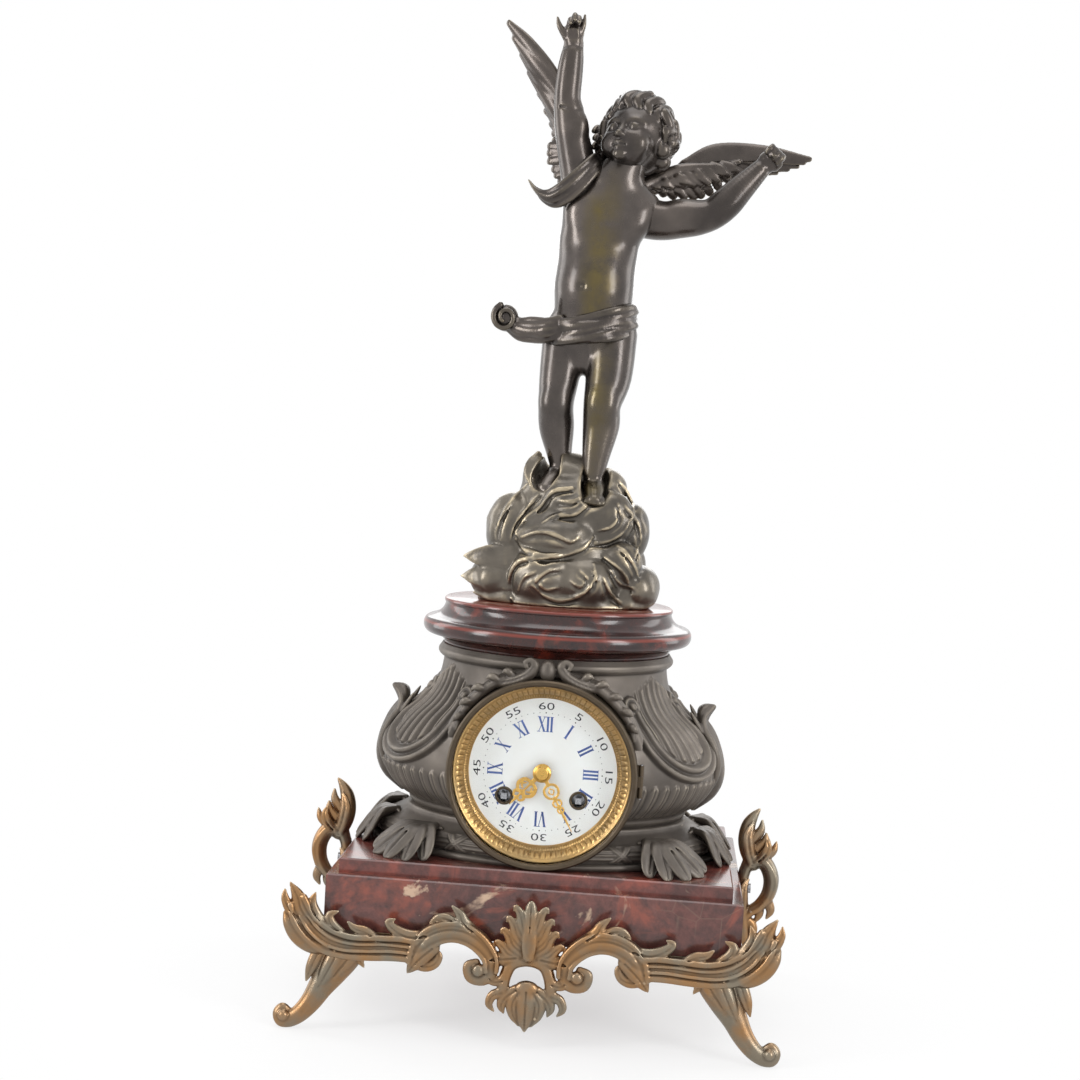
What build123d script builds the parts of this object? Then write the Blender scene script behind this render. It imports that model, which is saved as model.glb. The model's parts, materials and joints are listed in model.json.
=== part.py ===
from build123d import *
import math
import os

os.makedirs("parts", exist_ok=True)

# Millimetres. X to the right, Y to the back, Z up from the floor, dial facing -Y.

# Marble base
LEG_HEIGHT = 56.0
BLOCK_WIDTH = 232.0
BLOCK_DEPTH = 166.0
BLOCK_HEIGHT = 31.0
STEP_INSET = 6.0
STEP_HEIGHT = 8.0
MARBLE_EDGE = 0.8
WELL_WIDTH = 54.0
WELL_DEPTH = 22.0

# Gilt mounts under and beside the base
APRON_GAP = 1.5
APRON_THICKNESS = 6.0
CARTOUCHE_RISE = 3.0
TOE_RADIUS = 6.0
TOE_WIDTH = 9.0
TOE_FLAT = 0.6
TOE_OUT = 19.5
TOE_FORWARD = 6.0
TOE_SOLE = 3.0
LEG_PAD = 4.0
LEG_PAD_WIDTH = 26.0
LEG_PAD_DEPTH = 20.0
LEG_SCREW_INSET = 20.0
HANDLE_THICKNESS = 8.0
HANDLE_SEAT = 6.0

# Dark case
SOCLE_HEIGHT = 21.0
SOCLE_HALF_WIDTH = 103.0
SOCLE_HALF_DEPTH = 71.0
SOCLE_RIM = 4.0
WAIST_HALF_WIDTH = 82.0
WAIST_HALF_DEPTH = 58.5
BODY_HEIGHT = 96.0
BODY_WALL = 5.0
BELLY_HALF_WIDTH = 99.5
BELLY_HALF_DEPTH = 65.5
NECK_HALF_WIDTH = 66.0
NECK_HALF_DEPTH = 60.0
NECK_MOULDING = 4.0
NECK_MOULDING_HEIGHT = 7.0
CASE_LEAF_DEPTH = 24.0

# Red marble plinth
PLINTH_HEIGHT = 27.0
PLINTH_FLANGE = 79.5
PLINTH_TOP = 66.5
PLINTH_FOOT = 66.0
PLINTH_ROUNDNESS = 0.9

# Round opening for the movement
DRUM_BORE = 48.2
DRUM_WALL = 4.2
DRUM_REACH = 63.0
DRUM_GAP = 0.2

# Bezel, glass and dial
BEZEL_RADIUS = 53.5
BEZEL_LIP = 3.5
SEAT_DEPTH = 6.7
SLEEVE_GAP = 0.3
SLEEVE_WALL = 1.3
SEAT_LIP = 2.1
DOOR_GAP = 0.3
DOOR_DEPTH = 5.7
GLASS_THICKNESS = 1.5
GLASS_REBATE = 1.7
GLASS_GAP = 0.2
DIAL_SIGHT = 42.0
DIAL_THICKNESS = 2.0
DIAL_SETBACK = 2.0
DIAL_GAP = 0.2
DIAL_CENTRE_HOLE = 3.6
DIAL_WINDING_HOLE = 4.8
KNUCKLE_RADIUS = 1.5
KNUCKLE_LENGTH = 6.0
KNUCKLE_GAP = 0.2
HINGE_PIN_RADIUS = 0.8
HINGE_CLEARANCE = 0.05
HINGE_OFFSET = 1.8

# Movement plates, between the bezel seat and the back of the case
PLATE_THICKNESS = 2.0
PLATE_SPACING = 28.0
MOTION_SPACE = 7.0
PILLAR_RADIUS = 2.8
PIVOT_RADIUS = 0.6
PIVOT_CLEARANCE = 0.06
ARBOR_RADIUS = 0.65
SHOULDER_GAP = 0.3

# Winding arbors and barrels, measured from the dial centre
WINDING_X = 21.0
WINDING_DROP = 15.0
WINDING_RADIUS = 2.2
WINDING_SQUARE = 3.4
BARREL_RADIUS = 14.5
BARREL_LENGTH = 18.2
RATCHET_RADIUS = 6.5
RATCHET_TEETH = 18

# Wheel counts and modules
GREAT_TEETH = 60
GREAT_LEAVES = 10
GREAT_MODULE = 0.56
INTER_TEETH = 64
INTER_LEAVES = 8
INTER_MODULE = 0.46
CENTRE_TEETH = 72
CENTRE_LEAVES = 6
CENTRE_MODULE = 0.40
THIRD_TEETH = 75
THIRD_LEAVES = 6
THIRD_MODULE = 0.36
ESCAPE_TEETH = 36
ESCAPE_RADIUS = 8.0
PIN_TEETH = 48
PIN_LEAVES = 6
PIN_MODULE = 0.40
CANNON_TEETH = 14
MINUTE_TEETH = 42
CANNON_MODULE = 0.50
MINUTE_LEAVES = 10
HOUR_TEETH = 40
WHEEL_THICKNESS = 1.2
PINION_LENGTH = 2.8

# Pendulum, bell and hammer
PALLET_RISE = 12.1
PENDULUM_SETBACK = 12.0
PENDULUM_LENGTH = 110.0
ROD_RADIUS = 1.0
BOB_RADIUS = 17.0
BOB_THICKNESS = 9.0
BELL_RADIUS = 28.0
BELL_DEPTH = 15.0
BELL_WALL = 1.6
BELL_SETBACK = 28.0

# Fasteners
STUD_RADIUS = 3.0
STUD_GRIP = 12.0
BOLT_RADIUS = 2.5
BOLT_HEAD_RADIUS = 5.0
BOLT_HEAD_HEIGHT = 3.0
BOLT_X = 70.0
BOLT_Y = 40.0
BOLT_GRIP = 7.0
SCREW_RADIUS = 1.6
SCREW_HEAD_RADIUS = 3.0
SCREW_HEAD_HEIGHT = 2.0
SCREW_DEPTH = 10.0
FASTENER_GAP = 0.1

# Small movement sizes
PLATE_GAP = 0.4
SIGHT_GAP = 0.2
GLASS_INSET = 0.5
KNUCKLE_ARM = 1.3
STRAP_WIDTH = 8.0
THIRD_BEARING = 118.0
PIN_BEARING = 130.0
FLY_BEARING = 70.0
MINUTE_BEARING = 45.0
CLICK_BEARING = 25.0
CLICK_REACH = 11.5
CLICK_NOSE = 60.0
CLICK_GAP = 0.4
GREAT_THICKNESS = 1.6
RATCHET_THICKNESS = 1.4
SQUARE_PROUD = 1.5
STUB_RADIUS = 0.8
CENTRE_RADIUS = 1.1
CANNON_RADIUS = 2.0
HAND_POST = 1.6
HOUR_PIPE = 3.0
HAND_THICKNESS = 0.8
HOUR_HAND_LENGTH = 26.0
MINUTE_HAND_LENGTH = 37.0
NUT_RADIUS = 5.0
LIFTING_PINS = 8
LIFTING_RADIUS = 7.0
LIFTING_LENGTH = 1.9
FLY_HALF = 6.0
HAMMER_X = 39.4
HAMMER_DROP = 17.4
HAMMER_ARBOR = 0.8
HAMMER_GAP = 1.2
BELL_DROP = 2.0
BELL_STUD = 1.6
CRUTCH_LENGTH = 34.0
REAR_SLEEVE = 3.0
REAR_RING = 3.0
REAR_OPENING = 44.5
REAR_SCREW = 1.0
REAR_SCREW_RADIUS = 50.9
COVER_RADIUS = 48.6

# Time shown by the hands at rest: twenty-five past seven, degrees clockwise from twelve
MINUTE_ANGLE = 150.0
HOUR_ANGLE = 222.5

# Levels of the stack
BLOCK_Z = LEG_HEIGHT
STEP_Z = BLOCK_Z + BLOCK_HEIGHT
SOCLE_Z = STEP_Z + STEP_HEIGHT
BODY_Z = SOCLE_Z + SOCLE_HEIGHT
PLINTH_Z = BODY_Z + BODY_HEIGHT
CLOUD_Z = PLINTH_Z + PLINTH_HEIGHT
DIAL_Z = SOCLE_Z + BEZEL_RADIUS

# Depths of the movement
SEAT_FRONT = -DRUM_REACH - SEAT_DEPTH
DOOR_BACK = SEAT_FRONT - DOOR_GAP
DOOR_FRONT = DOOR_BACK - DOOR_DEPTH
DIAL_FRONT = -DRUM_REACH + DIAL_SETBACK
DIAL_BACK = DIAL_FRONT + DIAL_THICKNESS
PLATE_FRONT = DIAL_BACK + MOTION_SPACE
PLATE_FRONT_BACK = PLATE_FRONT + PLATE_THICKNESS
PLATE_BACK = PLATE_FRONT_BACK + PLATE_SPACING
PLATE_BACK_REAR = PLATE_BACK + PLATE_THICKNESS
PENDULUM_Y = PLATE_BACK_REAR + PENDULUM_SETBACK
HINGE_X = BEZEL_RADIUS + HINGE_OFFSET
REAR_FACE = DRUM_REACH + REAR_RING
REAR_HINGE_Y = REAR_FACE + DOOR_GAP / 2


def facing(x, y, z, turn=0):
    """A sketch plane at a depth, seen from the front, turned anticlockwise by an angle in degrees."""
    swing = math.radians(turn)
    return Plane(origin=(x, y, z), x_dir=(math.cos(swing), 0, math.sin(swing)), z_dir=(0, -1, 0))


def bar(x, z, front, back, radius, mode=Mode.ADD):
    """A round bar along Y from its front end to its back end, in the part being built."""
    with Locations(Location((x, (front + back) / 2, z), (90, 0, 0))):
        Cylinder(radius, back - front, mode=mode)


def post(x, y, bottom, top, radius, mode=Mode.ADD):
    """A round post along Z, in the part being built."""
    with Locations((x, y, (bottom + top) / 2)):
        Cylinder(radius, top - bottom, mode=mode)


def block(low, high, mode=Mode.ADD):
    """A box between two corners, in the part being built."""
    centre = [(a + b) / 2 for a, b in zip(low, high)]
    with Locations(tuple(centre)):
        Box(high[0] - low[0], high[1] - low[1], high[2] - low[2], mode=mode)


def ring_of(points, axis):
    """A solid of revolution about an axis along Y, from (radius, depth) corners."""
    with BuildPart() as ring:
        with BuildSketch(Plane(origin=axis, x_dir=(1, 0, 0), z_dir=(0, 0, 1))):
            with BuildLine():
                Polyline(*points, close=True)
            make_face()
        revolve(axis=Axis(axis, (0, 1, 0)))
    return ring.part


def toothed(teeth, module, phase, at, front, thickness, leaves=False):
    """A spur wheel, or a pinion with blunt leaves, with one tooth at the phase angle."""
    pitch_radius = module * teeth / 2
    root = pitch_radius - 1.15 * module
    tip = pitch_radius + (0.80 if leaves else 0.90) * module
    root_half = (0.21 if leaves else 0.25) * math.pi * module / root
    tip_half = 0.08 * math.pi * module / tip
    corners = []
    for tooth in range(teeth):
        middle = math.radians(phase) + tooth * 2 * math.pi / teeth
        flanks = [(root, -root_half), (tip, -tip_half), (tip, tip_half), (root, root_half)]
        if not leaves:
            flanks = [(root, -root_half), (tip, 0), (root, root_half)]
        for radius, swing in flanks:
            corners.append((radius * math.cos(middle + swing), radius * math.sin(middle + swing)))
    with BuildPart() as wheel:
        with BuildSketch(facing(at[0], front + thickness, at[1])):
            with BuildLine():
                Polyline(*corners, close=True)
            make_face()
        extrude(amount=thickness)
    return wheel.part


def bearing(start, end):
    """The direction from one arbor to another, in degrees from +X towards +Z."""
    return math.degrees(math.atan2(end[1] - start[1], end[0] - start[0]))


def polar(start, distance, angle):
    """The point at a distance and an angle in degrees from an arbor."""
    turn = math.radians(angle)
    return (start[0] + distance * math.cos(turn), start[1] + distance * math.sin(turn))


def crossing(first, second, first_distance, second_distance, side):
    """The point at two given distances from two arbors, on the chosen side of their line."""
    span = math.dist(first, second)
    along = (first_distance**2 - second_distance**2 + span**2) / (2 * span)
    off = side * math.sqrt(first_distance**2 - along**2)
    ux = (second[0] - first[0]) / span
    uz = (second[1] - first[1]) / span
    return (first[0] + along * ux - off * uz, first[1] + along * uz + off * ux)


def limb(stations, across=(0, 1, 0), start=None, end=None):
    """A tapering limb through (point, half width, half depth) stations; depth lies along across."""
    points = [Vector(*station[0]) for station in stations]
    with BuildPart() as flesh:
        for index, (point, width, depth) in enumerate(stations):
            before = points[max(index - 1, 0)]
            after = points[min(index + 1, len(points) - 1)]
            heading = (after - before).normalized()
            if index == 0 and start:
                heading = Vector(*start)
            if index == len(points) - 1 and end:
                heading = Vector(*end)
            sideways = Vector(*across).cross(heading).normalized()
            with BuildSketch(Plane(origin=point, x_dir=sideways, z_dir=heading)):
                Ellipse(width, depth)
        loft()
    return flesh.part


def slab(outline_points, y_front, y_back):
    """A plate across Y with a smooth closed outline through (x, z) points."""
    with BuildPart() as plate:
        with BuildSketch(facing(0, y_back, 0)):
            with BuildLine():
                Spline(*outline_points, periodic=True)
            make_face()
        extrude(amount=y_back - y_front)
    return plate.part


def write(piece, name):
    """Label a finished piece and write its file."""
    piece.label = name
    export_step(piece, f"parts/{name}.step")


# Marble base block with a well for the pendulum bob and four bolt holes
BOLT_PLACES = [(sx * BOLT_X, sy * BOLT_Y) for sx in (-1, 1) for sy in (-1, 1)]
LEG_X = BLOCK_WIDTH / 2 - LEG_PAD_WIDTH / 2
LEG_Y = BLOCK_DEPTH / 2 - LEG_PAD_DEPTH / 2
LEG_SCREW_X = LEG_X - LEG_SCREW_INSET
TOE_X = BLOCK_WIDTH / 2 + TOE_OUT
TOE_Y = BLOCK_DEPTH / 2 + TOE_FORWARD
HANDLE_SCREW_Z = (LEG_HEIGHT + 6, LEG_HEIGHT + 20)

with BuildPart() as marble_base_block:
    block(
        (-BLOCK_WIDTH / 2, -BLOCK_DEPTH / 2, BLOCK_Z),
        (BLOCK_WIDTH / 2, BLOCK_DEPTH / 2, STEP_Z),
    )
    chamfer(marble_base_block.faces().sort_by(Axis.Z)[-1].edges(), MARBLE_EDGE)
    block(
        (-WELL_WIDTH / 2, PENDULUM_Y - WELL_DEPTH / 2, BLOCK_Z),
        (WELL_WIDTH / 2, PENDULUM_Y + WELL_DEPTH / 2, STEP_Z),
        Mode.SUBTRACT,
    )
    for bolt_x, bolt_y in BOLT_PLACES:
        post(bolt_x, bolt_y, BLOCK_Z, STEP_Z, BOLT_RADIUS + FASTENER_GAP, Mode.SUBTRACT)
    for sx in (-1, 1):
        for sy in (-1, 1):
            post(
                sx * LEG_SCREW_X, sy * LEG_Y, BLOCK_Z, BLOCK_Z + SCREW_DEPTH,
                SCREW_RADIUS + FASTENER_GAP, Mode.SUBTRACT,
            )
        for screw_z in HANDLE_SCREW_Z:
            with Locations(Location((sx * (BLOCK_WIDTH - SCREW_DEPTH) / 2, 0, screw_z), (0, 90, 0))):
                Cylinder(SCREW_RADIUS + FASTENER_GAP, SCREW_DEPTH, mode=Mode.SUBTRACT)
write(marble_base_block.part, "marble_base_block")

with BuildPart() as marble_base_step:
    block(
        (STEP_INSET - BLOCK_WIDTH / 2, STEP_INSET - BLOCK_DEPTH / 2, STEP_Z),
        (BLOCK_WIDTH / 2 - STEP_INSET, BLOCK_DEPTH / 2 - STEP_INSET, SOCLE_Z),
    )
    chamfer(marble_base_step.faces().sort_by(Axis.Z)[-1].edges(), MARBLE_EDGE)
    block(
        (-WELL_WIDTH / 2, PENDULUM_Y - WELL_DEPTH / 2, STEP_Z),
        (WELL_WIDTH / 2, PENDULUM_Y + WELL_DEPTH / 2, SOCLE_Z),
        Mode.SUBTRACT,
    )
    for bolt_x, bolt_y in BOLT_PLACES:
        post(bolt_x, bolt_y, STEP_Z, SOCLE_Z, BOLT_RADIUS + FASTENER_GAP, Mode.SUBTRACT)
write(marble_base_step.part, "marble_base_step")

# Front apron: S-scroll arms, pierced C-scrolls and a leafy centre, cast as one relief
APRON_BACK = -BLOCK_DEPTH / 2 - APRON_GAP
APRON_FRONT = APRON_BACK - APRON_THICKNESS
C_SCROLL = (44.0, BLOCK_Z - 10.5)
C_SCROLL_OUTER = 17.8
C_SCROLL_INNER = 8.6
VOLUTE = (27.5, BLOCK_Z - 13.0)
VOLUTE_RADIUS = 8.6
VOLUTE_EYE = 2.4
PIERCED = (0.0, BLOCK_Z - 20.0)
PIERCED_RADIUS = 6.5
BAND_START = C_SCROLL[0]
BAND_MIDDLE = (C_SCROLL[0] + BLOCK_WIDTH / 2) / 2
BAND_END = BLOCK_WIDTH / 2
BAND = [
    (BAND_START + 14, -15), (BAND_MIDDLE - 4, -15.5), (BAND_END - 19, -13.5), (BAND_END - 4, -11),
    (BAND_END + 6, -15), (BAND_END + 17, -10), (BAND_END + 23.5, -3), (BAND_END + 18, 4),
    (BAND_END + 13.5, 11), (BAND_END + 16.5, 22.5), (BAND_END + 10, 20), (BAND_END + 6, 12),
    (BAND_END - 3, 4), (BAND_END - 18, -1), (BAND_MIDDLE - 2, 0), (BAND_START + 18, -3),
]
CARTOUCHE = [
    (0, 27.5), (6.5, 21), (11.5, 15), (17.5, 5), (14, -3), (21, -9), (24, -18), (20, -28),
    (13, -36.5), (5.5, -37), (0, -47.4), (-5.5, -37), (-13, -36.5), (-20, -28), (-24, -18), (-21, -9),
    (-14, -3), (-17.5, 5), (-11.5, 15), (-6.5, 21),
]
with BuildPart() as front_apron:
    for side in (-1, 1):
        add(slab([(side * x, BLOCK_Z + z) for x, z in BAND], APRON_FRONT, APRON_BACK))
        with BuildSketch(facing(side * C_SCROLL[0], APRON_BACK, C_SCROLL[1])):
            Circle(C_SCROLL_OUTER)
            Circle(C_SCROLL_INNER, mode=Mode.SUBTRACT)
            with Locations((0, -C_SCROLL_OUTER)):
                Rectangle(2 * C_SCROLL_OUTER, 2 * (C_SCROLL_OUTER - 6), mode=Mode.SUBTRACT)
        extrude(amount=APRON_THICKNESS)
        with BuildSketch(facing(side * VOLUTE[0], APRON_BACK, VOLUTE[1])):
            Circle(VOLUTE_RADIUS)
        extrude(amount=APRON_THICKNESS + 1)
    add(slab([(x, BLOCK_Z + z) for x, z in CARTOUCHE], APRON_FRONT - CARTOUCHE_RISE, APRON_BACK))
    bar(PIERCED[0], PIERCED[1], APRON_FRONT - CARTOUCHE_RISE, APRON_BACK, PIERCED_RADIUS, Mode.SUBTRACT)
    for side in (-1, 1):
        for eye, eye_radius in ((VOLUTE, VOLUTE_EYE), (C_SCROLL, C_SCROLL_INNER)):
            bar(side * eye[0], eye[1], APRON_FRONT - CARTOUCHE_RISE, APRON_BACK, eye_radius, Mode.SUBTRACT)
write(front_apron.part, "front_apron")


def cabriole_leg(sx, sy):
    """One leg: a pad under the block, a leafy knee, a thin ankle and a scrolled toe on the floor."""
    knee = limb(
        [
            ((sx * (LEG_X - 1), sy * (LEG_Y + 3), LEG_HEIGHT), 13, 9),
            ((sx * (LEG_X + 2), sy * (LEG_Y + 4), 0.75 * LEG_HEIGHT), 13, 8.5),
            ((sx * (LEG_X + 7.5), sy * (LEG_Y + 8), 0.52 * LEG_HEIGHT), 8.2, 6.5),
            ((sx * (LEG_X + 12), sy * (LEG_Y + 12), 0.32 * LEG_HEIGHT), 6.0, 5.0),
            ((sx * (TOE_X - 15), sy * (TOE_Y - 2.5), 0.15 * LEG_HEIGHT), 4.8, 4.4),
            ((sx * (TOE_X - 8), sy * TOE_Y, TOE_SOLE + 0.7), 3.3, 4.2),
            ((sx * TOE_X, sy * TOE_Y, TOE_SOLE), 3.0, 4.0),
        ],
        start=(0, 0, -1),
        end=(sx, 0, 0),
    )
    with BuildPart() as leg:
        add(knee)
        with Locations(Location((sx * TOE_X, sy * TOE_Y, TOE_RADIUS - TOE_FLAT), (90, 0, 0))):
            Cylinder(TOE_RADIUS, TOE_WIDTH)
        block(
            (LEG_X * sx - LEG_PAD_WIDTH, LEG_Y * sy - LEG_PAD_DEPTH / 2, LEG_HEIGHT - LEG_PAD),
            (LEG_X * sx + LEG_PAD_WIDTH, LEG_Y * sy + LEG_PAD_DEPTH / 2, LEG_HEIGHT),
        )
        outside = sx * BLOCK_WIDTH / 2
        block(
            (min(outside, 2 * outside), -BLOCK_DEPTH, LEG_HEIGHT - LEG_PAD),
            (max(outside, 2 * outside), BLOCK_DEPTH, LEG_HEIGHT + LEG_PAD),
            Mode.SUBTRACT,
        )
        block((-BLOCK_WIDTH, -BLOCK_DEPTH, -TOE_RADIUS), (BLOCK_WIDTH, BLOCK_DEPTH, 0), Mode.SUBTRACT)
        post(
            sx * LEG_SCREW_X, sy * LEG_Y, LEG_HEIGHT - LEG_PAD - BLOCK_HEIGHT, LEG_HEIGHT,
            SCREW_RADIUS + FASTENER_GAP, Mode.SUBTRACT,
        )
        add(front_apron.part, mode=Mode.SUBTRACT)
    return leg.part


write(cabriole_leg(-1, -1), "front_left_leg")
write(cabriole_leg(1, -1), "front_right_leg")
write(cabriole_leg(-1, 1), "rear_left_leg")
write(cabriole_leg(1, 1), "rear_right_leg")

# Side scrolls: a stem on the block, an open loop and a leaf crest
HANDLE_FOOT = BLOCK_WIDTH / 2
HANDLE = [
    (0, -2), (7, -6), (10, 1), (18, 6), (22.5, 16), (23.5, 26), (20, 36), (16, 42),
    (17.5, 52), (12, 52), (10, 58), (11, 68), (6, 67), (1, 57), (-2, 47), (3, 39),
    (0.5, 32),
]
HANDLE_LOOP = [
    (11, 33.5), (15.5, 28), (15.5, 20), (12, 13), (8.5, 11), (6.5, 20), (7, 29),
]


def side_scroll(sx):
    """One side ornament standing against the block's end face."""
    outline = [(sx * (HANDLE_FOOT + x), BLOCK_Z + z) for x, z in HANDLE]
    opening = [(sx * (HANDLE_FOOT + x), BLOCK_Z + z) for x, z in HANDLE_LOOP]
    body = slab(outline, -HANDLE_THICKNESS / 2, HANDLE_THICKNESS / 2)
    loop = slab(opening, -HANDLE_THICKNESS, HANDLE_THICKNESS)
    with BuildPart() as scroll:
        add(body)
        block(
            (min(0, sx * (HANDLE_FOOT + HANDLE_SEAT)), -HANDLE_THICKNESS / 2, BLOCK_Z + 2),
            (max(0, sx * (HANDLE_FOOT + HANDLE_SEAT)), HANDLE_THICKNESS / 2, STEP_Z - 2),
        )
        add(loop, mode=Mode.SUBTRACT)
        block(
            (-HANDLE_FOOT, -HANDLE_THICKNESS, LEG_HEIGHT - BLOCK_HEIGHT),
            (HANDLE_FOOT, HANDLE_THICKNESS, STEP_Z + MARBLE_EDGE),
            Mode.SUBTRACT,
        )
        for screw_z in HANDLE_SCREW_Z:
            with Locations(Location((sx * (HANDLE_FOOT + HANDLE_SEAT / 2), 0, screw_z), (0, 90, 0))):
                Cylinder(SCREW_RADIUS + FASTENER_GAP, HANDLE_SEAT + 2, mode=Mode.SUBTRACT)
            with Locations(Location((sx * (HANDLE_FOOT + HANDLE_SEAT + 10), 0, screw_z), (0, 90, 0))):
                Cylinder(SCREW_HEAD_RADIUS + FASTENER_GAP, 20, mode=Mode.SUBTRACT)
    return scroll.part


write(side_scroll(-1), "left_side_scroll")
write(side_scroll(1), "right_side_scroll")

with BuildPart() as mount_screws:
    for sx in (-1, 1):
        for sy in (-1, 1):
            seat_z = LEG_HEIGHT - LEG_PAD
            post(sx * LEG_SCREW_X, sy * LEG_Y, seat_z, BLOCK_Z + SCREW_DEPTH - FASTENER_GAP, SCREW_RADIUS)
            post(sx * LEG_SCREW_X, sy * LEG_Y, seat_z - SCREW_HEAD_HEIGHT, seat_z, SCREW_HEAD_RADIUS)
        for screw_z in HANDLE_SCREW_Z:
            shank = HANDLE_SEAT + SCREW_DEPTH - FASTENER_GAP
            shank_x = sx * (HANDLE_FOOT + HANDLE_SEAT - shank / 2)
            head_x = sx * (HANDLE_FOOT + HANDLE_SEAT + SCREW_HEAD_HEIGHT / 2)
            with Locations(Location((shank_x, 0, screw_z), (0, 90, 0))):
                Cylinder(SCREW_RADIUS, shank)
            with Locations(Location((head_x, 0, screw_z), (0, 90, 0))):
                Cylinder(SCREW_HEAD_RADIUS, SCREW_HEAD_HEIGHT)
write(mount_screws.part, "mount_screws")

# Dark oval socle, hollow, cut away round the drum of the case
BODY_PROFILE = [
    (0, WAIST_HALF_WIDTH - 2, WAIST_HALF_DEPTH - 1.5),
    (0.083 * BODY_HEIGHT, BELLY_HALF_WIDTH - 10, BELLY_HALF_DEPTH - 4),
    (0.19 * BODY_HEIGHT, BELLY_HALF_WIDTH - 2.5, BELLY_HALF_DEPTH - 1.2),
    (0.31 * BODY_HEIGHT, BELLY_HALF_WIDTH, BELLY_HALF_DEPTH),
    (0.44 * BODY_HEIGHT, BELLY_HALF_WIDTH - 4, BELLY_HALF_DEPTH - 0.5),
    (0.56 * BODY_HEIGHT, BELLY_HALF_WIDTH - 13, BELLY_HALF_DEPTH - 2),
    (0.68 * BODY_HEIGHT, NECK_HALF_WIDTH + 9, NECK_HALF_DEPTH + 2),
    (0.79 * BODY_HEIGHT, NECK_HALF_WIDTH + 2.5, NECK_HALF_DEPTH + 0.6),
    (BODY_HEIGHT - NECK_MOULDING_HEIGHT, NECK_HALF_WIDTH, NECK_HALF_DEPTH),
]


def oval_stack(sections, base):
    """A smooth body through (height, half width, half depth) ovals above a base level."""
    with BuildPart() as stack:
        for height, width, depth in sections:
            with BuildSketch(Plane.XY.offset(base + height)):
                Ellipse(width, depth)
        loft()
    return stack.part


SOCLE_PROFILE = [
    (SOCLE_RIM, SOCLE_HALF_WIDTH - 1.5, SOCLE_HALF_DEPTH - 1.5),
    (SOCLE_HEIGHT * 0.5, SOCLE_HALF_WIDTH - 10, SOCLE_HALF_DEPTH - 7),
    (SOCLE_HEIGHT * 0.75, WAIST_HALF_WIDTH + 3, WAIST_HALF_DEPTH + 1.5),
    (SOCLE_HEIGHT, WAIST_HALF_WIDTH, WAIST_HALF_DEPTH),
]
with BuildPart() as case_socle:
    with BuildSketch(Plane.XY.offset(SOCLE_Z)):
        Ellipse(SOCLE_HALF_WIDTH, SOCLE_HALF_DEPTH)
    extrude(amount=SOCLE_RIM)
    add(oval_stack(SOCLE_PROFILE, SOCLE_Z))
    with BuildSketch(Plane.XY.offset(SOCLE_Z)):
        Ellipse(WAIST_HALF_WIDTH - 2 - BODY_WALL, WAIST_HALF_DEPTH - 1.5 - BODY_WALL)
    extrude(amount=SOCLE_HEIGHT, mode=Mode.SUBTRACT)
    for bolt_x, bolt_y in BOLT_PLACES:
        post(bolt_x, bolt_y, SOCLE_Z, SOCLE_Z + BOLT_GRIP, 2 * BOLT_RADIUS)
        post(bolt_x, bolt_y, SOCLE_Z, SOCLE_Z + BOLT_GRIP, BOLT_RADIUS + FASTENER_GAP, Mode.SUBTRACT)
    bar(0, DIAL_Z, -BLOCK_DEPTH / 2, BLOCK_DEPTH / 2, DRUM_BORE + DRUM_WALL + DRUM_GAP, Mode.SUBTRACT)
    bar(0, DIAL_Z, -BLOCK_DEPTH / 2, -DRUM_REACH, BEZEL_RADIUS + DRUM_GAP, Mode.SUBTRACT)
    bar(0, DIAL_Z, DRUM_REACH, BLOCK_DEPTH / 2, BEZEL_RADIUS + DRUM_GAP, Mode.SUBTRACT)
write(case_socle.part, "case_socle")

# Dark bombe body with the movement drum through it, open underneath
REAR_SCREW_OFFSET = REAR_SCREW_RADIUS * math.sqrt(0.5)
REAR_SCREWS = [(sx * REAR_SCREW_OFFSET, sz * REAR_SCREW_OFFSET) for sx in (-1, 1) for sz in (-1, 1)]
INNER_PROFILE = [(h, w - BODY_WALL, d - BODY_WALL) for h, w, d in BODY_PROFILE]
INNER_PROFILE[0] = (-1, INNER_PROFILE[0][1], INNER_PROFILE[0][2])
with BuildPart() as case_body:
    add(oval_stack(BODY_PROFILE, BODY_Z))
    add(oval_stack(INNER_PROFILE, BODY_Z), mode=Mode.SUBTRACT)
    with BuildSketch(Plane.XY.offset(PLINTH_Z - NECK_MOULDING_HEIGHT)):
        Ellipse(NECK_HALF_WIDTH + NECK_MOULDING, NECK_HALF_DEPTH + NECK_MOULDING)
    extrude(amount=NECK_MOULDING_HEIGHT)
    bar(0, DIAL_Z, -DRUM_REACH, DRUM_REACH, DRUM_BORE + DRUM_WALL)
    bar(0, DIAL_Z, -BLOCK_DEPTH / 2, BLOCK_DEPTH / 2, DRUM_BORE, Mode.SUBTRACT)
    block(
        (-WELL_WIDTH / 2, PENDULUM_Y - WELL_DEPTH / 2, SOCLE_Z),
        (WELL_WIDTH / 2, PENDULUM_Y + WELL_DEPTH / 2, DIAL_Z - DRUM_BORE / 2),
        Mode.SUBTRACT,
    )
    post(0, 0, DIAL_Z, PLINTH_Z, STUD_RADIUS + FASTENER_GAP, Mode.SUBTRACT)
    for x, rise in REAR_SCREWS:
        bar(x, DIAL_Z + rise, DRUM_REACH - SCREW_DEPTH, DRUM_REACH, REAR_SCREW + FASTENER_GAP, Mode.SUBTRACT)
write(case_body.part, "case_body")

with BuildPart() as case_bolts:
    for bolt_x, bolt_y in BOLT_PLACES:
        post(bolt_x, bolt_y, BLOCK_Z, SOCLE_Z + BOLT_GRIP - FASTENER_GAP, BOLT_RADIUS)
        post(bolt_x, bolt_y, BLOCK_Z - BOLT_HEAD_HEIGHT, BLOCK_Z, BOLT_HEAD_RADIUS)
write(case_bolts.part, "case_bolts")

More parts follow.
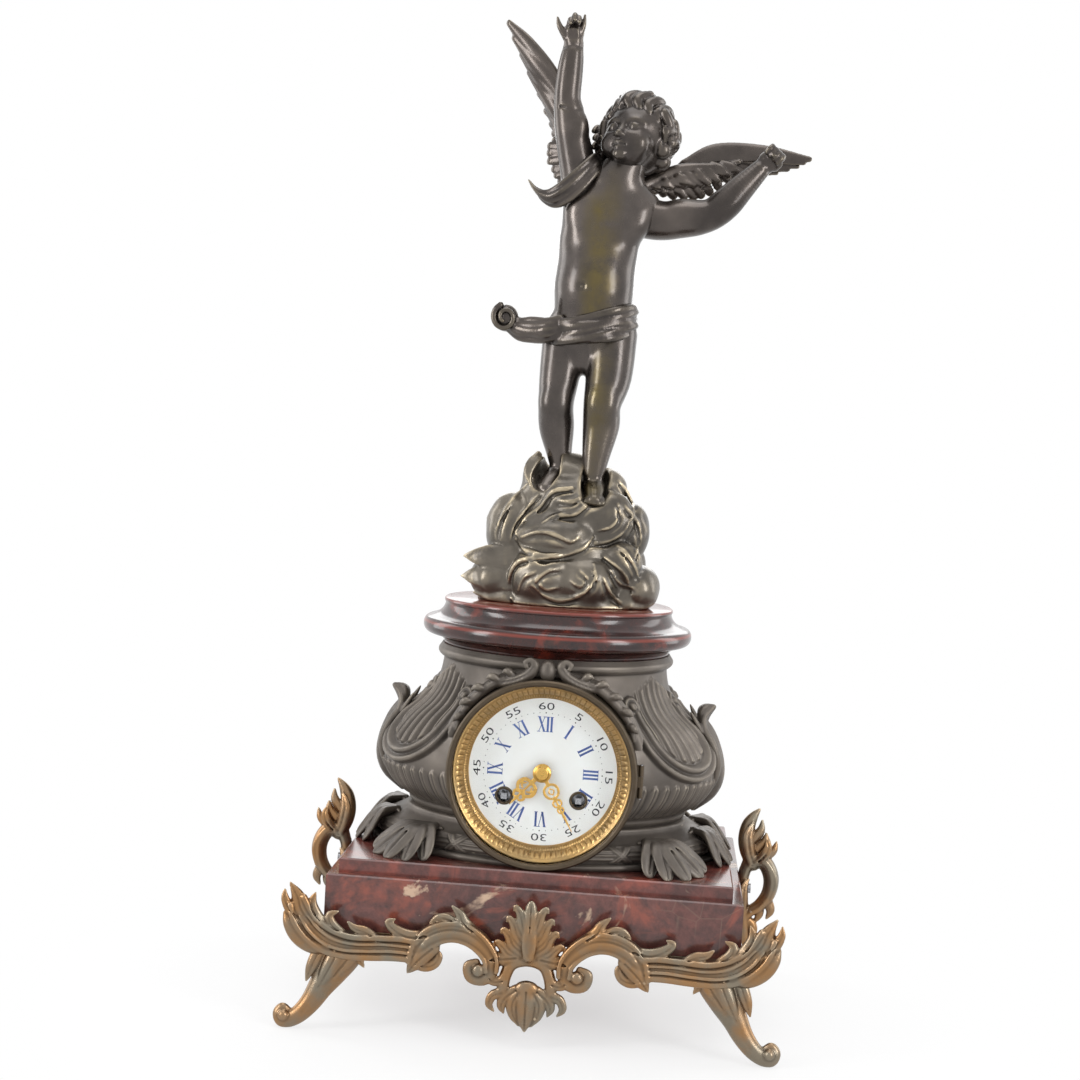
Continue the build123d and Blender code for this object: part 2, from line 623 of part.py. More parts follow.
# Ornaments on the body: U-shaped corner straps, a flame-tipped leaf on each flank, a crest over the bezel
CASE_LEAF = [
    (-39.5, 0.17), (-7.5, 0.135), (2, 0.28), (0.5, 0.42), (-6.5, 0.54), (-6, 0.625), (-2.5, 0.69),
    (-11.5, 0.66), (-19.5, 0.58), (-33.5, 0.54),
]
LYRE_BEARING = 60.0
LYRE_LEVEL = 0.58 * BODY_HEIGHT
LYRE_HALF_WIDTH = NECK_HALF_WIDTH + 19
LYRE_HALF_DEPTH = NECK_HALF_DEPTH + 3.5
LYRE_RADIUS = 24.0
LYRE_BAND = 8.0
LYRE_ARM = 12.0
LYRE_RISE = 3.0
LYRE_REACH = 30.0
LYRE_SKIN = [(h, w + LYRE_RISE, d + LYRE_RISE) for h, w, d in BODY_PROFILE]
CREST_THICKNESS = 8.0
CREST = [
    (-26, 43.5), (-15, 53.5), (-8, 60.5), (0, 63), (8, 60.5), (15, 53.5), (26, 43.5), (14, 41.5),
    (0, 44.5), (-14, 41.5),
]


def lyre(sx, sy):
    """A U-shaped bar pointing out of one corner of the body, square to its side."""
    sideways = sx * math.sin(math.radians(LYRE_BEARING))
    endways = sy * math.cos(math.radians(LYRE_BEARING))
    foot = (sideways * LYRE_HALF_WIDTH, endways * LYRE_HALF_DEPTH, BODY_Z + LYRE_LEVEL)
    out = (sideways / LYRE_HALF_WIDTH, endways / LYRE_HALF_DEPTH, 0)
    outer = LYRE_RADIUS + LYRE_BAND / 2
    inner = LYRE_RADIUS - LYRE_BAND / 2
    with BuildPart() as strap:
        with BuildSketch(Plane(origin=foot, x_dir=(-out[1], out[0], 0), z_dir=out)):
            Circle(outer)
            with Locations((0, LYRE_ARM / 2)):
                Rectangle(2 * outer, LYRE_ARM)
            Circle(inner, mode=Mode.SUBTRACT)
            with Locations((0, outer)):
                Rectangle(2 * inner, 2 * outer, mode=Mode.SUBTRACT)
            with Locations((0, LYRE_ARM + outer)):
                Rectangle(2 * outer, 2 * outer, mode=Mode.SUBTRACT)
        extrude(amount=LYRE_REACH, both=True)
    return strap.part


with BuildPart() as case_ornaments:
    for sx in (-1, 1):
        for sy in (-1, 1):
            add(lyre(sx, sy))
    add(oval_stack(LYRE_SKIN, BODY_Z), mode=Mode.INTERSECT)
    for sx in (-1, 1):
        leaf = [(sx * (BELLY_HALF_WIDTH + x), BODY_Z + share * BODY_HEIGHT) for x, share in CASE_LEAF]
        add(slab(leaf, -CASE_LEAF_DEPTH / 2, CASE_LEAF_DEPTH / 2))
    add(oval_stack(BODY_PROFILE, BODY_Z), mode=Mode.SUBTRACT)
    crest = [(x, DIAL_Z + z) for x, z in CREST]
    add(slab(crest, -DRUM_REACH - NECK_MOULDING - CREST_THICKNESS, -NECK_HALF_DEPTH))
    bar(0, DIAL_Z, DOOR_FRONT - 2, 0, BEZEL_RADIUS + DRUM_GAP, Mode.SUBTRACT)
    add(case_body.part, mode=Mode.SUBTRACT)
write(case_ornaments.part, "case_ornaments")

with BuildPart() as marble_plinth:
    with BuildSketch(Plane.XZ):
        with BuildLine():
            foot = (PLINTH_FOOT, PLINTH_Z)
            flange_low = (PLINTH_FLANGE - 1, PLINTH_Z + 10)
            flange_top = (PLINTH_FLANGE - 1.5, PLINTH_Z + 14)
            rim_low = (PLINTH_TOP, CLOUD_Z - 4)
            rim_top = (PLINTH_TOP - 1.5, CLOUD_Z)
            Line((0, PLINTH_Z), foot)
            Spline(foot, (PLINTH_FLANGE - 3, PLINTH_Z + 5), flange_low)
            ThreePointArc(flange_low, (PLINTH_FLANGE, PLINTH_Z + 12), flange_top)
            Spline(flange_top, (PLINTH_TOP + 3.5, PLINTH_Z + 17.5), rim_low)
            Line(rim_low, (PLINTH_TOP, CLOUD_Z - 1.5))
            Line((PLINTH_TOP, CLOUD_Z - 1.5), rim_top)
            Line(rim_top, (0, CLOUD_Z))
            Line((0, CLOUD_Z), (0, PLINTH_Z))
        make_face()
    revolve(axis=Axis.Z)
    scale(by=(1, PLINTH_ROUNDNESS, 1))
    post(0, 0, PLINTH_Z, CLOUD_Z, STUD_RADIUS + FASTENER_GAP, Mode.SUBTRACT)
write(marble_plinth.part, "marble_plinth")

# Places of the movement's arbors, as (x, z)
CENTRE = (0.0, DIAL_Z)
GOING = (WINDING_X, DIAL_Z - WINDING_DROP)
STRIKE = (-WINDING_X, DIAL_Z - WINDING_DROP)
GREAT_DISTANCE = GREAT_MODULE * (GREAT_TEETH + GREAT_LEAVES) / 2
INTER_DISTANCE = INTER_MODULE * (INTER_TEETH + INTER_LEAVES) / 2
INTER = crossing(CENTRE, GOING, INTER_DISTANCE, GREAT_DISTANCE, 1)
THIRD = polar(CENTRE, CENTRE_MODULE * (CENTRE_TEETH + CENTRE_LEAVES) / 2, THIRD_BEARING)
THIRD_DISTANCE = THIRD_MODULE * (THIRD_TEETH + THIRD_LEAVES) / 2
ESCAPE = (0.0, THIRD[1] + math.sqrt(THIRD_DISTANCE**2 - THIRD[0] ** 2))
PALLET = (0.0, ESCAPE[1] + PALLET_RISE)
PIN = polar(STRIKE, GREAT_DISTANCE, PIN_BEARING)
FLY = polar(PIN, PIN_MODULE * (PIN_TEETH + PIN_LEAVES) / 2, FLY_BEARING)
MINUTE_DISTANCE = CANNON_MODULE * (CANNON_TEETH + MINUTE_TEETH) / 2
HOUR_MODULE = 2 * MINUTE_DISTANCE / (MINUTE_LEAVES + HOUR_TEETH)
MINUTE = polar(CENTRE, MINUTE_DISTANCE, MINUTE_BEARING)
HAMMER = (-HAMMER_X, DIAL_Z - HAMMER_DROP)
CLICKS = {
    "going": polar(GOING, CLICK_REACH, CLICK_BEARING),
    "strike": polar(STRIKE, CLICK_REACH, 180 - CLICK_BEARING),
}

# Depths of the wheels between the plates
FRONT_LEVEL = PLATE_FRONT_BACK + 1.4
THIRD_LEVEL = PLATE_FRONT_BACK + 10.0
ESCAPE_LEVEL = PLATE_FRONT_BACK + 17.0
BARREL_FRONT = PLATE_FRONT_BACK + 4.4
BARREL_BACK = BARREL_FRONT + BARREL_LENGTH
GREAT_LEVEL = BARREL_BACK - GREAT_THICKNESS
REAR_LEVEL = PLATE_BACK - 3.2
PINION_OVERHANG = (PINION_LENGTH - WHEEL_THICKNESS) / 2
RATCHET_FRONT = PLATE_FRONT - 2.2
CANNON_LEVEL = PLATE_FRONT - 2.2
HOUR_LEVEL = PLATE_FRONT - 5.2
HOUR_HAND_FRONT = DIAL_FRONT - 3.0
MINUTE_HAND_FRONT = HOUR_HAND_FRONT - 2.2
NUT_FRONT = MINUTE_HAND_FRONT - 2.4

# Bezel: a fixed seat on the drum, a hinged ring with its glass, and the gilt sight ring
SLEEVE_OUTER = DRUM_BORE - SLEEVE_GAP
SLEEVE_INNER = SLEEVE_OUTER - SLEEVE_WALL
SIGHT_OUTER = BEZEL_RADIUS - BEZEL_LIP
SEAT_MOUTH = SIGHT_OUTER + SIGHT_GAP
SEAT_CONE = SEAT_FRONT + 2.1
SLEEVE_END = PLATE_FRONT_BACK + 1.5
PLATE_RADIUS = SLEEVE_INNER - PLATE_GAP
DIAL_AXIS = (0, 0, DIAL_Z)
HINGE_Y = (SEAT_FRONT + DOOR_BACK) / 2
KNUCKLE_END = KNUCKLE_LENGTH * 1.5 + KNUCKLE_GAP


def knuckle(y, low, high, arm_front, arm_back, arm_start):
    """One hinge knuckle with its arm, in the part being built, heights from the dial centre."""
    block((arm_start, arm_front, DIAL_Z + low), (HINGE_X, arm_back, DIAL_Z + high))
    post(HINGE_X, y, DIAL_Z + low, DIAL_Z + high, KNUCKLE_RADIUS)
    post(HINGE_X, y, DIAL_Z + low, DIAL_Z + high, HINGE_PIN_RADIUS + HINGE_CLEARANCE, Mode.SUBTRACT)


ARM_START = BEZEL_RADIUS - 2.0
KNUCKLE_SPLIT = KNUCKLE_LENGTH / 2 + KNUCKLE_GAP
OUTER_KNUCKLES = [(-KNUCKLE_END, -KNUCKLE_SPLIT), (KNUCKLE_SPLIT, KNUCKLE_END)]
SEAT_PROFILE = [
    (BEZEL_RADIUS, SEAT_FRONT), (SEAT_MOUTH, SEAT_FRONT), (SEAT_MOUTH, SEAT_CONE),
    (SLEEVE_INNER, SEAT_CONE + SEAT_MOUTH - SLEEVE_INNER), (SLEEVE_INNER, PLATE_FRONT_BACK),
    (SLEEVE_INNER - SEAT_LIP, PLATE_FRONT_BACK), (SLEEVE_INNER - SEAT_LIP, SLEEVE_END),
    (SLEEVE_OUTER, SLEEVE_END), (SLEEVE_OUTER, -DRUM_REACH), (BEZEL_RADIUS, -DRUM_REACH),
]
with BuildPart() as bezel_seat:
    add(ring_of(SEAT_PROFILE, DIAL_AXIS))
    for low, high in OUTER_KNUCKLES:
        knuckle(HINGE_Y, low, high, SEAT_FRONT, SEAT_FRONT + KNUCKLE_ARM, ARM_START)
write(bezel_seat.part, "bezel_seat")

GLASS_FRONT = DOOR_BACK - GLASS_INSET - GLASS_THICKNESS
REBATE_RADIUS = SIGHT_OUTER + GLASS_REBATE
DOOR_PROFILE = [
    (SIGHT_OUTER, GLASS_FRONT - GLASS_GAP), (SIGHT_OUTER, DOOR_FRONT + 1.1), (SIGHT_OUTER + 1.2, DOOR_FRONT),
    (BEZEL_RADIUS - 0.9, DOOR_FRONT), (BEZEL_RADIUS, DOOR_FRONT + 1.1), (BEZEL_RADIUS, DOOR_BACK),
    (REBATE_RADIUS, DOOR_BACK), (REBATE_RADIUS, GLASS_FRONT - GLASS_GAP),
]
with BuildPart() as bezel_door:
    add(ring_of(DOOR_PROFILE, DIAL_AXIS))
    knuckle(HINGE_Y, -KNUCKLE_LENGTH / 2, KNUCKLE_LENGTH / 2, DOOR_BACK - KNUCKLE_ARM, DOOR_BACK, ARM_START)
write(bezel_door.part, "bezel_door")

with BuildPart() as dial_glass:
    bar(0, DIAL_Z, GLASS_FRONT, GLASS_FRONT + GLASS_THICKNESS, REBATE_RADIUS - GLASS_GAP)
    chamfer(dial_glass.faces().sort_by(Axis.Y)[0].edges(), 0.6)
write(dial_glass.part, "dial_glass")

SIGHT_BACK = DIAL_FRONT - 0.1
SIGHT_PROFILE = [
    (SIGHT_OUTER, SEAT_FRONT + SIGHT_GAP), (DIAL_SIGHT, SIGHT_BACK - 0.5), (DIAL_SIGHT, SIGHT_BACK),
    (SLEEVE_INNER - SIGHT_GAP, SIGHT_BACK),
    (SLEEVE_INNER - SIGHT_GAP, SEAT_CONE + SEAT_MOUTH - SLEEVE_INNER - SIGHT_GAP),
    (SIGHT_OUTER, SEAT_CONE - SIGHT_GAP),
]
with BuildPart() as sight_ring:
    add(ring_of(SIGHT_PROFILE, DIAL_AXIS))
    bar(0, DIAL_Z + (SIGHT_OUTER + DIAL_SIGHT) / 2, SEAT_FRONT, SIGHT_BACK, 0.9, Mode.SUBTRACT)
write(sight_ring.part, "sight_ring")

with BuildPart() as hinge_pins:
    for hinge_y in (HINGE_Y, REAR_HINGE_Y):
        post(HINGE_X, hinge_y, DIAL_Z - KNUCKLE_END - 0.5, DIAL_Z + KNUCKLE_END + 0.5, HINGE_PIN_RADIUS)
write(hinge_pins.part, "hinge_pins")

# Enamel dial on three feet
DIAL_FEET = [(-31.0, 18.0), (31.0, 18.0), (0.0, -35.0)]
with BuildPart() as dial:
    bar(0, DIAL_Z, DIAL_FRONT, DIAL_BACK, SLEEVE_INNER - DIAL_GAP)
    bar(0, DIAL_Z, DIAL_FRONT, DIAL_BACK, DIAL_CENTRE_HOLE, Mode.SUBTRACT)
    for winding in (GOING, STRIKE):
        bar(winding[0], winding[1], DIAL_FRONT, DIAL_BACK, DIAL_WINDING_HOLE, Mode.SUBTRACT)
    for foot_x, foot_rise in DIAL_FEET:
        bar(foot_x, DIAL_Z + foot_rise, DIAL_BACK, PLATE_FRONT, 1.2)
write(dial.part, "dial")

# Movement plates and pillars
TRAIN = [INTER, THIRD, ESCAPE, PIN, FLY]
PIVOT_HOLE = PIVOT_RADIUS + PIVOT_CLEARANCE
PILLARS = [(-32.6, 24.2), (32.6, 24.2), (-9.0, -39.5), (9.0, -39.5)]
with BuildPart() as front_plate:
    bar(0, DIAL_Z, PLATE_FRONT, PLATE_FRONT_BACK, PLATE_RADIUS)
    for x, z in TRAIN + [PALLET, HAMMER]:
        bar(x, z, PLATE_FRONT, PLATE_FRONT_BACK, PIVOT_HOLE, Mode.SUBTRACT)
    for x, z in (GOING, STRIKE):
        bar(x, z, PLATE_FRONT, PLATE_FRONT_BACK, WINDING_RADIUS + PIVOT_CLEARANCE, Mode.SUBTRACT)
    bar(CENTRE[0], CENTRE[1], PLATE_FRONT, PLATE_FRONT_BACK, CENTRE_RADIUS + PIVOT_CLEARANCE, Mode.SUBTRACT)
    bar(MINUTE[0], MINUTE[1], HOUR_LEVEL - 1, PLATE_FRONT, STUB_RADIUS)
    for x, z in CLICKS.values():
        bar(x, z, RATCHET_FRONT - 0.4, PLATE_FRONT, STUB_RADIUS)
write(front_plate.part, "front_plate")

with BuildPart() as back_plate:
    bar(0, DIAL_Z, PLATE_BACK, PLATE_BACK_REAR, PLATE_RADIUS)
    for x, z in TRAIN + [CENTRE]:
        bar(x, z, PLATE_BACK, PLATE_BACK_REAR, PIVOT_HOLE, Mode.SUBTRACT)
    for x, z in (PALLET, HAMMER):
        bar(x, z, PLATE_BACK, PLATE_BACK_REAR, HAMMER_ARBOR + PIVOT_CLEARANCE, Mode.SUBTRACT)
    for x, z in (GOING, STRIKE):
        bar(x, z, PLATE_BACK, PLATE_BACK_REAR, WINDING_RADIUS + PIVOT_CLEARANCE, Mode.SUBTRACT)
    for x, rise in PILLARS:
        bar(x, DIAL_Z + rise, PLATE_FRONT_BACK, PLATE_BACK, PILLAR_RADIUS)
write(back_plate.part, "back_plate")

# Two long straps that tie the front bezel to the rear one
with BuildPart() as movement_straps:
    for side in (-1, 1):
        inner = side * (SLEEVE_INNER + 0.1)
        outer = side * SLEEVE_OUTER
        block(
            (min(inner, outer), SLEEVE_END, DIAL_Z - STRAP_WIDTH / 2),
            (max(inner, outer), DRUM_REACH - REAR_SLEEVE, DIAL_Z + STRAP_WIDTH / 2),
        )
write(movement_straps.part, "movement_straps")


def arbor(at, rear_end=PLATE_BACK_REAR):
    """A plain arbor between the plates with a pivot in each, in the part being built."""
    bar(at[0], at[1], PLATE_FRONT_BACK + SHOULDER_GAP, PLATE_BACK - SHOULDER_GAP, ARBOR_RADIUS)
    bar(at[0], at[1], PLATE_FRONT, rear_end, PIVOT_RADIUS)


# Going train, from the mainspring barrel up to the escape wheel
def barrel(at, mate):
    """A mainspring barrel with its great wheel, free to turn on the winding arbor."""
    teeth = toothed(GREAT_TEETH, GREAT_MODULE, bearing(at, mate), at, GREAT_LEVEL, GREAT_THICKNESS)
    with BuildPart() as drum:
        bar(at[0], at[1], BARREL_FRONT, BARREL_BACK, BARREL_RADIUS)
        add(teeth)
        bar(at[0], at[1], BARREL_FRONT, BARREL_BACK, WINDING_RADIUS + PIVOT_CLEARANCE, Mode.SUBTRACT)
    return drum.part


def winding_arbor(at):
    """A winding arbor: square front end, ratchet wheel before the plate and a shaft through both plates."""
    ratchet = toothed(RATCHET_TEETH, RATCHET_MODULE, 0, at, RATCHET_FRONT, RATCHET_THICKNESS)
    with BuildPart() as shaft:
        bar(at[0], at[1], RATCHET_FRONT, PLATE_BACK_REAR, WINDING_RADIUS)
        block(
            (at[0] - WINDING_SQUARE / 2, DIAL_FRONT - SQUARE_PROUD, at[1] - WINDING_SQUARE / 2),
            (at[0] + WINDING_SQUARE / 2, RATCHET_FRONT, at[1] + WINDING_SQUARE / 2),
        )
        add(ratchet)
    return shaft.part


def click(at, ratchet_at, tip_bearing):
    """A click lever on its stud, its nose just off the ratchet teeth."""
    nose = polar(ratchet_at, RATCHET_RADIUS + CLICK_GAP, tip_bearing)
    heading = bearing(at, nose)
    length = math.dist(at, nose)
    with BuildPart() as lever:
        with BuildSketch(facing(at[0], PLATE_FRONT - SHOULDER_GAP, at[1], heading)):
            Circle(2.0)
            with BuildLine():
                Polyline((0, -1.4), (length, 0), (0, 1.4), close=True)
            make_face()
            Circle(STUB_RADIUS + PIVOT_CLEARANCE, mode=Mode.SUBTRACT)
        extrude(amount=RATCHET_THICKNESS)
    return lever.part


RATCHET_MODULE = RATCHET_RADIUS / (RATCHET_TEETH / 2 + 0.9)
write(barrel(GOING, INTER), "going_barrel")
write(barrel(STRIKE, PIN), "strike_barrel")
write(winding_arbor(GOING), "going_winding_arbor")
write(winding_arbor(STRIKE), "strike_winding_arbor")
write(click(CLICKS["going"], GOING, CLICK_NOSE), "going_click")
write(click(CLICKS["strike"], STRIKE, 180 - CLICK_NOSE), "strike_click")

with BuildPart() as intermediate_wheel:
    arbor(INTER)
    add(toothed(INTER_TEETH, INTER_MODULE, bearing(INTER, CENTRE), INTER, FRONT_LEVEL, WHEEL_THICKNESS))
    add(
        toothed(
            GREAT_LEAVES, GREAT_MODULE, bearing(INTER, GOING) + 180 / GREAT_LEAVES,
            INTER, GREAT_LEVEL - 0.6, PINION_LENGTH, leaves=True,
        )
    )
write(intermediate_wheel.part, "intermediate_wheel")

with BuildPart() as centre_wheel:
    bar(0, DIAL_Z, NUT_FRONT + 0.6, PLATE_BACK - SHOULDER_GAP, CENTRE_RADIUS)
    bar(0, DIAL_Z, PLATE_FRONT, PLATE_BACK_REAR, PIVOT_RADIUS)
    add(toothed(CENTRE_TEETH, CENTRE_MODULE, bearing(CENTRE, THIRD), CENTRE, REAR_LEVEL, WHEEL_THICKNESS))
    add(
        toothed(
            INTER_LEAVES, INTER_MODULE, bearing(CENTRE, INTER) + 180 / INTER_LEAVES,
            CENTRE, FRONT_LEVEL - PINION_OVERHANG, PINION_LENGTH, leaves=True,
        )
    )
write(centre_wheel.part, "centre_wheel")

with BuildPart() as third_wheel:
    arbor(THIRD)
    add(toothed(THIRD_TEETH, THIRD_MODULE, bearing(THIRD, ESCAPE), THIRD, THIRD_LEVEL, WHEEL_THICKNESS))
    add(
        toothed(
            CENTRE_LEAVES, CENTRE_MODULE, bearing(THIRD, CENTRE) + 180 / CENTRE_LEAVES,
            THIRD, REAR_LEVEL - PINION_OVERHANG, PINION_LENGTH, leaves=True,
        )
    )
write(third_wheel.part, "third_wheel")

ESCAPE_MODULE = ESCAPE_RADIUS / (ESCAPE_TEETH / 2 + 0.9)
with BuildPart() as escape_wheel:
    arbor(ESCAPE)
    add(toothed(ESCAPE_TEETH, ESCAPE_MODULE, 90, ESCAPE, ESCAPE_LEVEL, WHEEL_THICKNESS))
    add(
        toothed(
            THIRD_LEAVES, THIRD_MODULE, bearing(ESCAPE, THIRD) + 180 / THIRD_LEAVES,
            ESCAPE, THIRD_LEVEL - PINION_OVERHANG, PINION_LENGTH, leaves=True,
        )
    )
write(escape_wheel.part, "escape_wheel")

# Strike train: pin wheel, fly and hammer
with BuildPart() as strike_pin_wheel:
    arbor(PIN)
    add(toothed(PIN_TEETH, PIN_MODULE, bearing(PIN, FLY), PIN, REAR_LEVEL, WHEEL_THICKNESS))
    add(
        toothed(
            GREAT_LEAVES, GREAT_MODULE, bearing(PIN, STRIKE) + 180 / GREAT_LEAVES,
            PIN, GREAT_LEVEL - 0.6, PINION_LENGTH, leaves=True,
        )
    )
    for lift in range(LIFTING_PINS):
        pin_at = polar(PIN, LIFTING_RADIUS, lift * 360 / LIFTING_PINS)
        bar(pin_at[0], pin_at[1], REAR_LEVEL - LIFTING_LENGTH, REAR_LEVEL, PIVOT_RADIUS)
write(strike_pin_wheel.part, "strike_pin_wheel")

with BuildPart() as strike_fly:
    arbor(FLY)
    block(
        (FLY[0] - FLY_HALF, THIRD_LEVEL - 6, FLY[1] - 0.4),
        (FLY[0] + FLY_HALF, THIRD_LEVEL + 6, FLY[1] + 0.4),
    )
    add(
        toothed(
            PIN_LEAVES, PIN_MODULE, bearing(FLY, PIN) + 180 / PIN_LEAVES,
            FLY, REAR_LEVEL - PINION_OVERHANG, PINION_LENGTH, leaves=True,
        )
    )
write(strike_fly.part, "strike_fly")

BELL_Z = DIAL_Z - BELL_DROP
BELL_MOUTH = PLATE_BACK_REAR + BELL_SETBACK
BELL_CROWN = BELL_MOUTH + BELL_DEPTH
BELL_PROFILE = [
    (BELL_RADIUS, BELL_MOUTH), (BELL_RADIUS - 1, BELL_MOUTH + 0.4 * BELL_DEPTH),
    (BELL_RADIUS - 8, BELL_MOUTH + 0.83 * BELL_DEPTH), (4, BELL_CROWN),
    (BELL_STUD + FASTENER_GAP, BELL_CROWN),
    (BELL_STUD + FASTENER_GAP, BELL_CROWN - BELL_WALL), (4, BELL_CROWN - BELL_WALL),
    (BELL_RADIUS - 9, BELL_MOUTH + 0.73 * BELL_DEPTH),
    (BELL_RADIUS - 1 - BELL_WALL, BELL_MOUTH + 0.37 * BELL_DEPTH),
    (BELL_RADIUS - BELL_WALL, BELL_MOUTH),
]
with BuildPart() as bell:
    add(ring_of(BELL_PROFILE, (0, 0, BELL_Z)))
write(bell.part, "bell")

BELL_POST = (30.0, DIAL_Z - 26.0)
with BuildPart() as bell_stand:
    bar(BELL_POST[0], BELL_POST[1], PLATE_BACK_REAR, BELL_CROWN + 2.0, 2.0)
    with BuildSketch(facing(0, BELL_CROWN + 2.0, BELL_Z)):
        with BuildLine():
            Line((0, 0), (BELL_POST[0], BELL_POST[1] - BELL_Z))
        trace(line_width=6)
        Circle(4.0)
    extrude(amount=2.0 - FASTENER_GAP)
    bar(0, BELL_Z, BELL_CROWN - BELL_WALL - 2.0, BELL_CROWN + 5.0, BELL_STUD)
write(bell_stand.part, "bell_stand")

HAMMER_Y = (BELL_MOUTH + BELL_CROWN) / 2 - 4.0
HAMMER_ARM_Y = PLATE_BACK_REAR + 2.5
HEAD_END = -BELL_RADIUS - HAMMER_GAP
with BuildPart() as strike_hammer:
    bar(HAMMER[0], HAMMER[1], PLATE_FRONT, PLATE_FRONT_BACK + SHOULDER_GAP, PIVOT_RADIUS)
    bar(HAMMER[0], HAMMER[1], PLATE_FRONT_BACK + SHOULDER_GAP, HAMMER_ARM_Y + 1.6, HAMMER_ARBOR)
    block((HAMMER[0] - 1.5, HAMMER_ARM_Y, HAMMER[1] - 2), (HAMMER[0] + 1.5, HAMMER_ARM_Y + 1.6, BELL_Z + 2))
    block((HAMMER[0] - 1.5, HAMMER_ARM_Y, BELL_Z - 2), (HAMMER[0] + 1.5, HAMMER_Y + 2, BELL_Z + 2))
    with Locations(Location(((HAMMER[0] + HEAD_END) / 2 - 1, HAMMER_Y, BELL_Z), (0, 90, 0))):
        Cylinder(3.6, HEAD_END - HAMMER[0] + 2)
write(strike_hammer.part, "strike_hammer")

# Motion work and hands
with BuildPart() as cannon_pinion:
    bar(0, DIAL_Z, HOUR_HAND_FRONT - 0.4, CANNON_LEVEL + 1.9, CANNON_RADIUS)
    bar(0, DIAL_Z, MINUTE_HAND_FRONT, HOUR_HAND_FRONT, HAND_POST)
    add(
        toothed(
            CANNON_TEETH, CANNON_MODULE, bearing(CENTRE, MINUTE) + 180 / CANNON_TEETH,
            CENTRE, CANNON_LEVEL, 1.9, leaves=True,
        )
    )
    bar(0, DIAL_Z, NUT_FRONT, PLATE_FRONT, CENTRE_RADIUS, Mode.SUBTRACT)
write(cannon_pinion.part, "cannon_pinion")

with BuildPart() as minute_wheel:
    mesh_angle = bearing(MINUTE, CENTRE)
    add(toothed(MINUTE_TEETH, CANNON_MODULE, mesh_angle, MINUTE, CANNON_LEVEL + 0.3, WHEEL_THICKNESS))
    add(
        toothed(
            MINUTE_LEAVES, HOUR_MODULE, bearing(MINUTE, CENTRE) + 180 / MINUTE_LEAVES,
            MINUTE, HOUR_LEVEL - 0.4, CANNON_LEVEL + 0.3 - HOUR_LEVEL + 0.4, leaves=True,
        )
    )
    bar(MINUTE[0], MINUTE[1], HOUR_LEVEL - 1, PLATE_FRONT, STUB_RADIUS + PIVOT_CLEARANCE, Mode.SUBTRACT)
write(minute_wheel.part, "minute_wheel")

with BuildPart() as hour_wheel:
    add(toothed(HOUR_TEETH, HOUR_MODULE, bearing(CENTRE, MINUTE), CENTRE, HOUR_LEVEL, WHEEL_THICKNESS))
    bar(0, DIAL_Z, HOUR_HAND_FRONT, HOUR_LEVEL + WHEEL_THICKNESS, HOUR_PIPE)
    bore = CANNON_RADIUS + PIVOT_CLEARANCE
    bar(0, DIAL_Z, HOUR_HAND_FRONT, HOUR_LEVEL + WHEEL_THICKNESS, bore, Mode.SUBTRACT)
write(hour_wheel.part, "hour_wheel")


def hand(length, angle, front, hole):
    """A pierced gilt hand: hub, scrolled lobe and fine point, turned clockwise from twelve."""
    lobe = length * 0.52
    with BuildPart() as pointer:
        with BuildSketch(facing(0, front + HAND_THICKNESS, DIAL_Z, -angle)):
            Circle(hole + 1.4)
            with Locations((0, length / 2)):
                Rectangle(1.3, length * 0.9)
            for side in (-1, 1):
                with Locations((side * length * 0.07, lobe)):
                    Ellipse(length * 0.075, length * 0.14)
                    Ellipse(length * 0.04, length * 0.09, mode=Mode.SUBTRACT)
            with Locations((0, lobe + length * 0.17)):
                Circle(length * 0.05)
            with BuildLine():
                barb = (length * 0.03, length * 0.75)
                Polyline((-barb[0], barb[1]), (0, length), barb, close=True)
            make_face()
            Circle(hole, mode=Mode.SUBTRACT)
        extrude(amount=HAND_THICKNESS)
    return pointer.part


write(hand(HOUR_HAND_LENGTH, HOUR_ANGLE, HOUR_HAND_FRONT, HOUR_PIPE), "hour_hand")
write(hand(MINUTE_HAND_LENGTH, MINUTE_ANGLE, MINUTE_HAND_FRONT, HAND_POST), "minute_hand")

with BuildPart() as hand_nut:
    with BuildSketch(Plane(origin=DIAL_AXIS, x_dir=(1, 0, 0), z_dir=(0, 0, 1))):
        with BuildLine():
            Line((CENTRE_RADIUS, MINUTE_HAND_FRONT), (NUT_RADIUS, MINUTE_HAND_FRONT))
            ThreePointArc(
                (NUT_RADIUS, MINUTE_HAND_FRONT),
                (NUT_RADIUS * 0.7, NUT_FRONT + 0.7),
                (CENTRE_RADIUS, NUT_FRONT),
            )
            Line((CENTRE_RADIUS, NUT_FRONT), (CENTRE_RADIUS, MINUTE_HAND_FRONT))
        make_face()
    revolve(axis=Axis(DIAL_AXIS, (0, 1, 0)))
write(hand_nut.part, "hand_nut")

# Suspension, verge and pendulum
COCK_FRONT = PLATE_BACK_REAR + 6.0
COCK_BACK = COCK_FRONT + 2.0
with BuildPart() as suspension_cock:
    block((-12, COCK_FRONT, PALLET[1] - 3), (12, COCK_BACK, PALLET[1] + 5))
    for side in (-1, 1):
        block(
            (side * 10.5 - 1.5, PLATE_BACK_REAR, PALLET[1] - 3),
            (side * 10.5 + 1.5, COCK_FRONT, PALLET[1] + 5),
        )
    block((-4, COCK_BACK, PALLET[1] + 1), (4, PENDULUM_Y + 3, PALLET[1] + 5))
    bar(PALLET[0], PALLET[1], COCK_FRONT, COCK_BACK, PIVOT_HOLE, Mode.SUBTRACT)
write(suspension_cock.part, "suspension_cock")

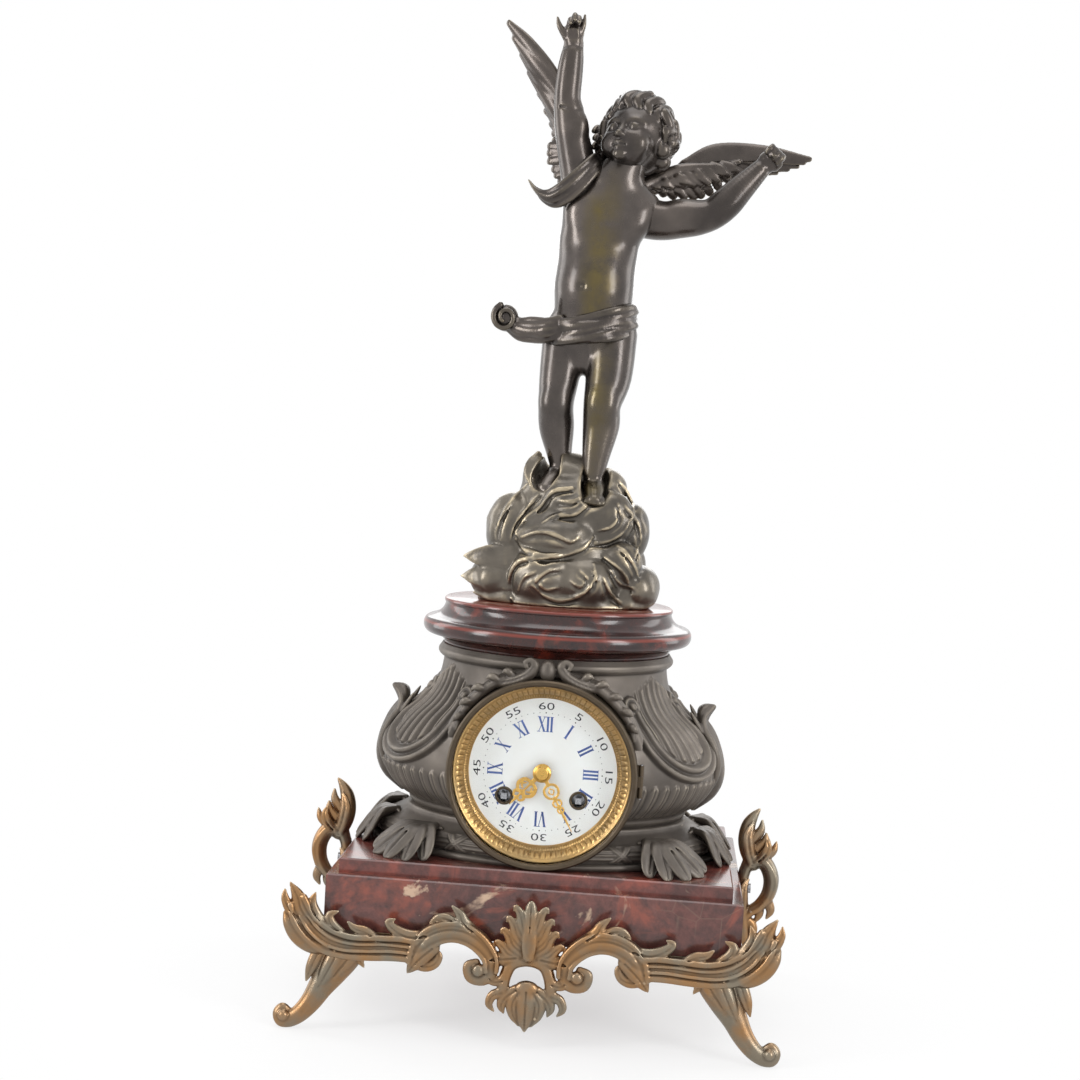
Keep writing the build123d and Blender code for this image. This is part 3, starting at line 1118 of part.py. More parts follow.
CRUTCH_Y = PLATE_BACK_REAR + 2.5
CRUTCH_Z = PALLET[1] - CRUTCH_LENGTH
ANCHOR = [
    (6.6, -6.2), (7.8, -5.6), (5.6, 0.6), (0, 2.4), (-5.6, 0.6), (-7.8, -5.6), (-6.6, -6.2), (-4.2, -1.2),
    (0, -0.8), (4.2, -1.2),
]
with BuildPart() as pallet_verge:
    bar(PALLET[0], PALLET[1], PLATE_FRONT, COCK_BACK, PIVOT_RADIUS)
    bar(PALLET[0], PALLET[1], PLATE_FRONT_BACK + SHOULDER_GAP, COCK_FRONT - SHOULDER_GAP, HAMMER_ARBOR)
    with BuildSketch(facing(PALLET[0], ESCAPE_LEVEL + 2.0, PALLET[1])):
        with BuildLine():
            Polyline(*ANCHOR, close=True)
        make_face()
    extrude(amount=2.8)
    block((-1.2, CRUTCH_Y, CRUTCH_Z - 2), (1.2, CRUTCH_Y + 1.4, PALLET[1] + 1.5))
    block((-2.6, CRUTCH_Y, CRUTCH_Z - 2), (2.6, PENDULUM_Y + 2.5, CRUTCH_Z + 2))
    post(0, PENDULUM_Y, CRUTCH_Z - 2, CRUTCH_Z + 2, ROD_RADIUS + PIVOT_CLEARANCE, Mode.SUBTRACT)
write(pallet_verge.part, "pallet_verge")

BOB_Z = PALLET[1] - PENDULUM_LENGTH
ROD_TOP = PALLET[1] - 6.0
with BuildPart() as pendulum_rod:
    post(0, PENDULUM_Y, BOB_Z - BOB_RADIUS - 4.0, ROD_TOP, ROD_RADIUS)
    block((-2.2, PENDULUM_Y - 0.15, ROD_TOP - 1), (2.2, PENDULUM_Y + 0.15, PALLET[1] + 1 - SHOULDER_GAP))
write(pendulum_rod.part, "pendulum_rod")

ROD_HOLE = ROD_RADIUS + PIVOT_CLEARANCE
RATING_TOP = BOB_Z - BOB_RADIUS - PLATE_GAP
RATING_HEIGHT = 2.8
RATING_RADIUS = 3.5
BOB_RIM = 0.6
BOB_SWELL = (BOB_RADIUS * 0.55, BOB_THICKNESS * 0.4)
with BuildPart() as pendulum_bob:
    with BuildSketch(Plane(origin=(0, PENDULUM_Y, BOB_Z), x_dir=(1, 0, 0), z_dir=(0, 0, 1))):
        with BuildLine():
            ThreePointArc((0, -BOB_THICKNESS / 2), (BOB_SWELL[0], -BOB_SWELL[1]), (BOB_RADIUS, -BOB_RIM))
            Line((BOB_RADIUS, -BOB_RIM), (BOB_RADIUS, BOB_RIM))
            ThreePointArc((BOB_RADIUS, BOB_RIM), BOB_SWELL, (0, BOB_THICKNESS / 2))
            Line((0, BOB_THICKNESS / 2), (0, -BOB_THICKNESS / 2))
        make_face()
    revolve(axis=Axis((0, PENDULUM_Y, BOB_Z), (0, 1, 0)))
    post(0, PENDULUM_Y, BOB_Z - 2 * BOB_RADIUS, BOB_Z + 2 * BOB_RADIUS, ROD_HOLE, Mode.SUBTRACT)
write(pendulum_bob.part, "pendulum_bob")

with BuildPart() as rating_nut:
    post(0, PENDULUM_Y, RATING_TOP - RATING_HEIGHT, RATING_TOP, RATING_RADIUS)
    post(0, PENDULUM_Y, RATING_TOP - RATING_HEIGHT, RATING_TOP, ROD_HOLE, Mode.SUBTRACT)
write(rating_nut.part, "rating_nut")

# Rear bezel and its domed cover
REAR_PROFILE = [
    (BEZEL_RADIUS, DRUM_REACH), (BEZEL_RADIUS, REAR_FACE), (REAR_OPENING, REAR_FACE),
    (REAR_OPENING, DRUM_REACH - REAR_SLEEVE), (SLEEVE_OUTER, DRUM_REACH - REAR_SLEEVE),
    (SLEEVE_OUTER, DRUM_REACH),
]
with BuildPart() as rear_bezel:
    add(ring_of(REAR_PROFILE, DIAL_AXIS))
    for low, high in OUTER_KNUCKLES:
        knuckle(REAR_HINGE_Y, low, high, REAR_FACE - KNUCKLE_ARM, REAR_FACE, ARM_START)
    for x, rise in REAR_SCREWS:
        bar(x, DIAL_Z + rise, DRUM_REACH, REAR_FACE, REAR_SCREW + FASTENER_GAP, Mode.SUBTRACT)
write(rear_bezel.part, "rear_bezel")

with BuildPart() as rear_bezel_screws:
    for x, rise in REAR_SCREWS:
        bar(x, DIAL_Z + rise, DRUM_REACH - SCREW_DEPTH, REAR_FACE, REAR_SCREW)
        bar(x, DIAL_Z + rise, REAR_FACE, REAR_FACE + 1.2, REAR_SCREW + 0.6)
write(rear_bezel_screws.part, "rear_bezel_screws")

COVER_BACK = REAR_FACE + DOOR_GAP
COVER_PROFILE = [
    (0, COVER_BACK + 5.7), (30, COVER_BACK + 4.7), (45, COVER_BACK + 2.2), (COVER_RADIUS, COVER_BACK + 1.7),
    (COVER_RADIUS, COVER_BACK), (44, COVER_BACK), (30, COVER_BACK + 3.1), (0, COVER_BACK + 4.1),
]
KNOB_X = -40.0
KNOB_RADIUS = 2.6
KNOB_REACH = 7.5
with BuildPart() as rear_cover:
    add(ring_of(COVER_PROFILE, DIAL_AXIS))
    half = KNUCKLE_LENGTH / 2
    knuckle(REAR_HINGE_Y, -half, half, COVER_BACK, COVER_BACK + KNUCKLE_ARM, COVER_RADIUS - 2)
    bar(KNOB_X, DIAL_Z, COVER_BACK + 2.4, COVER_BACK + KNOB_REACH, KNOB_RADIUS)
write(rear_cover.part, "rear_cover")

# Bronzed winged child on its cloud; heights are measured from the top of the plinth
TORSO = [
    (9, 2, 147, 17, 14), (9.5, 2, 163, 25, 20), (11.5, -2, 185, 24, 20), (12, 0, 203, 23, 18),
    (14.5, 1, 223, 24.5, 18), (17, 2, 239, 21, 15), (20.5, 2, 249, 10.5, 10), (25, 0, 261, 8.5, 9),
]
RIGHT_LEG = [
    (-3, 3, 159, 15, 15), (-4.5, 0, 137, 12, 12.5), (-6, -2, 116, 9.3, 9.6), (-6.5, 1, 101, 9.2, 9.4),
    (-8, 1, 77, 5.8, 6.2),
]
LEFT_LEG = [
    (20, 1, 159, 15, 15), (20.5, -4, 137, 12.8, 13), (20, -9, 116, 9.4, 9.8), (19.5, -7, 101, 9.6, 9.6),
    (17.5, -8, 75, 6, 6.4),
]
RIGHT_FOOT = [(-8, 6, 73, 6, 5), (-10, -3, 72, 6.5, 5), (-12, -13, 69, 6, 3.2)]
LEFT_FOOT = [(17, -3, 72, 6, 5), (16.5, -12, 70, 6.5, 5), (16, -23, 65, 6, 3.2)]
HIP_SASH = (9.5, 1, 160)
HIP_SASH_WIDTH = 28.5
HIP_SASH_DEPTH = 23.5
HIP_SASH_HEIGHT = 9.0
HIP_SASH_TILT = 0.14
SASH_TAIL = [
    (-12, -8, 161, 4.5, 4), (-28, -6, 158, 4.5, 3.5), (-40, -2, 164, 4.5, 3.8), (-45, 0, 170, 5.5, 5),
]
SCARF = [
    (-28, -5, 235.5, 1.5, 1.2), (-18, -10, 231, 4.5, 3), (-6, -12, 233, 5, 3.5), (8, -9, 240, 4.5, 3.5),
]
HEAD = (29.5, -1, 277)
HEAD_RADIUS = 20.5
JAW = (25.0, -8, 264)
JAW_RADIUS = 13.0
HAIR = (31.0, 2, 278)
HAIR_RADIUS = 22.0
RIGHT_ARM = [
    (4, 3, 233, 10, 10), (-3, 3, 245, 10.5, 10), (-6.5, 2, 263, 9.2, 9), (-9.5, 1, 287, 7.6, 7.6),
    (-10.3, 0, 306, 7.2, 7.2), (-11, 0, 323, 4.6, 4.4), (-11.5, -1, 331, 6, 3), (-12, -1, 337, 6.5, 2.4),
    (-12.5, -1, 344, 4, 1.4),
]
LEFT_ARM = [
    (24, 2, 233, 12, 11), (38, 2, 231, 10.5, 10), (54, -1, 227, 9, 9), (73.5, -4, 229, 7.4, 7.4),
    (87, -4, 242, 7, 7), (99, -3, 254, 4.6, 4.6), (105.5, -2, 262, 6.5, 6.5), (110.5, -2, 268, 3.5, 3.5),
]
RIGHT_WING = [
    (2, 10, 240, 4, 5), (-13, 18, 252, 5.5, 12), (-24, 24, 276, 6.5, 18), (-36, 26, 303, 6.5, 17),
    (-46, 24, 327, 5, 10), (-52, 21, 340, 2, 3),
]
LEFT_WING = [
    (22, 8, 239, 4, 5), (44, 19, 251, 4.5, 13), (68, 24, 264, 4.5, 17), (93, 25, 268, 4.5, 15),
    (116, 22, 269, 3.5, 10), (131, 20, 270.5, 1.5, 2.5),
]
CLOUD_CORE = [(0, 46, 33), (14, 42, 31), (30, 35, 27), (50, 28, 22), (73, 20, 18)]
CLOUD_HOLLOW = [(-1, 37, 25), (20, 31, 21), (44, 19, 14)]
CLOUD_BANKS = [
    (-3, -25, 14, 25, 14, 13), (-3, -20, 39, 23, 15, 9), (26, -13, 47, 15, 12, 14), (40, -8, 14, 15, 18, 15),
    (38, 4, 42, 9, 12, 14), (-27, -8, 38, 13, 15, 20), (-38, -10, 11, 17, 16, 12), (-18, 3, 72, 8, 9, 13),
    (2, -13, 60, 14, 10, 8), (16, -15, 54, 13, 12, 10), (24, 3, 64, 10, 12, 11), (0, 23, 19, 27, 14, 18),
    (-27, 17, 21, 19, 17, 20), (28, 18, 23, 19, 17, 20), (3, 16, 51, 20, 14, 16),
]
CLOUD_BOSS = 8.0
NUT_HEIGHT = 4.0
NUT_SIZE = 5.0
NUT_TOP = DIAL_Z + math.sqrt(DRUM_BORE**2 - NUT_SIZE**2) - FASTENER_GAP


def body_limb(stations, across=(0, 1, 0), start=None, end=None):
    """A limb through (x, y, height, half width, half depth) stations above the plinth."""
    raised = [((x, y, CLOUD_Z + height), width, depth) for x, y, height, width, depth in stations]
    return limb(raised, across, start, end)


def lobe(x, y, height, radius):
    """A ball at a height above the plinth, in the part being built."""
    with Locations((x, y, CLOUD_Z + height)):
        Sphere(radius)


def bank(x, y, height, width, depth, rise):
    """A rolled bank of cloud: a ball drawn out to its own half width, half depth and half height."""
    with BuildPart() as roll:
        Sphere(1)
        scale(by=(width, depth, rise))
    return Pos(x, y, CLOUD_Z + height) * roll.part


with BuildPart() as figure_body:
    add(body_limb(TORSO, start=(0, 0, 1)))
    add(body_limb(RIGHT_LEG, start=(0, 0, -1), end=(0, 0, -1)))
    add(body_limb(LEFT_LEG, start=(0, 0, -1), end=(0, 0, -1)))
    add(body_limb(RIGHT_FOOT, across=(0, 0, 1)))
    add(body_limb(LEFT_FOOT, across=(0, 0, 1)))
    hip = (HIP_SASH[0], HIP_SASH[1], CLOUD_Z + HIP_SASH[2])
    with BuildSketch(Plane(origin=hip, x_dir=(1, 0, -HIP_SASH_TILT), z_dir=(HIP_SASH_TILT, 0, 1))):
        Ellipse(HIP_SASH_WIDTH, HIP_SASH_DEPTH)
    extrude(amount=HIP_SASH_HEIGHT)
    add(body_limb(SASH_TAIL))
    add(body_limb(SCARF))
    lobe(*HEAD, HEAD_RADIUS)
    lobe(*JAW, JAW_RADIUS)
    lobe(*HAIR, HAIR_RADIUS)
write(figure_body.part, "figure_body")

with BuildPart() as figure_right_arm:
    add(body_limb(RIGHT_ARM, start=(-0.6, 0, 0.8), end=(0, 0, 1)))
    add(figure_body.part, mode=Mode.SUBTRACT)
write(figure_right_arm.part, "figure_right_arm")

with BuildPart() as figure_left_arm:
    add(body_limb(LEFT_ARM, start=(1, 0, 0)))
    add(figure_body.part, mode=Mode.SUBTRACT)
write(figure_left_arm.part, "figure_left_arm")

with BuildPart() as figure_right_wing:
    add(body_limb(RIGHT_WING))
    add(figure_body.part, mode=Mode.SUBTRACT)
    add(figure_right_arm.part, mode=Mode.SUBTRACT)
write(figure_right_wing.part, "figure_right_wing")

with BuildPart() as figure_left_wing:
    add(body_limb(LEFT_WING, across=(0, 0.7, -0.7)))
    add(figure_body.part, mode=Mode.SUBTRACT)
    add(figure_left_arm.part, mode=Mode.SUBTRACT)
write(figure_left_wing.part, "figure_left_wing")

with BuildPart() as cloud_mound:
    add(oval_stack(CLOUD_CORE, CLOUD_Z))
    for roll in CLOUD_BANKS:
        add(bank(*roll))
    block((-PLINTH_FLANGE, -PLINTH_FLANGE, PLINTH_Z), (PLINTH_FLANGE, PLINTH_FLANGE, CLOUD_Z), Mode.SUBTRACT)
    add(oval_stack(CLOUD_HOLLOW, CLOUD_Z), mode=Mode.SUBTRACT)
    post(0, 0, CLOUD_Z, CLOUD_Z + CLOUD_HOLLOW[-1][0] + 2, CLOUD_BOSS)
    post(0, 0, CLOUD_Z, CLOUD_Z + STUD_GRIP, STUD_RADIUS + FASTENER_GAP, Mode.SUBTRACT)
    add(figure_body.part, mode=Mode.SUBTRACT)
write(cloud_mound.part, "cloud_mound")

# Stud from the cloud through the plinth and the case top, with its nut inside the drum
with BuildPart() as figure_fixing:
    post(0, 0, NUT_TOP - NUT_HEIGHT - 1.5, CLOUD_Z + STUD_GRIP - FASTENER_GAP, STUD_RADIUS)
    with BuildSketch(Plane.XY.offset(NUT_TOP - NUT_HEIGHT)):
        RegularPolygon(NUT_SIZE, 6)
        Circle(STUD_RADIUS + FASTENER_GAP, mode=Mode.SUBTRACT)
    extrude(amount=NUT_HEIGHT)
write(figure_fixing.part, "figure_fixing")
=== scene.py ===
import json
import math

import bpy
import numpy as np
from mathutils import Matrix, Vector


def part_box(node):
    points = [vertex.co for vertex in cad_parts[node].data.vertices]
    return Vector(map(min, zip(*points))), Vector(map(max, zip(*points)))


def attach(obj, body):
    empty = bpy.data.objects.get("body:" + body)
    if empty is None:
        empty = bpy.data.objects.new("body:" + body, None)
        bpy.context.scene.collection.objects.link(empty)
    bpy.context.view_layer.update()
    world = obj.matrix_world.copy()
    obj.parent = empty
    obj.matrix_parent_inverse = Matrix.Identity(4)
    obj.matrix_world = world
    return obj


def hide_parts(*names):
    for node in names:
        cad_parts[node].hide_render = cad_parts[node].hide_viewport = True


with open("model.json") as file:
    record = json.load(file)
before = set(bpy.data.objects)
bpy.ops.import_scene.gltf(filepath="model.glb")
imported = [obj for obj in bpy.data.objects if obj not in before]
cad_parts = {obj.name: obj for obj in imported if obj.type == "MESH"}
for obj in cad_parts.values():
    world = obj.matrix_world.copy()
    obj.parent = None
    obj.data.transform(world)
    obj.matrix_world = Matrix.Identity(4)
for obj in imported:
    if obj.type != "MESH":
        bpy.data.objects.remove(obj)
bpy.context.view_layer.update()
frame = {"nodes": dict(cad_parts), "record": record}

# Shapes are worked out in millimetres in the frame of the model and stored in metres.
MM = 0.001
CASE = "clock_case"


def node_box(node):
    """Lowest and highest corner of a CAD node in millimetres."""
    low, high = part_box(node)
    return np.array(low) / MM, np.array(high) / MM


PLINTH_LOW, PLINTH_HIGH = node_box("marble_plinth")
DOOR_LOW, DOOR_HIGH = node_box("bezel_door")
DIAL_LOW, DIAL_HIGH = node_box("dial")
SOCLE_Z = node_box("case_socle")[0][2]
REAR_Y = node_box("rear_bezel")[1][1]
PLINTH_Z = PLINTH_LOW[2]
CLOUD_Z = PLINTH_HIGH[2]
DIAL_Z = (DIAL_LOW[2] + DIAL_HIGH[2]) / 2
BEZEL_RADIUS = (DOOR_HIGH[2] - DOOR_LOW[2]) / 2
DRUM_REACH = 63.0


# Shaping tools


def unit(vector):
    """The vector at length one."""
    vector = np.asarray(vector, float)
    return vector / np.linalg.norm(vector)


def curve(points, steps=6):
    """A smooth path through points; every column is carried along, so radii may ride in the points."""
    points = np.asarray(points, float)
    padded = np.vstack([2 * points[0] - points[1], points, 2 * points[-1] - points[-2]])
    path = []
    for i in range(len(points) - 1):
        a, b, c, d = padded[i : i + 4]
        for t in np.arange(steps) / steps:
            bend, twist = 2 * a - 5 * b + 4 * c - d, 3 * b - a - 3 * c + d
            path.append(0.5 * (2 * b + (c - a) * t + bend * t**2 + twist * t**3))
    path.append(points[-1])
    return np.array(path)


def ramp(value):
    """The value held between nothing and one."""
    return np.clip(value, 0, 1)


def hump(away, width, power=2):
    """One at the middle, falling off past the width, the steeper the higher the power."""
    return np.exp(-((away / width) ** power))


def full_circle(steps):
    """Evenly spaced angles of one turn."""
    return np.arange(steps) * 2 * math.pi / steps


def melt(a, b, blend):
    """Smooth smaller value of two distance fields."""
    share = ramp(0.5 + 0.5 * (b - a) / blend)
    return b + (a - b) * share - blend * share * (1 - share)


FAR = 50.0
SMOOTHING = 2
RIPPLE_WAVES = 9


class Clay:
    """A block of small cells that rounded shapes are pressed onto or carved out of."""

    def __init__(self, low, high, cell):
        self.low = np.asarray(low, float)
        self.cell = cell
        self.shape = np.ceil((np.asarray(high, float) - self.low) / cell).astype(int) + 1
        self.field = np.full(self.shape, FAR, np.float32)

    def press(self, low, high, distance, blend, carve):
        """Blend a distance function into the cells of a box."""
        margin = blend + 2 * self.cell
        first = np.floor((np.asarray(low) - margin - self.low) / self.cell).astype(int)
        last = np.ceil((np.asarray(high) + margin - self.low) / self.cell).astype(int) + 1
        first, last = np.clip(first, 0, self.shape), np.clip(last, 0, self.shape)
        if np.any(last <= first):
            return
        window = tuple(slice(a, b) for a, b in zip(first, last))
        axes = [self.low[k] + self.cell * np.arange(first[k], last[k]) for k in range(3)]
        place = np.stack(np.meshgrid(*axes, indexing="ij"), -1).astype(np.float32)
        amount = distance(place).astype(np.float32)
        if carve:
            self.field[window] = -melt(-self.field[window], amount, blend)
        else:
            self.field[window] = melt(self.field[window], amount, blend)

    def ball(self, centre, radii, blend=2.0, turn=None, carve=False):
        """An ellipsoid; turn is a matrix whose columns are its own axes."""
        centre = np.asarray(centre, np.float32)
        radii = np.broadcast_to(np.asarray(radii, np.float32), 3)
        axes = np.eye(3, dtype=np.float32) if turn is None else np.asarray(turn, np.float32)

        def distance(place):
            local = (place - centre) @ axes / radii
            reach = np.linalg.norm(local, axis=-1)
            return reach * (reach - 1) / np.maximum(np.linalg.norm(local / radii, axis=-1), 1e-6)

        size = radii.max()
        self.press(centre - size, centre + size, distance, blend, carve)

    def rope(self, points, radii, blend=1.5, flat=None, thin=1.0, carve=False, steps=6):
        """A tapering rope through points; with flat it is thinned along that direction."""
        points = np.asarray(points, float)
        radii = np.broadcast_to(np.asarray(radii, float), len(points))
        path = curve(np.column_stack([points, radii]), steps).astype(np.float32)
        stretch = np.eye(3, dtype=np.float32)
        if flat is not None:
            stretch += (np.outer(unit(flat), unit(flat)) * (1 / thin - 1)).astype(np.float32)
        line = path[:, :3] @ stretch

        def distance(place):
            place = place @ stretch
            best = np.full(place.shape[:-1], FAR, np.float32)
            for k in range(len(line) - 1):
                along = line[k + 1] - line[k]
                span = max(float(along @ along), 1e-9)
                share = ramp((place - line[k]) @ along / span)
                away = place - line[k] - share[..., None] * along
                radius = path[k, 3] + share * (path[k + 1, 3] - path[k, 3])
                best = np.minimum(best, np.linalg.norm(away, axis=-1) - radius)
            return best

        size = path[:, 3].max()
        self.press(path[:, :3].min(0) - size, path[:, :3].max(0) + size, distance, blend, carve)

    def ripple(self, height, length, seed):
        """An uneven cast skin: crossed waves of about one length, as high as given."""
        seeds = np.random.default_rng(seed)
        axes = [self.low[k] + self.cell * np.arange(self.shape[k]) for k in range(3)]
        place = np.stack(np.meshgrid(*axes, indexing="ij"), -1).astype(np.float32)
        total = np.zeros(self.shape, np.float32)
        for _ in range(RIPPLE_WAVES):
            way = unit(seeds.normal(size=3)) * 2 * math.pi / (length * seeds.uniform(0.7, 1.5))
            total += np.sin(place @ way.astype(np.float32) + seeds.uniform(0, 6.28))
        self.field += height * total / 3

    def face_off(self, axis, limit, side):
        """A flat face: nothing is left past the limit along an axis, below it for side -1, above it for 1."""
        line = self.low[axis] + self.cell * np.arange(self.shape[axis])
        spread = [-1 if k == axis else 1 for k in range(3)]
        self.field = np.maximum(self.field, (side * (line - limit)).astype(np.float32).reshape(spread))

    def leaf(self, points, radii, normal, thin=0.65, blend=0.6):
        """A fat leaf along a path, with a cut midrib on the side that the normal points to."""
        points, radii = np.asarray(points, float), np.asarray(radii, float)
        self.rope(points, radii, blend, normal, thin)
        rib = points + unit(normal) * (thin * radii[:, None] + 0.1)
        self.rope(rib, 0.12 * radii + 0.25, 0.6, carve=True)

    def drape(self, path, facing):
        """Points of an (x, z) path where it meets the shape's front, for facing -1, or back, for 1."""
        points = []
        for x, z in path:
            column = self.field[round((x - self.low[0]) / self.cell), :, round((z - self.low[2]) / self.cell)]
            solid = np.flatnonzero(column < 0)
            if len(solid):
                points.append((x, self.low[1] + self.cell * (solid[0] if facing < 0 else solid[-1]), z))
        return np.array(points)

    def crossings(self, cells):
        """For each cell, the middle of the points where the field changes sign along its edges."""
        field = self.field
        total = np.zeros((len(cells), 3))
        count = np.zeros(len(cells))
        for axis in range(3):
            others = [k for k in range(3) if k != axis]
            for p in (0, 1):
                for q in (0, 1):
                    base = cells.copy()
                    base[:, others[0]] += p
                    base[:, others[1]] += q
                    ahead = base.copy()
                    ahead[:, axis] += 1
                    a = field[tuple(base.T)]
                    b = field[tuple(ahead.T)]
                    hit = (a < 0) != (b < 0)
                    point = base[hit].astype(float)
                    point[:, axis] += a[hit] / (a[hit] - b[hit])
                    total[hit] += point
                    count[hit] += 1
        return self.low + self.cell * total / count[:, None]

    def skin(self):
        """Corner places and quads of the smoothed surface where the field changes sign."""
        inside = self.field < 0
        counts = np.zeros(np.array(inside.shape) - 1, np.int8)
        halves = [slice(0, -1), slice(1, None)]
        for corner in np.ndindex(2, 2, 2):
            counts += inside[tuple(halves[k] for k in corner)]
        cells = np.argwhere((counts > 0) & (counts < 8))
        number = np.full(counts.shape, -1, np.int32)
        number[tuple(cells.T)] = np.arange(len(cells))
        quads = []
        for axis in range(3):
            u, v = [(1, 2), (2, 0), (0, 1)][axis]
            near = np.moveaxis(inside, axis, 0)
            edges = np.argwhere(np.moveaxis(near[:-1] != near[1:], 0, axis))
            keep = (edges[:, u] > 0) & (edges[:, v] > 0)
            keep &= (edges[:, u] < inside.shape[u] - 1) & (edges[:, v] < inside.shape[v] - 1)
            edges = edges[keep]
            ring = []
            for du, dv in ((1, 1), (0, 1), (0, 0), (1, 0)):
                cell = edges.copy()
                cell[:, u] -= du
                cell[:, v] -= dv
                ring.append(number[tuple(cell.T)])
            ring = np.stack(ring, 1)
            out = inside[tuple(edges.T)]
            ring[~out] = ring[~out][:, ::-1]
            quads.append(ring)
        quads = np.vstack(quads)
        return smoothed(self.crossings(cells), quads), quads


def smoothed(places, quads):
    """Places moved half way to the middle of their neighbours, a few times over."""
    ends = np.vstack([quads[:, [k, (k + 1) % 4]] for k in range(4)])
    ends = np.vstack([ends, ends[:, ::-1]])
    valence = np.maximum(np.bincount(ends[:, 0], minlength=len(places)), 1)
    for _ in range(SMOOTHING):
        sums = [np.bincount(ends[:, 0], places[ends[:, 1], k], len(places)) / valence for k in range(3)]
        places = 0.5 * (places + np.stack(sums, 1))
    return places


def build_mesh(name, places, faces):
    """A mesh object from corner places in millimetres and an array of equal-sided faces."""
    places = np.asarray(places, float)
    faces = np.asarray(faces, np.int32)
    sides = faces.shape[1]
    mesh = bpy.data.meshes.new(name)
    mesh.vertices.add(len(places))
    mesh.vertices.foreach_set("co", (places * MM).astype(np.float32).ravel())
    mesh.loops.add(faces.size)
    mesh.loops.foreach_set("vertex_index", faces.ravel())
    mesh.polygons.add(len(faces))
    mesh.polygons.foreach_set("loop_start", np.arange(0, faces.size, sides, dtype=np.int32))
    mesh.update(calc_edges=True)
    mesh.validate()
    item = bpy.data.objects.new(name, mesh)
    bpy.context.scene.collection.objects.link(item)
    return item


def piece(name, shape, look, body=CASE, replaces=(), smooth=True):
    """A finished piece: mesh, material, the body it rides on and the CAD nodes it stands for."""
    item = build_mesh(name, *shape)
    item.data.materials.append(look)
    item.data.polygons.foreach_set("use_smooth", np.full(len(item.data.polygons), smooth))
    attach(item, body)
    if replaces:
        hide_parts(*replaces)
    return item


def mirrored(shape, signs):
    """A shape reflected in one or two axes, faces kept outward."""
    places, faces = shape
    flipped = np.prod(signs) < 0
    return places * np.array(signs), faces[:, ::-1] if flipped else faces


def signed(points, signs):
    """Points multiplied by a sign for each axis."""
    return np.asarray(points, float) * signs


def upright(points):
    """Points of the plane y = 0 from (x, z) pairs."""
    return [(x, 0, z) for x, z in points]


def joined(*shapes):
    """Several shapes of equal-sided faces as one."""
    places, faces, count = [], [], 0
    for points, polygons in shapes:
        places.append(points)
        faces.append(polygons + count)
        count += len(points)
    return np.vstack(places), np.vstack(faces)


def turned(profile, place, steps=160, closed=True):
    """A profile of (radius, height) corners swept round; place maps radius, height and angle to a point."""
    profile = np.asarray(profile, float)
    angles = full_circle(steps)
    radius, angle = np.meshgrid(profile[:, 0], angles)
    height = np.meshgrid(profile[:, 1], angles)[0]
    places = np.stack(place(radius, height, angle), -1).reshape(-1, 3)
    rows = len(profile)
    count = rows if closed else rows - 1
    step, row = np.meshgrid(np.arange(steps), np.arange(count), indexing="ij")
    near, far = step * rows, (step + 1) % steps * rows
    after = (row + 1) % rows
    return places, np.stack([near + row, far + row, far + after, near + after], -1).reshape(-1, 4)


def about_dial(radius, depth, angle):
    """Ring coordinates round the dial's axis."""
    return radius * np.cos(angle), depth, DIAL_Z + radius * np.sin(angle)


def grid_faces(columns, rows, wrap=True):
    """Quads of a grid stored column by column."""
    last = columns if wrap else columns - 1
    step, row = np.meshgrid(np.arange(last), np.arange(rows - 1), indexing="ij")
    near, far = step * rows + row, (step + 1) % columns * rows + row
    return np.stack([near, far, far + 1, near + 1], -1).reshape(-1, 4)


# Materials


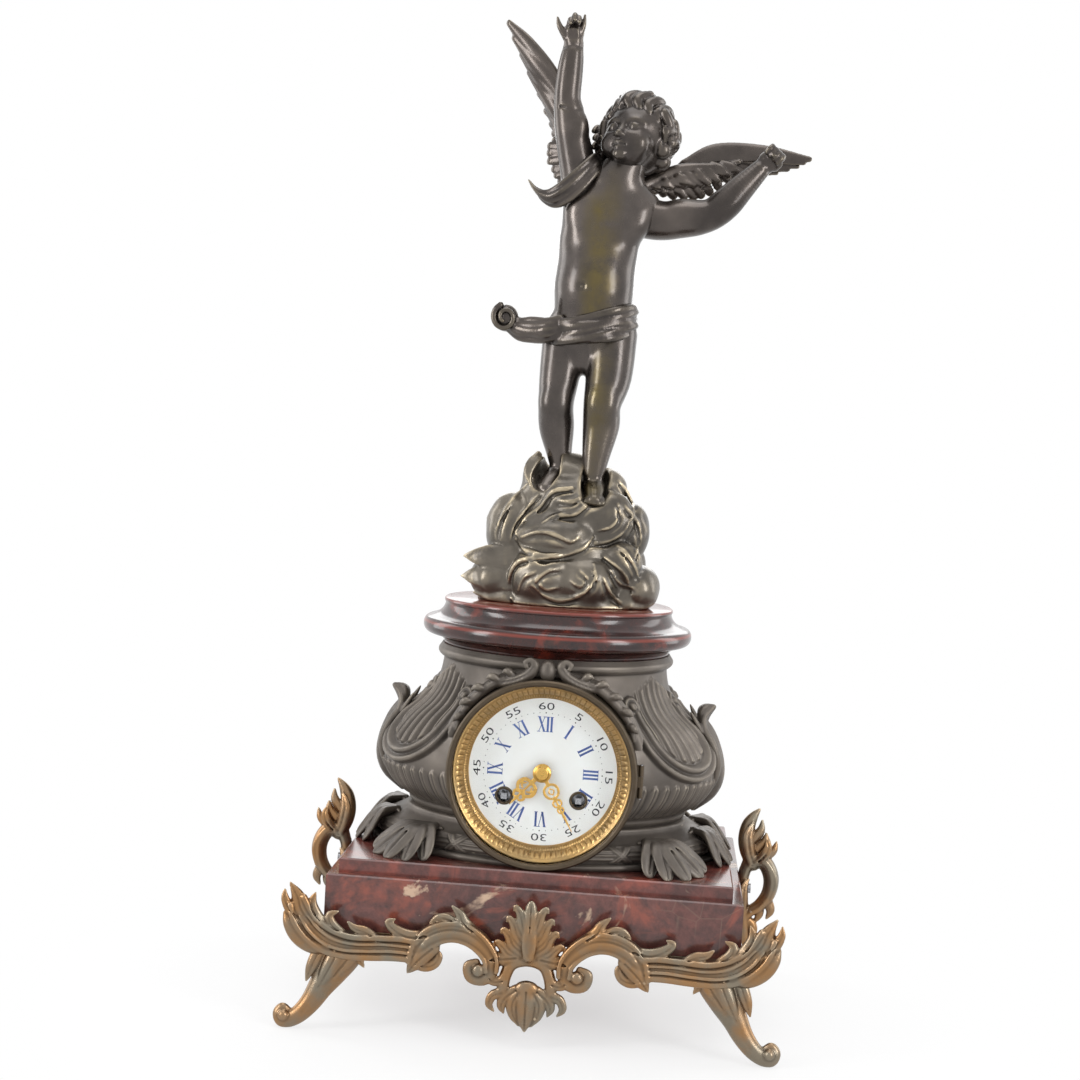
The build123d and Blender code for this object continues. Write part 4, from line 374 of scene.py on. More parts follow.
class Look:
    """A material built node by node on one principled shader."""

    def __init__(self, name, **constants):
        self.material = bpy.data.materials.new(name)
        self.material.use_nodes = True
        self.tree = self.material.node_tree
        self.shader = self.tree.nodes["Principled BSDF"]
        self.place = self.tree.nodes.new("ShaderNodeTexCoord").outputs["Object"]
        for socket, value in constants.items():
            self.shader.inputs[socket.replace("_", " ")].default_value = value

    def node(self, kind, settings=None, **inputs):
        """A node with its inputs set or linked, by name or, as i0, i1 and so on, by number."""
        item = self.tree.nodes.new(kind)
        for key, value in (settings or {}).items():
            setattr(item, key, value)
        for key, value in inputs.items():
            numbered = key[0] == "i" and key[1:].isdigit()
            socket = item.inputs[int(key[1:]) if numbered else key.replace("_", " ")]
            if isinstance(value, bpy.types.NodeSocket):
                self.tree.links.new(value, socket)
            else:
                socket.default_value = value
        return item

    def noise(self, scale, detail=4.0, roughness=0.55, distortion=0.0):
        texture = self.node(
            "ShaderNodeTexNoise", Vector=self.place, Scale=scale,
            Detail=detail, Roughness=roughness, Distortion=distortion,
        )
        return texture.outputs["Fac"]

    def cells(self, scale, feature="F1"):
        texture = self.node("ShaderNodeTexVoronoi", {"feature": feature}, Vector=self.place, Scale=scale)
        return texture.outputs["Distance"]

    def pointiness(self):
        return self.node("ShaderNodeNewGeometry").outputs["Pointiness"]

    def axis(self, letter):
        return self.node("ShaderNodeSeparateXYZ", i0=self.place).outputs[letter]

    def spread(self, value, low, high, to_low=0.0, to_high=1.0):
        """The value mapped from one range to another, and held at its ends."""
        limits = {"From_Min": low, "From_Max": high, "To_Min": to_low, "To_Max": to_high}
        mapped = self.node("ShaderNodeMapRange", Value=value, **limits)
        return mapped.outputs["Result"]

    def count(self, operation, **inputs):
        return self.node("ShaderNodeMath", {"operation": operation}, **inputs).outputs[0]

    def times(self, a, b):
        return self.count("MULTIPLY", i0=a, i1=b)

    def mix(self, share, first, second):
        """Two colours, the second one by its share."""
        blend = self.node("ShaderNodeMix", {"data_type": "RGBA"})
        for index, value in ((0, share), (6, first), (7, second)):
            if isinstance(value, bpy.types.NodeSocket):
                self.tree.links.new(value, blend.inputs[index])
            else:
                blend.inputs[index].default_value = value if index == 0 else (*value, 1.0)
        return blend.outputs[2]

    def drive(self, socket, value):
        self.tree.links.new(value, self.shader.inputs[socket])

    def bump(self, height, strength, distance):
        node = self.node("ShaderNodeBump", Strength=strength, Distance=distance, Height=height)
        self.tree.links.new(node.outputs["Normal"], self.shader.inputs["Normal"])


def bronze_look(name, dark, mid, rub, metal, rough, olive_sheen=None, coat=0.0, wear=0.58):
    """Patinated cast metal: dark hollows, mottled skin, rubbed high spots and, when given, an olive painted
    highlight in a stripe down the front.
    """
    look = Look(name, Metallic=metal, Coat_Weight=coat, Coat_Roughness=0.16)
    skin = look.mix(look.spread(look.noise(26.0, 5.0), 0.36, 0.66), dark, mid)
    if olive_sheen:
        # painted highlight: an olive stripe down the front of the torso stands in for the lamps' sheen there
        x = look.axis("X")
        painted_sheen_stripe = look.times(look.spread(x, 0.000, 0.010), look.spread(x, 0.026, 0.014))
        painted_sheen_stripe = look.times(painted_sheen_stripe, look.spread(look.axis("Y"), -0.012, -0.017))
        painted_sheen_stripe = look.times(painted_sheen_stripe, look.spread(look.noise(60.0, 4.0), 0.30, 0.60))
        skin = look.mix(painted_sheen_stripe, skin, olive_sheen)
    rubbed = look.spread(look.pointiness(), 0.505, wear)
    rubbed = look.times(rubbed, look.spread(look.noise(70.0, 3.0), 0.28, 0.60))
    skin = look.mix(rubbed, skin, rub)
    hollow = look.spread(look.pointiness(), 0.492, 0.42)
    look.drive("Base Color", look.mix(hollow, skin, tuple(0.40 * c for c in dark)))
    look.drive("Roughness", look.spread(look.noise(120.0, 4.0), 0.3, 0.7, rough - 0.07, rough + 0.10))
    look.bump(look.noise(420.0, 3.0), 0.12, 0.0004)
    return look.material


def marble_look(name, deep, red, patch, pale, share, edges=()):
    """Polished red marble: red patches in a dark ground, cream inclusions, fine veins and, at the given
    levels, bright bands painted as highlights along the edges.
    """
    look = Look(name, Roughness=0.20, Coat_Weight=0.25, Coat_Roughness=0.08)
    ground = look.mix(look.spread(look.noise(48.0, 9.0, 0.66, 1.2), 0.38, 0.64), deep, red)
    speckle = look.spread(look.noise(210.0, 6.0, 0.7), 0.42, 0.62)
    ground = look.mix(look.times(speckle, 0.45), ground, tuple(0.45 * c for c in deep))
    blotch = look.spread(look.noise(20.0, 5.0, 0.6, 1.8), 0.53, 0.62)
    blotch = look.times(blotch, look.spread(look.noise(120.0, 5.0), 0.34, 0.58))
    ground = look.mix(look.times(blotch, 0.8), ground, patch)
    cream = look.spread(look.noise(17.0, 4.0, 0.55, 2.6), 0.605, 0.665)
    cream = look.times(cream, look.spread(look.noise(90.0, 5.0), 0.33, 0.55))
    ground = look.mix(look.times(cream, share), ground, pale)
    vein = look.spread(look.cells(40.0, "DISTANCE_TO_EDGE"), 0.016, 0.0)
    vein = look.times(vein, look.spread(look.noise(30.0, 3.0), 0.50, 0.72, 0.0, 0.35 * share))
    ground = look.mix(vein, ground, tuple(0.5 * c for c in pale))
    # painted highlight: paler bands at the given heights stand in for the lamps' long highlights on the
    # plinth's rims
    for level in edges:
        gap = look.count("SUBTRACT", i0=look.axis("Z"), i1=level * MM)
        gap = look.count("ABSOLUTE", i0=gap)
        ground = look.mix(look.spread(gap, 0.0013, 0.0003, 0.0, 0.8), ground, tuple(1.3 * c for c in patch))
    look.drive("Base Color", ground)
    look.bump(look.noise(300.0, 2.0), 0.02, 0.0002)
    return look.material


def gilt_look(name, gold, dull, dark, ridge_highlight_tone, rough):
    """Old gilding: warm gold, grey-green where it has dulled, a pale painted highlight on the ridges and dark
    in the hollows.
    """
    look = Look(name, Metallic=0.90)
    skin = look.mix(look.spread(look.noise(42.0, 5.0), 0.40, 0.62), gold, dull)
    hollow = look.spread(look.pointiness(), 0.512, 0.44)
    skin = look.mix(hollow, skin, dark)
    # painted highlight: a pale tone in patches on the ridges stands in for the lamps' glints
    ridge = look.spread(look.pointiness(), 0.52, 0.60)
    ridge = look.times(ridge, look.spread(look.noise(75.0, 3.0), 0.30, 0.58))
    look.drive("Base Color", look.mix(ridge, skin, ridge_highlight_tone))
    look.drive("Roughness", look.spread(look.noise(150.0, 4.0), 0.3, 0.7, rough - 0.06, rough + 0.12))
    look.bump(look.noise(500.0, 3.0), 0.15, 0.0003)
    return look.material


def metal_look(name, colour, rough, metal=1.0, scale=300.0):
    """Worked metal with a faint grain."""
    look = Look(name, Metallic=metal)
    grain = look.spread(look.noise(scale, 5.0), 0.3, 0.7)
    look.drive("Base Color", look.mix(grain, tuple(0.82 * c for c in colour), colour))
    look.drive("Roughness", look.spread(look.noise(scale * 1.7, 3.0), 0.3, 0.7, rough - 0.05, rough + 0.08))
    return look.material


def paint_look(name, colour, rough, other):
    """Fired colour with a slight unevenness."""
    look = Look(name, Roughness=rough, Coat_Weight=0.5, Coat_Roughness=0.08)
    look.drive("Base Color", look.mix(look.spread(look.noise(90.0, 4.0), 0.35, 0.65), colour, other))
    return look.material


# heights of the plinth's rims where a highlight is painted into the marble
PLINTH_HIGHLIGHT_LEVELS = (225.2, 238.4)
FIGURE_TONES = (0.044, 0.036, 0.032), (0.105, 0.087, 0.076), (0.210, 0.178, 0.125)
BRONZE = bronze_look("bronze_patina", *FIGURE_TONES, 0.86, 0.30, coat=0.35)
# the body's bronze also carries a painted olive highlight down the torso front
BODY_BRONZE = bronze_look("rubbed_bronze_with_sheen", *FIGURE_TONES, 0.86, 0.28, olive_sheen=(0.115, 0.086, 0.028), coat=0.5)
CLOUD_BRONZE = bronze_look(
    "cloud_patina", (0.070, 0.061, 0.051), (0.180, 0.156, 0.124), (0.50, 0.415, 0.285), 0.72, 0.32, coat=0.2,
    wear=0.53,
)
SPELTER = bronze_look(
    "dark_spelter", (0.080, 0.068, 0.058), (0.150, 0.128, 0.108), (0.330, 0.285, 0.225), 0.50, 0.42,
)
MARBLE = marble_look(
    "base_marble", (0.082, 0.036, 0.032), (0.180, 0.062, 0.050), (0.280, 0.072, 0.045),
    (0.60, 0.42, 0.29), 0.9,
)
STEP_MARBLE = marble_look(
    "step_marble", (0.095, 0.034, 0.029), (0.195, 0.056, 0.044), (0.280, 0.066, 0.043),
    (0.50, 0.33, 0.23), 0.5,
)
PLINTH_MARBLE = marble_look(
    "plinth_marble", (0.020, 0.0075, 0.007), (0.060, 0.014, 0.010), (0.170, 0.026, 0.014),
    (0.30, 0.15, 0.09), 0.05, PLINTH_HIGHLIGHT_LEVELS,
)
# the last colour of each gilt is the pale painted highlight on its ridges
GILT = gilt_look(
    "antique_gilt", (0.330, 0.185, 0.085), (0.235, 0.200, 0.150), (0.030, 0.018, 0.011),
    (0.66, 0.55, 0.40), 0.31,
)
FINE_GILT = gilt_look(
    "fine_gilt", (0.70, 0.42, 0.11), (0.62, 0.38, 0.11), (0.34, 0.18, 0.05), (1.0, 0.63, 0.165), 0.26,
)
SIGHT_GILT = gilt_look(
    "sight_gilt", (0.58, 0.37, 0.15), (0.40, 0.27, 0.125), (0.16, 0.088, 0.030), (0.87, 0.555, 0.225), 0.32
)
DARK_BRASS = metal_look("dark_brass", (0.098, 0.074, 0.050), 0.36, 0.85)
BRASS = metal_look("movement_brass", (0.72, 0.52, 0.22), 0.28)
BELL_METAL = metal_look("bell_metal", (0.62, 0.47, 0.25), 0.24)
STEEL = metal_look("polished_steel", (0.40, 0.40, 0.42), 0.26)
ENAMEL = paint_look("white_enamel", (0.83, 0.84, 0.83), 0.12, (0.80, 0.80, 0.78))
BLUE_INK = paint_look("blue_numerals", (0.030, 0.062, 0.235), 0.25, (0.075, 0.130, 0.360))
BLACK_INK = paint_look("black_numerals", (0.020, 0.020, 0.024), 0.25, (0.05, 0.05, 0.06))


def glass_look():
    """Clear thin glass with a faint unevenness of its polish."""
    look = Look("clear_glass", Transmission_Weight=1.0, IOR=1.02)
    look.shader.inputs["Base Color"].default_value = (0.98, 0.99, 0.99, 1.0)
    look.drive("Roughness", look.spread(look.noise(40.0, 2.0), 0.3, 0.7, 0.0, 0.03))
    return look.material


GLASS = glass_look()

CAD_LOOKS = {
    "brass": BRASS,
    "steel": STEEL,
    "bell_metal": BELL_METAL,
    "red_marble": MARBLE,
    "gilt_mount": GILT,
    "dark_spelter": SPELTER,
    "bronze_patina": BRONZE,
    "dark_brass": DARK_BRASS,
    "gilt_brass": FINE_GILT,
    "enamel": ENAMEL,
    "clear_glass": GLASS,
}
for part in frame["record"]["subparts"]:
    mesh = frame["nodes"][part["node"]].data
    mesh.materials.clear()
    mesh.materials.append(CAD_LOOKS[part["material_slot"]])
frame["nodes"]["marble_base_step"].data.materials[0] = STEP_MARBLE


# Winged child


def placed(origin, axes, point):
    """A point given in a turned local frame."""
    return np.asarray(origin) + axes @ np.asarray(point, float)


def turned_axes(forward, up):
    """Columns: right, forward and up of a frame that looks along forward."""
    forward = unit(forward)
    right = unit(np.cross(forward, up))
    return np.stack([right, forward, np.cross(right, forward)], 1)


def child_body():
    """Torso, hips, legs and feet."""
    clay = Clay((-26, -40, 292), (48, 36, 506), 0.75)
    clay.ball((10, 2, 402), (23.6, 18.5, 18), 8)
    clay.ball((9.6, -3.5, 425), (23.2, 20.5, 24), 12)
    clay.ball((11, 0, 452), (23.4, 16.5, 26), 12)
    clay.rope([(0, 2, 475), (17, 1, 482), (34, 1, 471)], [12, 14, 12.5], 10)
    clay.rope([(18, 0, 484), (24, -1, 497)], [13.5, 11.5], 7)
    for x, z in ((4.5, 466), (26.5, 464)):
        clay.ball((x, -8.5, z), (12, 7, 10), 10)
    for x in (-2, 21):
        clay.ball((x, 12, 396), (13, 11, 13), 5)
    right_leg = [
        (-5.6, 2, 398), (-7.6, 0, 373), (-8.6, -2, 356), (-7.8, 1.5, 343), (-5.8, 2, 330), (-4.0, 2, 320),
    ]
    left_leg = [
        (21.6, 1, 398), (21.4, -4, 374), (18.8, -9, 357), (18.8, -6, 345), (17.2, -7, 330), (16, -8, 317),
    ]
    clay.rope(right_leg, [13.4, 11.9, 10.4, 10.4, 8.0, 6.2], 4)
    clay.rope(left_leg, [15.0, 13.6, 11.0, 10.8, 8.6, 6.6], 4)
    clay.ball((7.6, 0, 387), (10, 11, 12), 5)
    clay.ball((-9.2, -7.0, 357), (7, 5, 7), 6)
    clay.ball((19.2, -14.0, 358), (7, 5, 7), 6)
    clay.rope([(7.6, -13, 392), (8.4, -13, 384), (8.2, -10, 374)], [0.6, 0.9, 1.2], 2.4, carve=True)
    for heel, toe in (((-3, 5, 316), (-11.5, -10, 306.5)), ((16, -2, 311), (18, -21, 301.5))):
        heel, toe = np.array(heel, float), np.array(toe, float)
        ahead = unit(toe - heel)
        across = unit(np.cross(ahead, (0, 0, 1)))
        clay.rope([heel, 0.5 * (heel + toe) + (0, 0, 2), toe], [6.0, 6.2, 5.0], 3, (0, 0, 1), 0.8)
        for number in range(5):
            base = toe + across * (number - 2) * 2.4
            clay.rope([base, base + ahead * (4.2 - 0.5 * abs(number - 1.2))], [2.0, 1.6], 0.8)
    clay.ball((3.6, -25.0, 423.8), (2.0, 3.2, 1.8), 2.4, carve=True)
    clay.ball((3.6, -22.2, 423.4), (1.1, 1.0, 1.1), 0.5)
    return clay.skin()


def cloths():
    """Hip sash with its flying tail and curled knot, and the scarf round the raised arm's shoulder."""
    clay = Clay((-53, -34, 386), (42, 30, 508), 0.7)
    angles = np.linspace(0, 2 * math.pi, 33)
    for strand, drop in enumerate((-7.0, -4.4, -1.8, 0.9, 3.6, 6.4)):
        ring = [
            (9.8 + (23.8 + 0.9 * math.sin(3 * a + 2 * strand)) * math.cos(a),
             0.4 + (20.4 + 0.9 * math.sin(4 * a + strand)) * math.sin(a),
             402.8 + 5 * math.cos(a) + 2.3 * math.sin(a) + drop + 1.3 * math.sin(2 * a + 1.9 * strand))
            for a in angles
        ]
        clay.rope(ring, 2.4 + 0.3 * (strand % 2), 0.5, steps=2)
    for strand, (drop, forward) in enumerate(((-4.6, 0), (-2.0, 2.0), (0.6, 2.6), (3.2, 1.6), (5.4, 0))):
        wave = 0.8 * math.sin(2.0 * strand)
        clay.rope(
            [(-8, -14, 400 + drop), (-16, -12 - forward, 397.6 + drop),
             (-25, -7 - forward, 397.4 + drop + wave), (-32.5, -3 - forward, 398 + 0.9 * drop),
             (-38, -1 - forward, 401 + 0.8 * drop)],
            [2.2, 2.6, 2.5, 2.5, 2.2], 0.6,
        )
    knot = np.array((-41.2, -0.5, 404.6))
    clay.ball(knot, (7.6, 6.6, 8.0), 0.8)
    turns = np.linspace(0, 8.5, 18)
    coil = [
        knot + ((7.4 - 0.62 * t) * math.cos(t + 2), -5.2 - 0.35 * t, (7.8 - 0.62 * t) * math.sin(t + 2))
        for t in turns
    ]
    clay.rope(coil, np.linspace(2.0, 1.2, 18), 0.5, steps=3)
    middle = [
        (9, 4, 500), (6.5, -8, 496), (-1, -13.5, 486.5), (-9.5, -14.5, 478), (-18, -11, 474),
        (-25.5, -7, 477), (-30.6, -4, 483),
    ]
    width = [2.2, 2.7, 3.1, 3.2, 3.0, 2.6, 1.8]
    for strand in (-1.5, -0.5, 0.5, 1.5):
        lift = 1.0 if abs(strand) < 1 else 0.0
        fold = [
            (x - 0.62 * strand * w, y - lift + 0.8 * math.sin(k + 2 * strand), z + 0.78 * strand * w)
            for k, ((x, y, z), w) in enumerate(zip(middle, width))
        ]
        clay.rope(fold, [1.5, 1.75, 1.95, 1.95, 1.8, 1.4, 0.7], 0.5)
    for strand in (-1, 0, 1):
        clay.rope(
            [(9, 4, 500 + strand), (4, 14, 497 + 2 * strand), (-8, 16.5, 487 + 3 * strand),
             (-16, 8, 479 + 2 * strand), (-17.5, -4, 475 + strand)],
            [1.8, 2.3, 2.5, 2.4, 2.0], 0.6,
        )
    return clay.skin()


LOCKS = 84
HEAD_AT = (27.4, -1.0, 511.8)
HAIR_AT = (0, -5, 5)
HEAD_AXES = turned_axes((-0.40, -0.86, 0.26), (0.10, 0.22, 0.97))
SIDE_CURLS = (17.5, -5, -5, 5.0), (15.0, -12, -9, 5.0), (8.0, -18, -8, 5.0), (19.0, -4, 4, 4.6)
RIGHT_CURLS = [
    (21.5, -4, 6, 5.2), (21, -7, -3, 5.6), (18.5, -9, -11, 5.4), (13, -13, -15, 5.2), (20, 0, 0, 3.8),
]
HAIRLINE = [
    (-15.5, 4, 9), (-11.5, 8.5, 12.5), (-6, 11.5, 14.5), (0, 12.4, 15), (6, 11.5, 14.5),
    (11.5, 8.5, 12.5), (15.5, 4, 9),
]


def face(ball, rope):
    """Skull, cheeks, brows, eyes, nose, lips and ears."""
    ball((0, -3, 4), (18.0, 19.5, 18.0), 3)
    ball((0, 5, -7), (13.5, 12.5, 12.5), 6)
    for side in (-1, 1):
        ball((side * 8.2, 10, -7.5), (6.2, 5.5, 6.2), 4)
    ball((0, 14.2, -15.5), (4.2, 3.4, 3.4), 3)
    for side in (-1, 1):
        rope([(side * 2.8, 14.6, 4.2), (side * 6.8, 14.2, 5.6), (side * 11, 11.2, 4.4)], [1.1, 1.2, 0.9], 3)
    for side in (-1, 1):
        ball((side * 6.6, 17.2, 0.8), (4.0, 3.2, 2.5), 2.2, carve=True)
        ball((side * 6.6, 13.1, 0.7), (3.3, 3.0, 2.4), 0.8)
        flip = (side, 1, 1)
        rope(signed([(3.6, 14.6, 0.9), (6.6, 15.5, 2.4), (9.8, 13.4, 1.2)], flip), [0.5, 0.7, 0.5], 0.9)
        rope(signed([(3.8, 14.5, 0.2), (6.6, 15.0, -1.2), (9.4, 13.2, 0.2)], flip), [0.4, 0.5, 0.4], 1.0)
        ball((side * 1.9, 17.4, -5.3), (1.7, 1.6, 1.4), 1.2)
    rope([(0, 15.6, 2.5), (0, 17.4, -2), (0, 19.0, -4.6)], [1.3, 1.6, 2.1], 1.8)
    upper_lip = [
        (-4.0, 14.9, -10.0), (-1.3, 17.0, -9.1), (0, 17.0, -9.4), (1.3, 17.0, -9.1), (4.0, 14.9, -10.0),
    ]
    rope(upper_lip, [0.7, 1.25, 1.1, 1.25, 0.7], 0.8)
    rope([(-3.4, 14.9, -11.3), (0, 16.6, -12.0), (3.4, 14.9, -11.3)], [0.8, 1.5, 0.8], 0.9)
    rope([(-4.2, 16.0, -10.5), (0, 18.2, -10.6), (4.2, 16.0, -10.5)], 0.45, 0.5, carve=True)
    for side in (-1, 1):
        ball((side * 17.6, -3, -3), (2.4, 4.2, 5.4), 1.6)
        ball((side * 19.6, -2, -3), (1.4, 2.2, 3.0), 1.2, carve=True)


def hair(ball, rope):
    """Short curled hair: a cap, side curls, combed locks, the hairline and the curls on the right."""
    ball(HAIR_AT, (19.8, 19.4, 18.4), 1.2)
    ball((0, -9, -6), (15.5, 14, 12), 3)
    for side in (-1, 1):
        for x, y, z, size in SIDE_CURLS:
            ball((side * x, y, z), size, 0.8)
    seeds = np.random.default_rng(7)
    golden = math.pi * (3 - math.sqrt(5))
    crown = np.array([0.15, -0.35, 0.92])
    for number in range(LOCKS):
        z = 1 - 1.75 * (number + 0.5) / LOCKS
        ring = math.sqrt(1 - z * z)
        way = np.array([ring * math.cos(golden * number), ring * math.sin(golden * number), z])
        if way[1] > 0.22 + 0.42 * way[2] or (way[2] < -0.30 and way[1] > -0.25):
            continue
        root = np.array(HAIR_AT) + way * np.array([20.2, 19.8, 18.6])
        away = way - crown * (way @ crown)
        down = unit(away - way * (away @ way) + 1e-3)
        side = np.cross(way, down) * seeds.choice((-1, 1))
        wave = seeds.uniform(2.0, 3.8)
        rise = seeds.uniform(0.8, 2.6)
        lock = [
            root + down * 3.4 * (k - 1.5) + side * wave * math.sin(1.5 * k)
            + way * (rise - 0.45 * (k - 1.6) ** 2)
            for k in range(5)
        ]
        lock.append(lock[-1] + side * 2.0 - down * 0.8 + way * 1.8)
        rope(lock, [1.4, 2.6, 3.0, 2.7, 2.0, 1.0], 0.3)
    for x, y, z in HAIRLINE:
        lean = 2.4 if x < 3 else -2.4
        rope(
            [(x, y, z), (x * 1.04 + lean, y - 0.6, z + 5), (x * 1.02, y - 5.5, z + 9.2),
             (x * 0.85 - lean, y - 12, z + 10.6), (x * 0.8, y - 19, z + 9.4)],
            [2.2, 3.3, 3.4, 2.9, 1.4], 0.5,
        )
    for x, y, z in ((-6.5, 3, 25.6), (7.5, 2, 25.2)):
        rope([(x * 0.8, y - 6, 22), (x, y, z), (x * 1.5, y + 2.6, 25.4)], [3.4, 3.0, 1.0], 0.6)
    for x, y, z, size in RIGHT_CURLS:
        ball((x, y, z), size, 1.0)
        turns = np.linspace(0, 7.5, 12)
        coil = []
        for t in turns:
            radius = 0.86 * size - 0.4 * t
            out = radius * 0.35 * math.cos(t) + 0.75 * size
            coil.append((x + out, y + radius * math.cos(t), z + radius * math.sin(t)))
        rope(coil, np.linspace(1.7, 1.0, 12), 0.4)


def child_head():
    """A calm child's head on even proportions, with short curled hair."""
    clay = Clay((0, -34, 484), (60, 32, 546), 0.6)

    def at(x, y, z):
        return placed(HEAD_AT, HEAD_AXES, (x, y, z))

    def ball(centre, radii, blend, carve=False):
        clay.ball(at(*centre), radii, blend, HEAD_AXES, carve)

    def rope(points, radii, blend, carve=False):
        clay.rope([at(*p) for p in points], radii, blend, carve=carve)

    face(ball, rope)
    hair(ball, rope)
    return clay.skin()


def right_arm():
    """Raised arm: an open hand with thumb and last finger spread and the others curled."""
    clay = Clay((-26, -16, 464), (16, 18, 584), 0.65)
    arm = [
        (-1, 3, 478), (-3.4, 2.5, 491), (-6.6, 2, 504), (-9, 1.5, 514), (-10.8, 1, 524), (-12.6, 0.5, 534),
        (-12.2, 0, 546), (-11.6, 0, 555), (-10.8, 0, 565),
    ]
    clay.rope(arm, [11.4, 11, 10.3, 9.7, 9.2, 7.9, 7.7, 7.2, 5.8], 3)
    clay.ball((-5.0, -3, 517), (6.0, 6.0, 8.5), 3)
    clay.rope([(-2, -5, 527), (-9, -8.8, 526.5), (-16, -5.5, 528)], 0.3, 1.8, carve=True)
    clay.rope([(-17.5, -3, 563.4), (-11, -7.2, 564), (-4, -3, 564)], 1.2, 2.4, carve=True)
    palm = np.array((-11.6, -0.6, 571.0))
    clay.ball(palm, (6.4, 3.8, 6.2), 2)
    for x in (-14.2, -11.6, -9.0):
        clay.rope([(x + 1, -3.4, 564), (x, -4.0, 573)], 0.7, 1.0)
    clay.rope([(-15.5, -1.5, 569), (-19.4, -2.4, 574.5), (-21.0, -2.8, 579.6)], [2.4, 1.8, 0.8], 0.9)
    clay.rope([(-7.4, -1, 571), (-5.6, -1.4, 576.5), (-5.2, -1.8, 581.6)], [2.1, 1.6, 0.8], 0.9)
    for x, drop in ((-14.4, 1.9), (-11.9, 0.0), (-9.4, 1.1)):
        clay.rope(
            [(x, -0.6, 574), (x + 0.6, -1.6, 579.4 - drop), (x + 1.1, -4.2, 580.8 - 1.4 * drop),
             (x + 1.4, -6.4, 577.6 - drop)],
            [1.7, 1.8, 1.7, 1.2], 0.35, steps=4,
        )
    return clay.skin()


def left_arm():
    """Outstretched arm with a lightly closed hand."""
    clay = Clay((22, -22, 444), (121, 20, 516), 0.65)
    arm = [
        (33, 2, 468), (46, 0.6, 466), (57, -1, 466.8), (67, -3, 468), (76, -4, 471), (83.5, -4.4, 477.5),
        (91.5, -4, 486.5), (101, -3, 497),
    ]
    clay.rope(arm, [12.2, 11.4, 10.7, 10, 9.2, 9.2, 7.8, 5.8], 3)
    clay.ball((60, -2, 470), (12, 8.5, 8.5), 4)
    palm = np.array((106.4, -2.5, 502.6))
    reach = unit((0.66, 0.06, 0.75))
    clay.ball(palm, (6.6, 5.4, 6.2), 2)
    across = unit(np.cross(reach, (0, 1, 0)))
    for number in range(4):
        base = palm + reach * 3.6 + across * (number - 1.5) * 2.9
        clay.rope(
            [base, base + reach * 3.4 + (0, -3.4, 0), base + reach * 1.4 + (0, -6.4, 0),
             base - reach * 1.6 + (0, -5.8, 0)],
            [1.7, 1.85, 1.75, 1.4], 0.45, steps=4,
        )
    thumb = palm + across * -5.2
    thumb = [thumb, thumb + reach * 3 + (0, -4.5, 0), palm + reach * 3.4 + (0, -7.4, 0)]
    clay.rope(thumb, [2.1, 1.9, 1.4], 0.6)
    return clay.skin()


def wing(low, high, normal, arm, arm_radii, rows):
    """A feathered wing: an arm, then rows of overlapping feathers, each along its place on a set of lines."""
    clay = Clay(low, high, 0.5)
    normal = unit(normal)
    clay.rope(arm, arm_radii, 1.2)
    for lines, count, radii, thin in rows:
        lines = [curve(line, 16) for line in lines]
        for number in range(count):
            share = number / (count - 1)
            path = np.array([line[round(share * (len(line) - 1))] for line in lines])
            path[1:] += normal * (0.6 * (number % 2))
            clay.rope(path, radii, 0.35, normal, thin, steps=9)
    return clay.skin()


RIGHT_WING_ARM = [(-2, 12, 482), (-6, 16, 500), (-9, 18, 525), (-16, 18, 545)]
RIGHT_WING_ROWS = [
    ([[(-4, 16, 512), (-5, 19, 503), (-6, 21, 492)],
      [(-20, 17, 545), (-20, 19, 533), (-16, 22, 516), (-11, 24, 500)],
      [(-38, 18.6, 566), (-32, 21, 549.5), (-22.5, 24, 531), (-13.5, 26, 511)],
      [(-51.8, 20, 580.4), (-44.5, 22, 565), (-35, 25, 547), (-26, 27, 529), (-21.5, 28, 518)]],
     8, [3.4, 4.8, 5.2, 2.0], 0.30),
    ([[(-6, 13, 513), (-2, 11, 487)], [(-14, 12.6, 512.5), (-10, 11, 489)],
      [(-20, 15, 511.5), (-22.4, 15, 506.5), (-21.6, 15, 499.5), (-18, 14, 493), (-15, 13, 488)]],
     7, [3.2, 3.9, 2.6], 0.42),
]
LEFT_WING_ARM = [(31, 10, 484), (40, 13, 490.5), (56, 16, 498), (77, 18, 501), (90, 19.5, 505)]
LEFT_WING_ROWS = [
    ([[(50, 20, 493), (58, 20, 502)],
      [(64, 23, 495), (76, 21, 511)],
      [(80, 25, 497.5), (94, 23.5, 504), (104, 21.5, 511.4)],
      [(97, 25, 499), (112, 24, 500.6), (124, 22, 504.6), (130.8, 20.5, 508.6)]],
     7, [3.6, 4.8, 4.8, 2.0], 0.30),
    ([[(37, 14, 489), (56, 17, 497.5), (80, 19, 502.5)],
      [(40, 12.6, 486.0), (60, 15, 490.5), (88, 18, 499.4)],
      [(41, 13.6, 484.6), (51, 15, 482.6), (62, 15.6, 482.6), (71, 16.5, 484.6), (80, 17.5, 490),
       (94, 19, 496.6)]],
     10, [2.8, 3.5, 2.7], 0.36),
    ([[(37, 12, 490), (56, 15, 498.5), (80, 17.5, 503)],
      [(41, 10.4, 488.4), (60, 13.2, 494.2), (85, 16.6, 501)],
      [(44, 11.4, 486.6), (62, 14.0, 489.6), (74, 14.8, 491.6), (90, 17.4, 499)]],
     9, [2.5, 3.2, 2.4], 0.40),
]

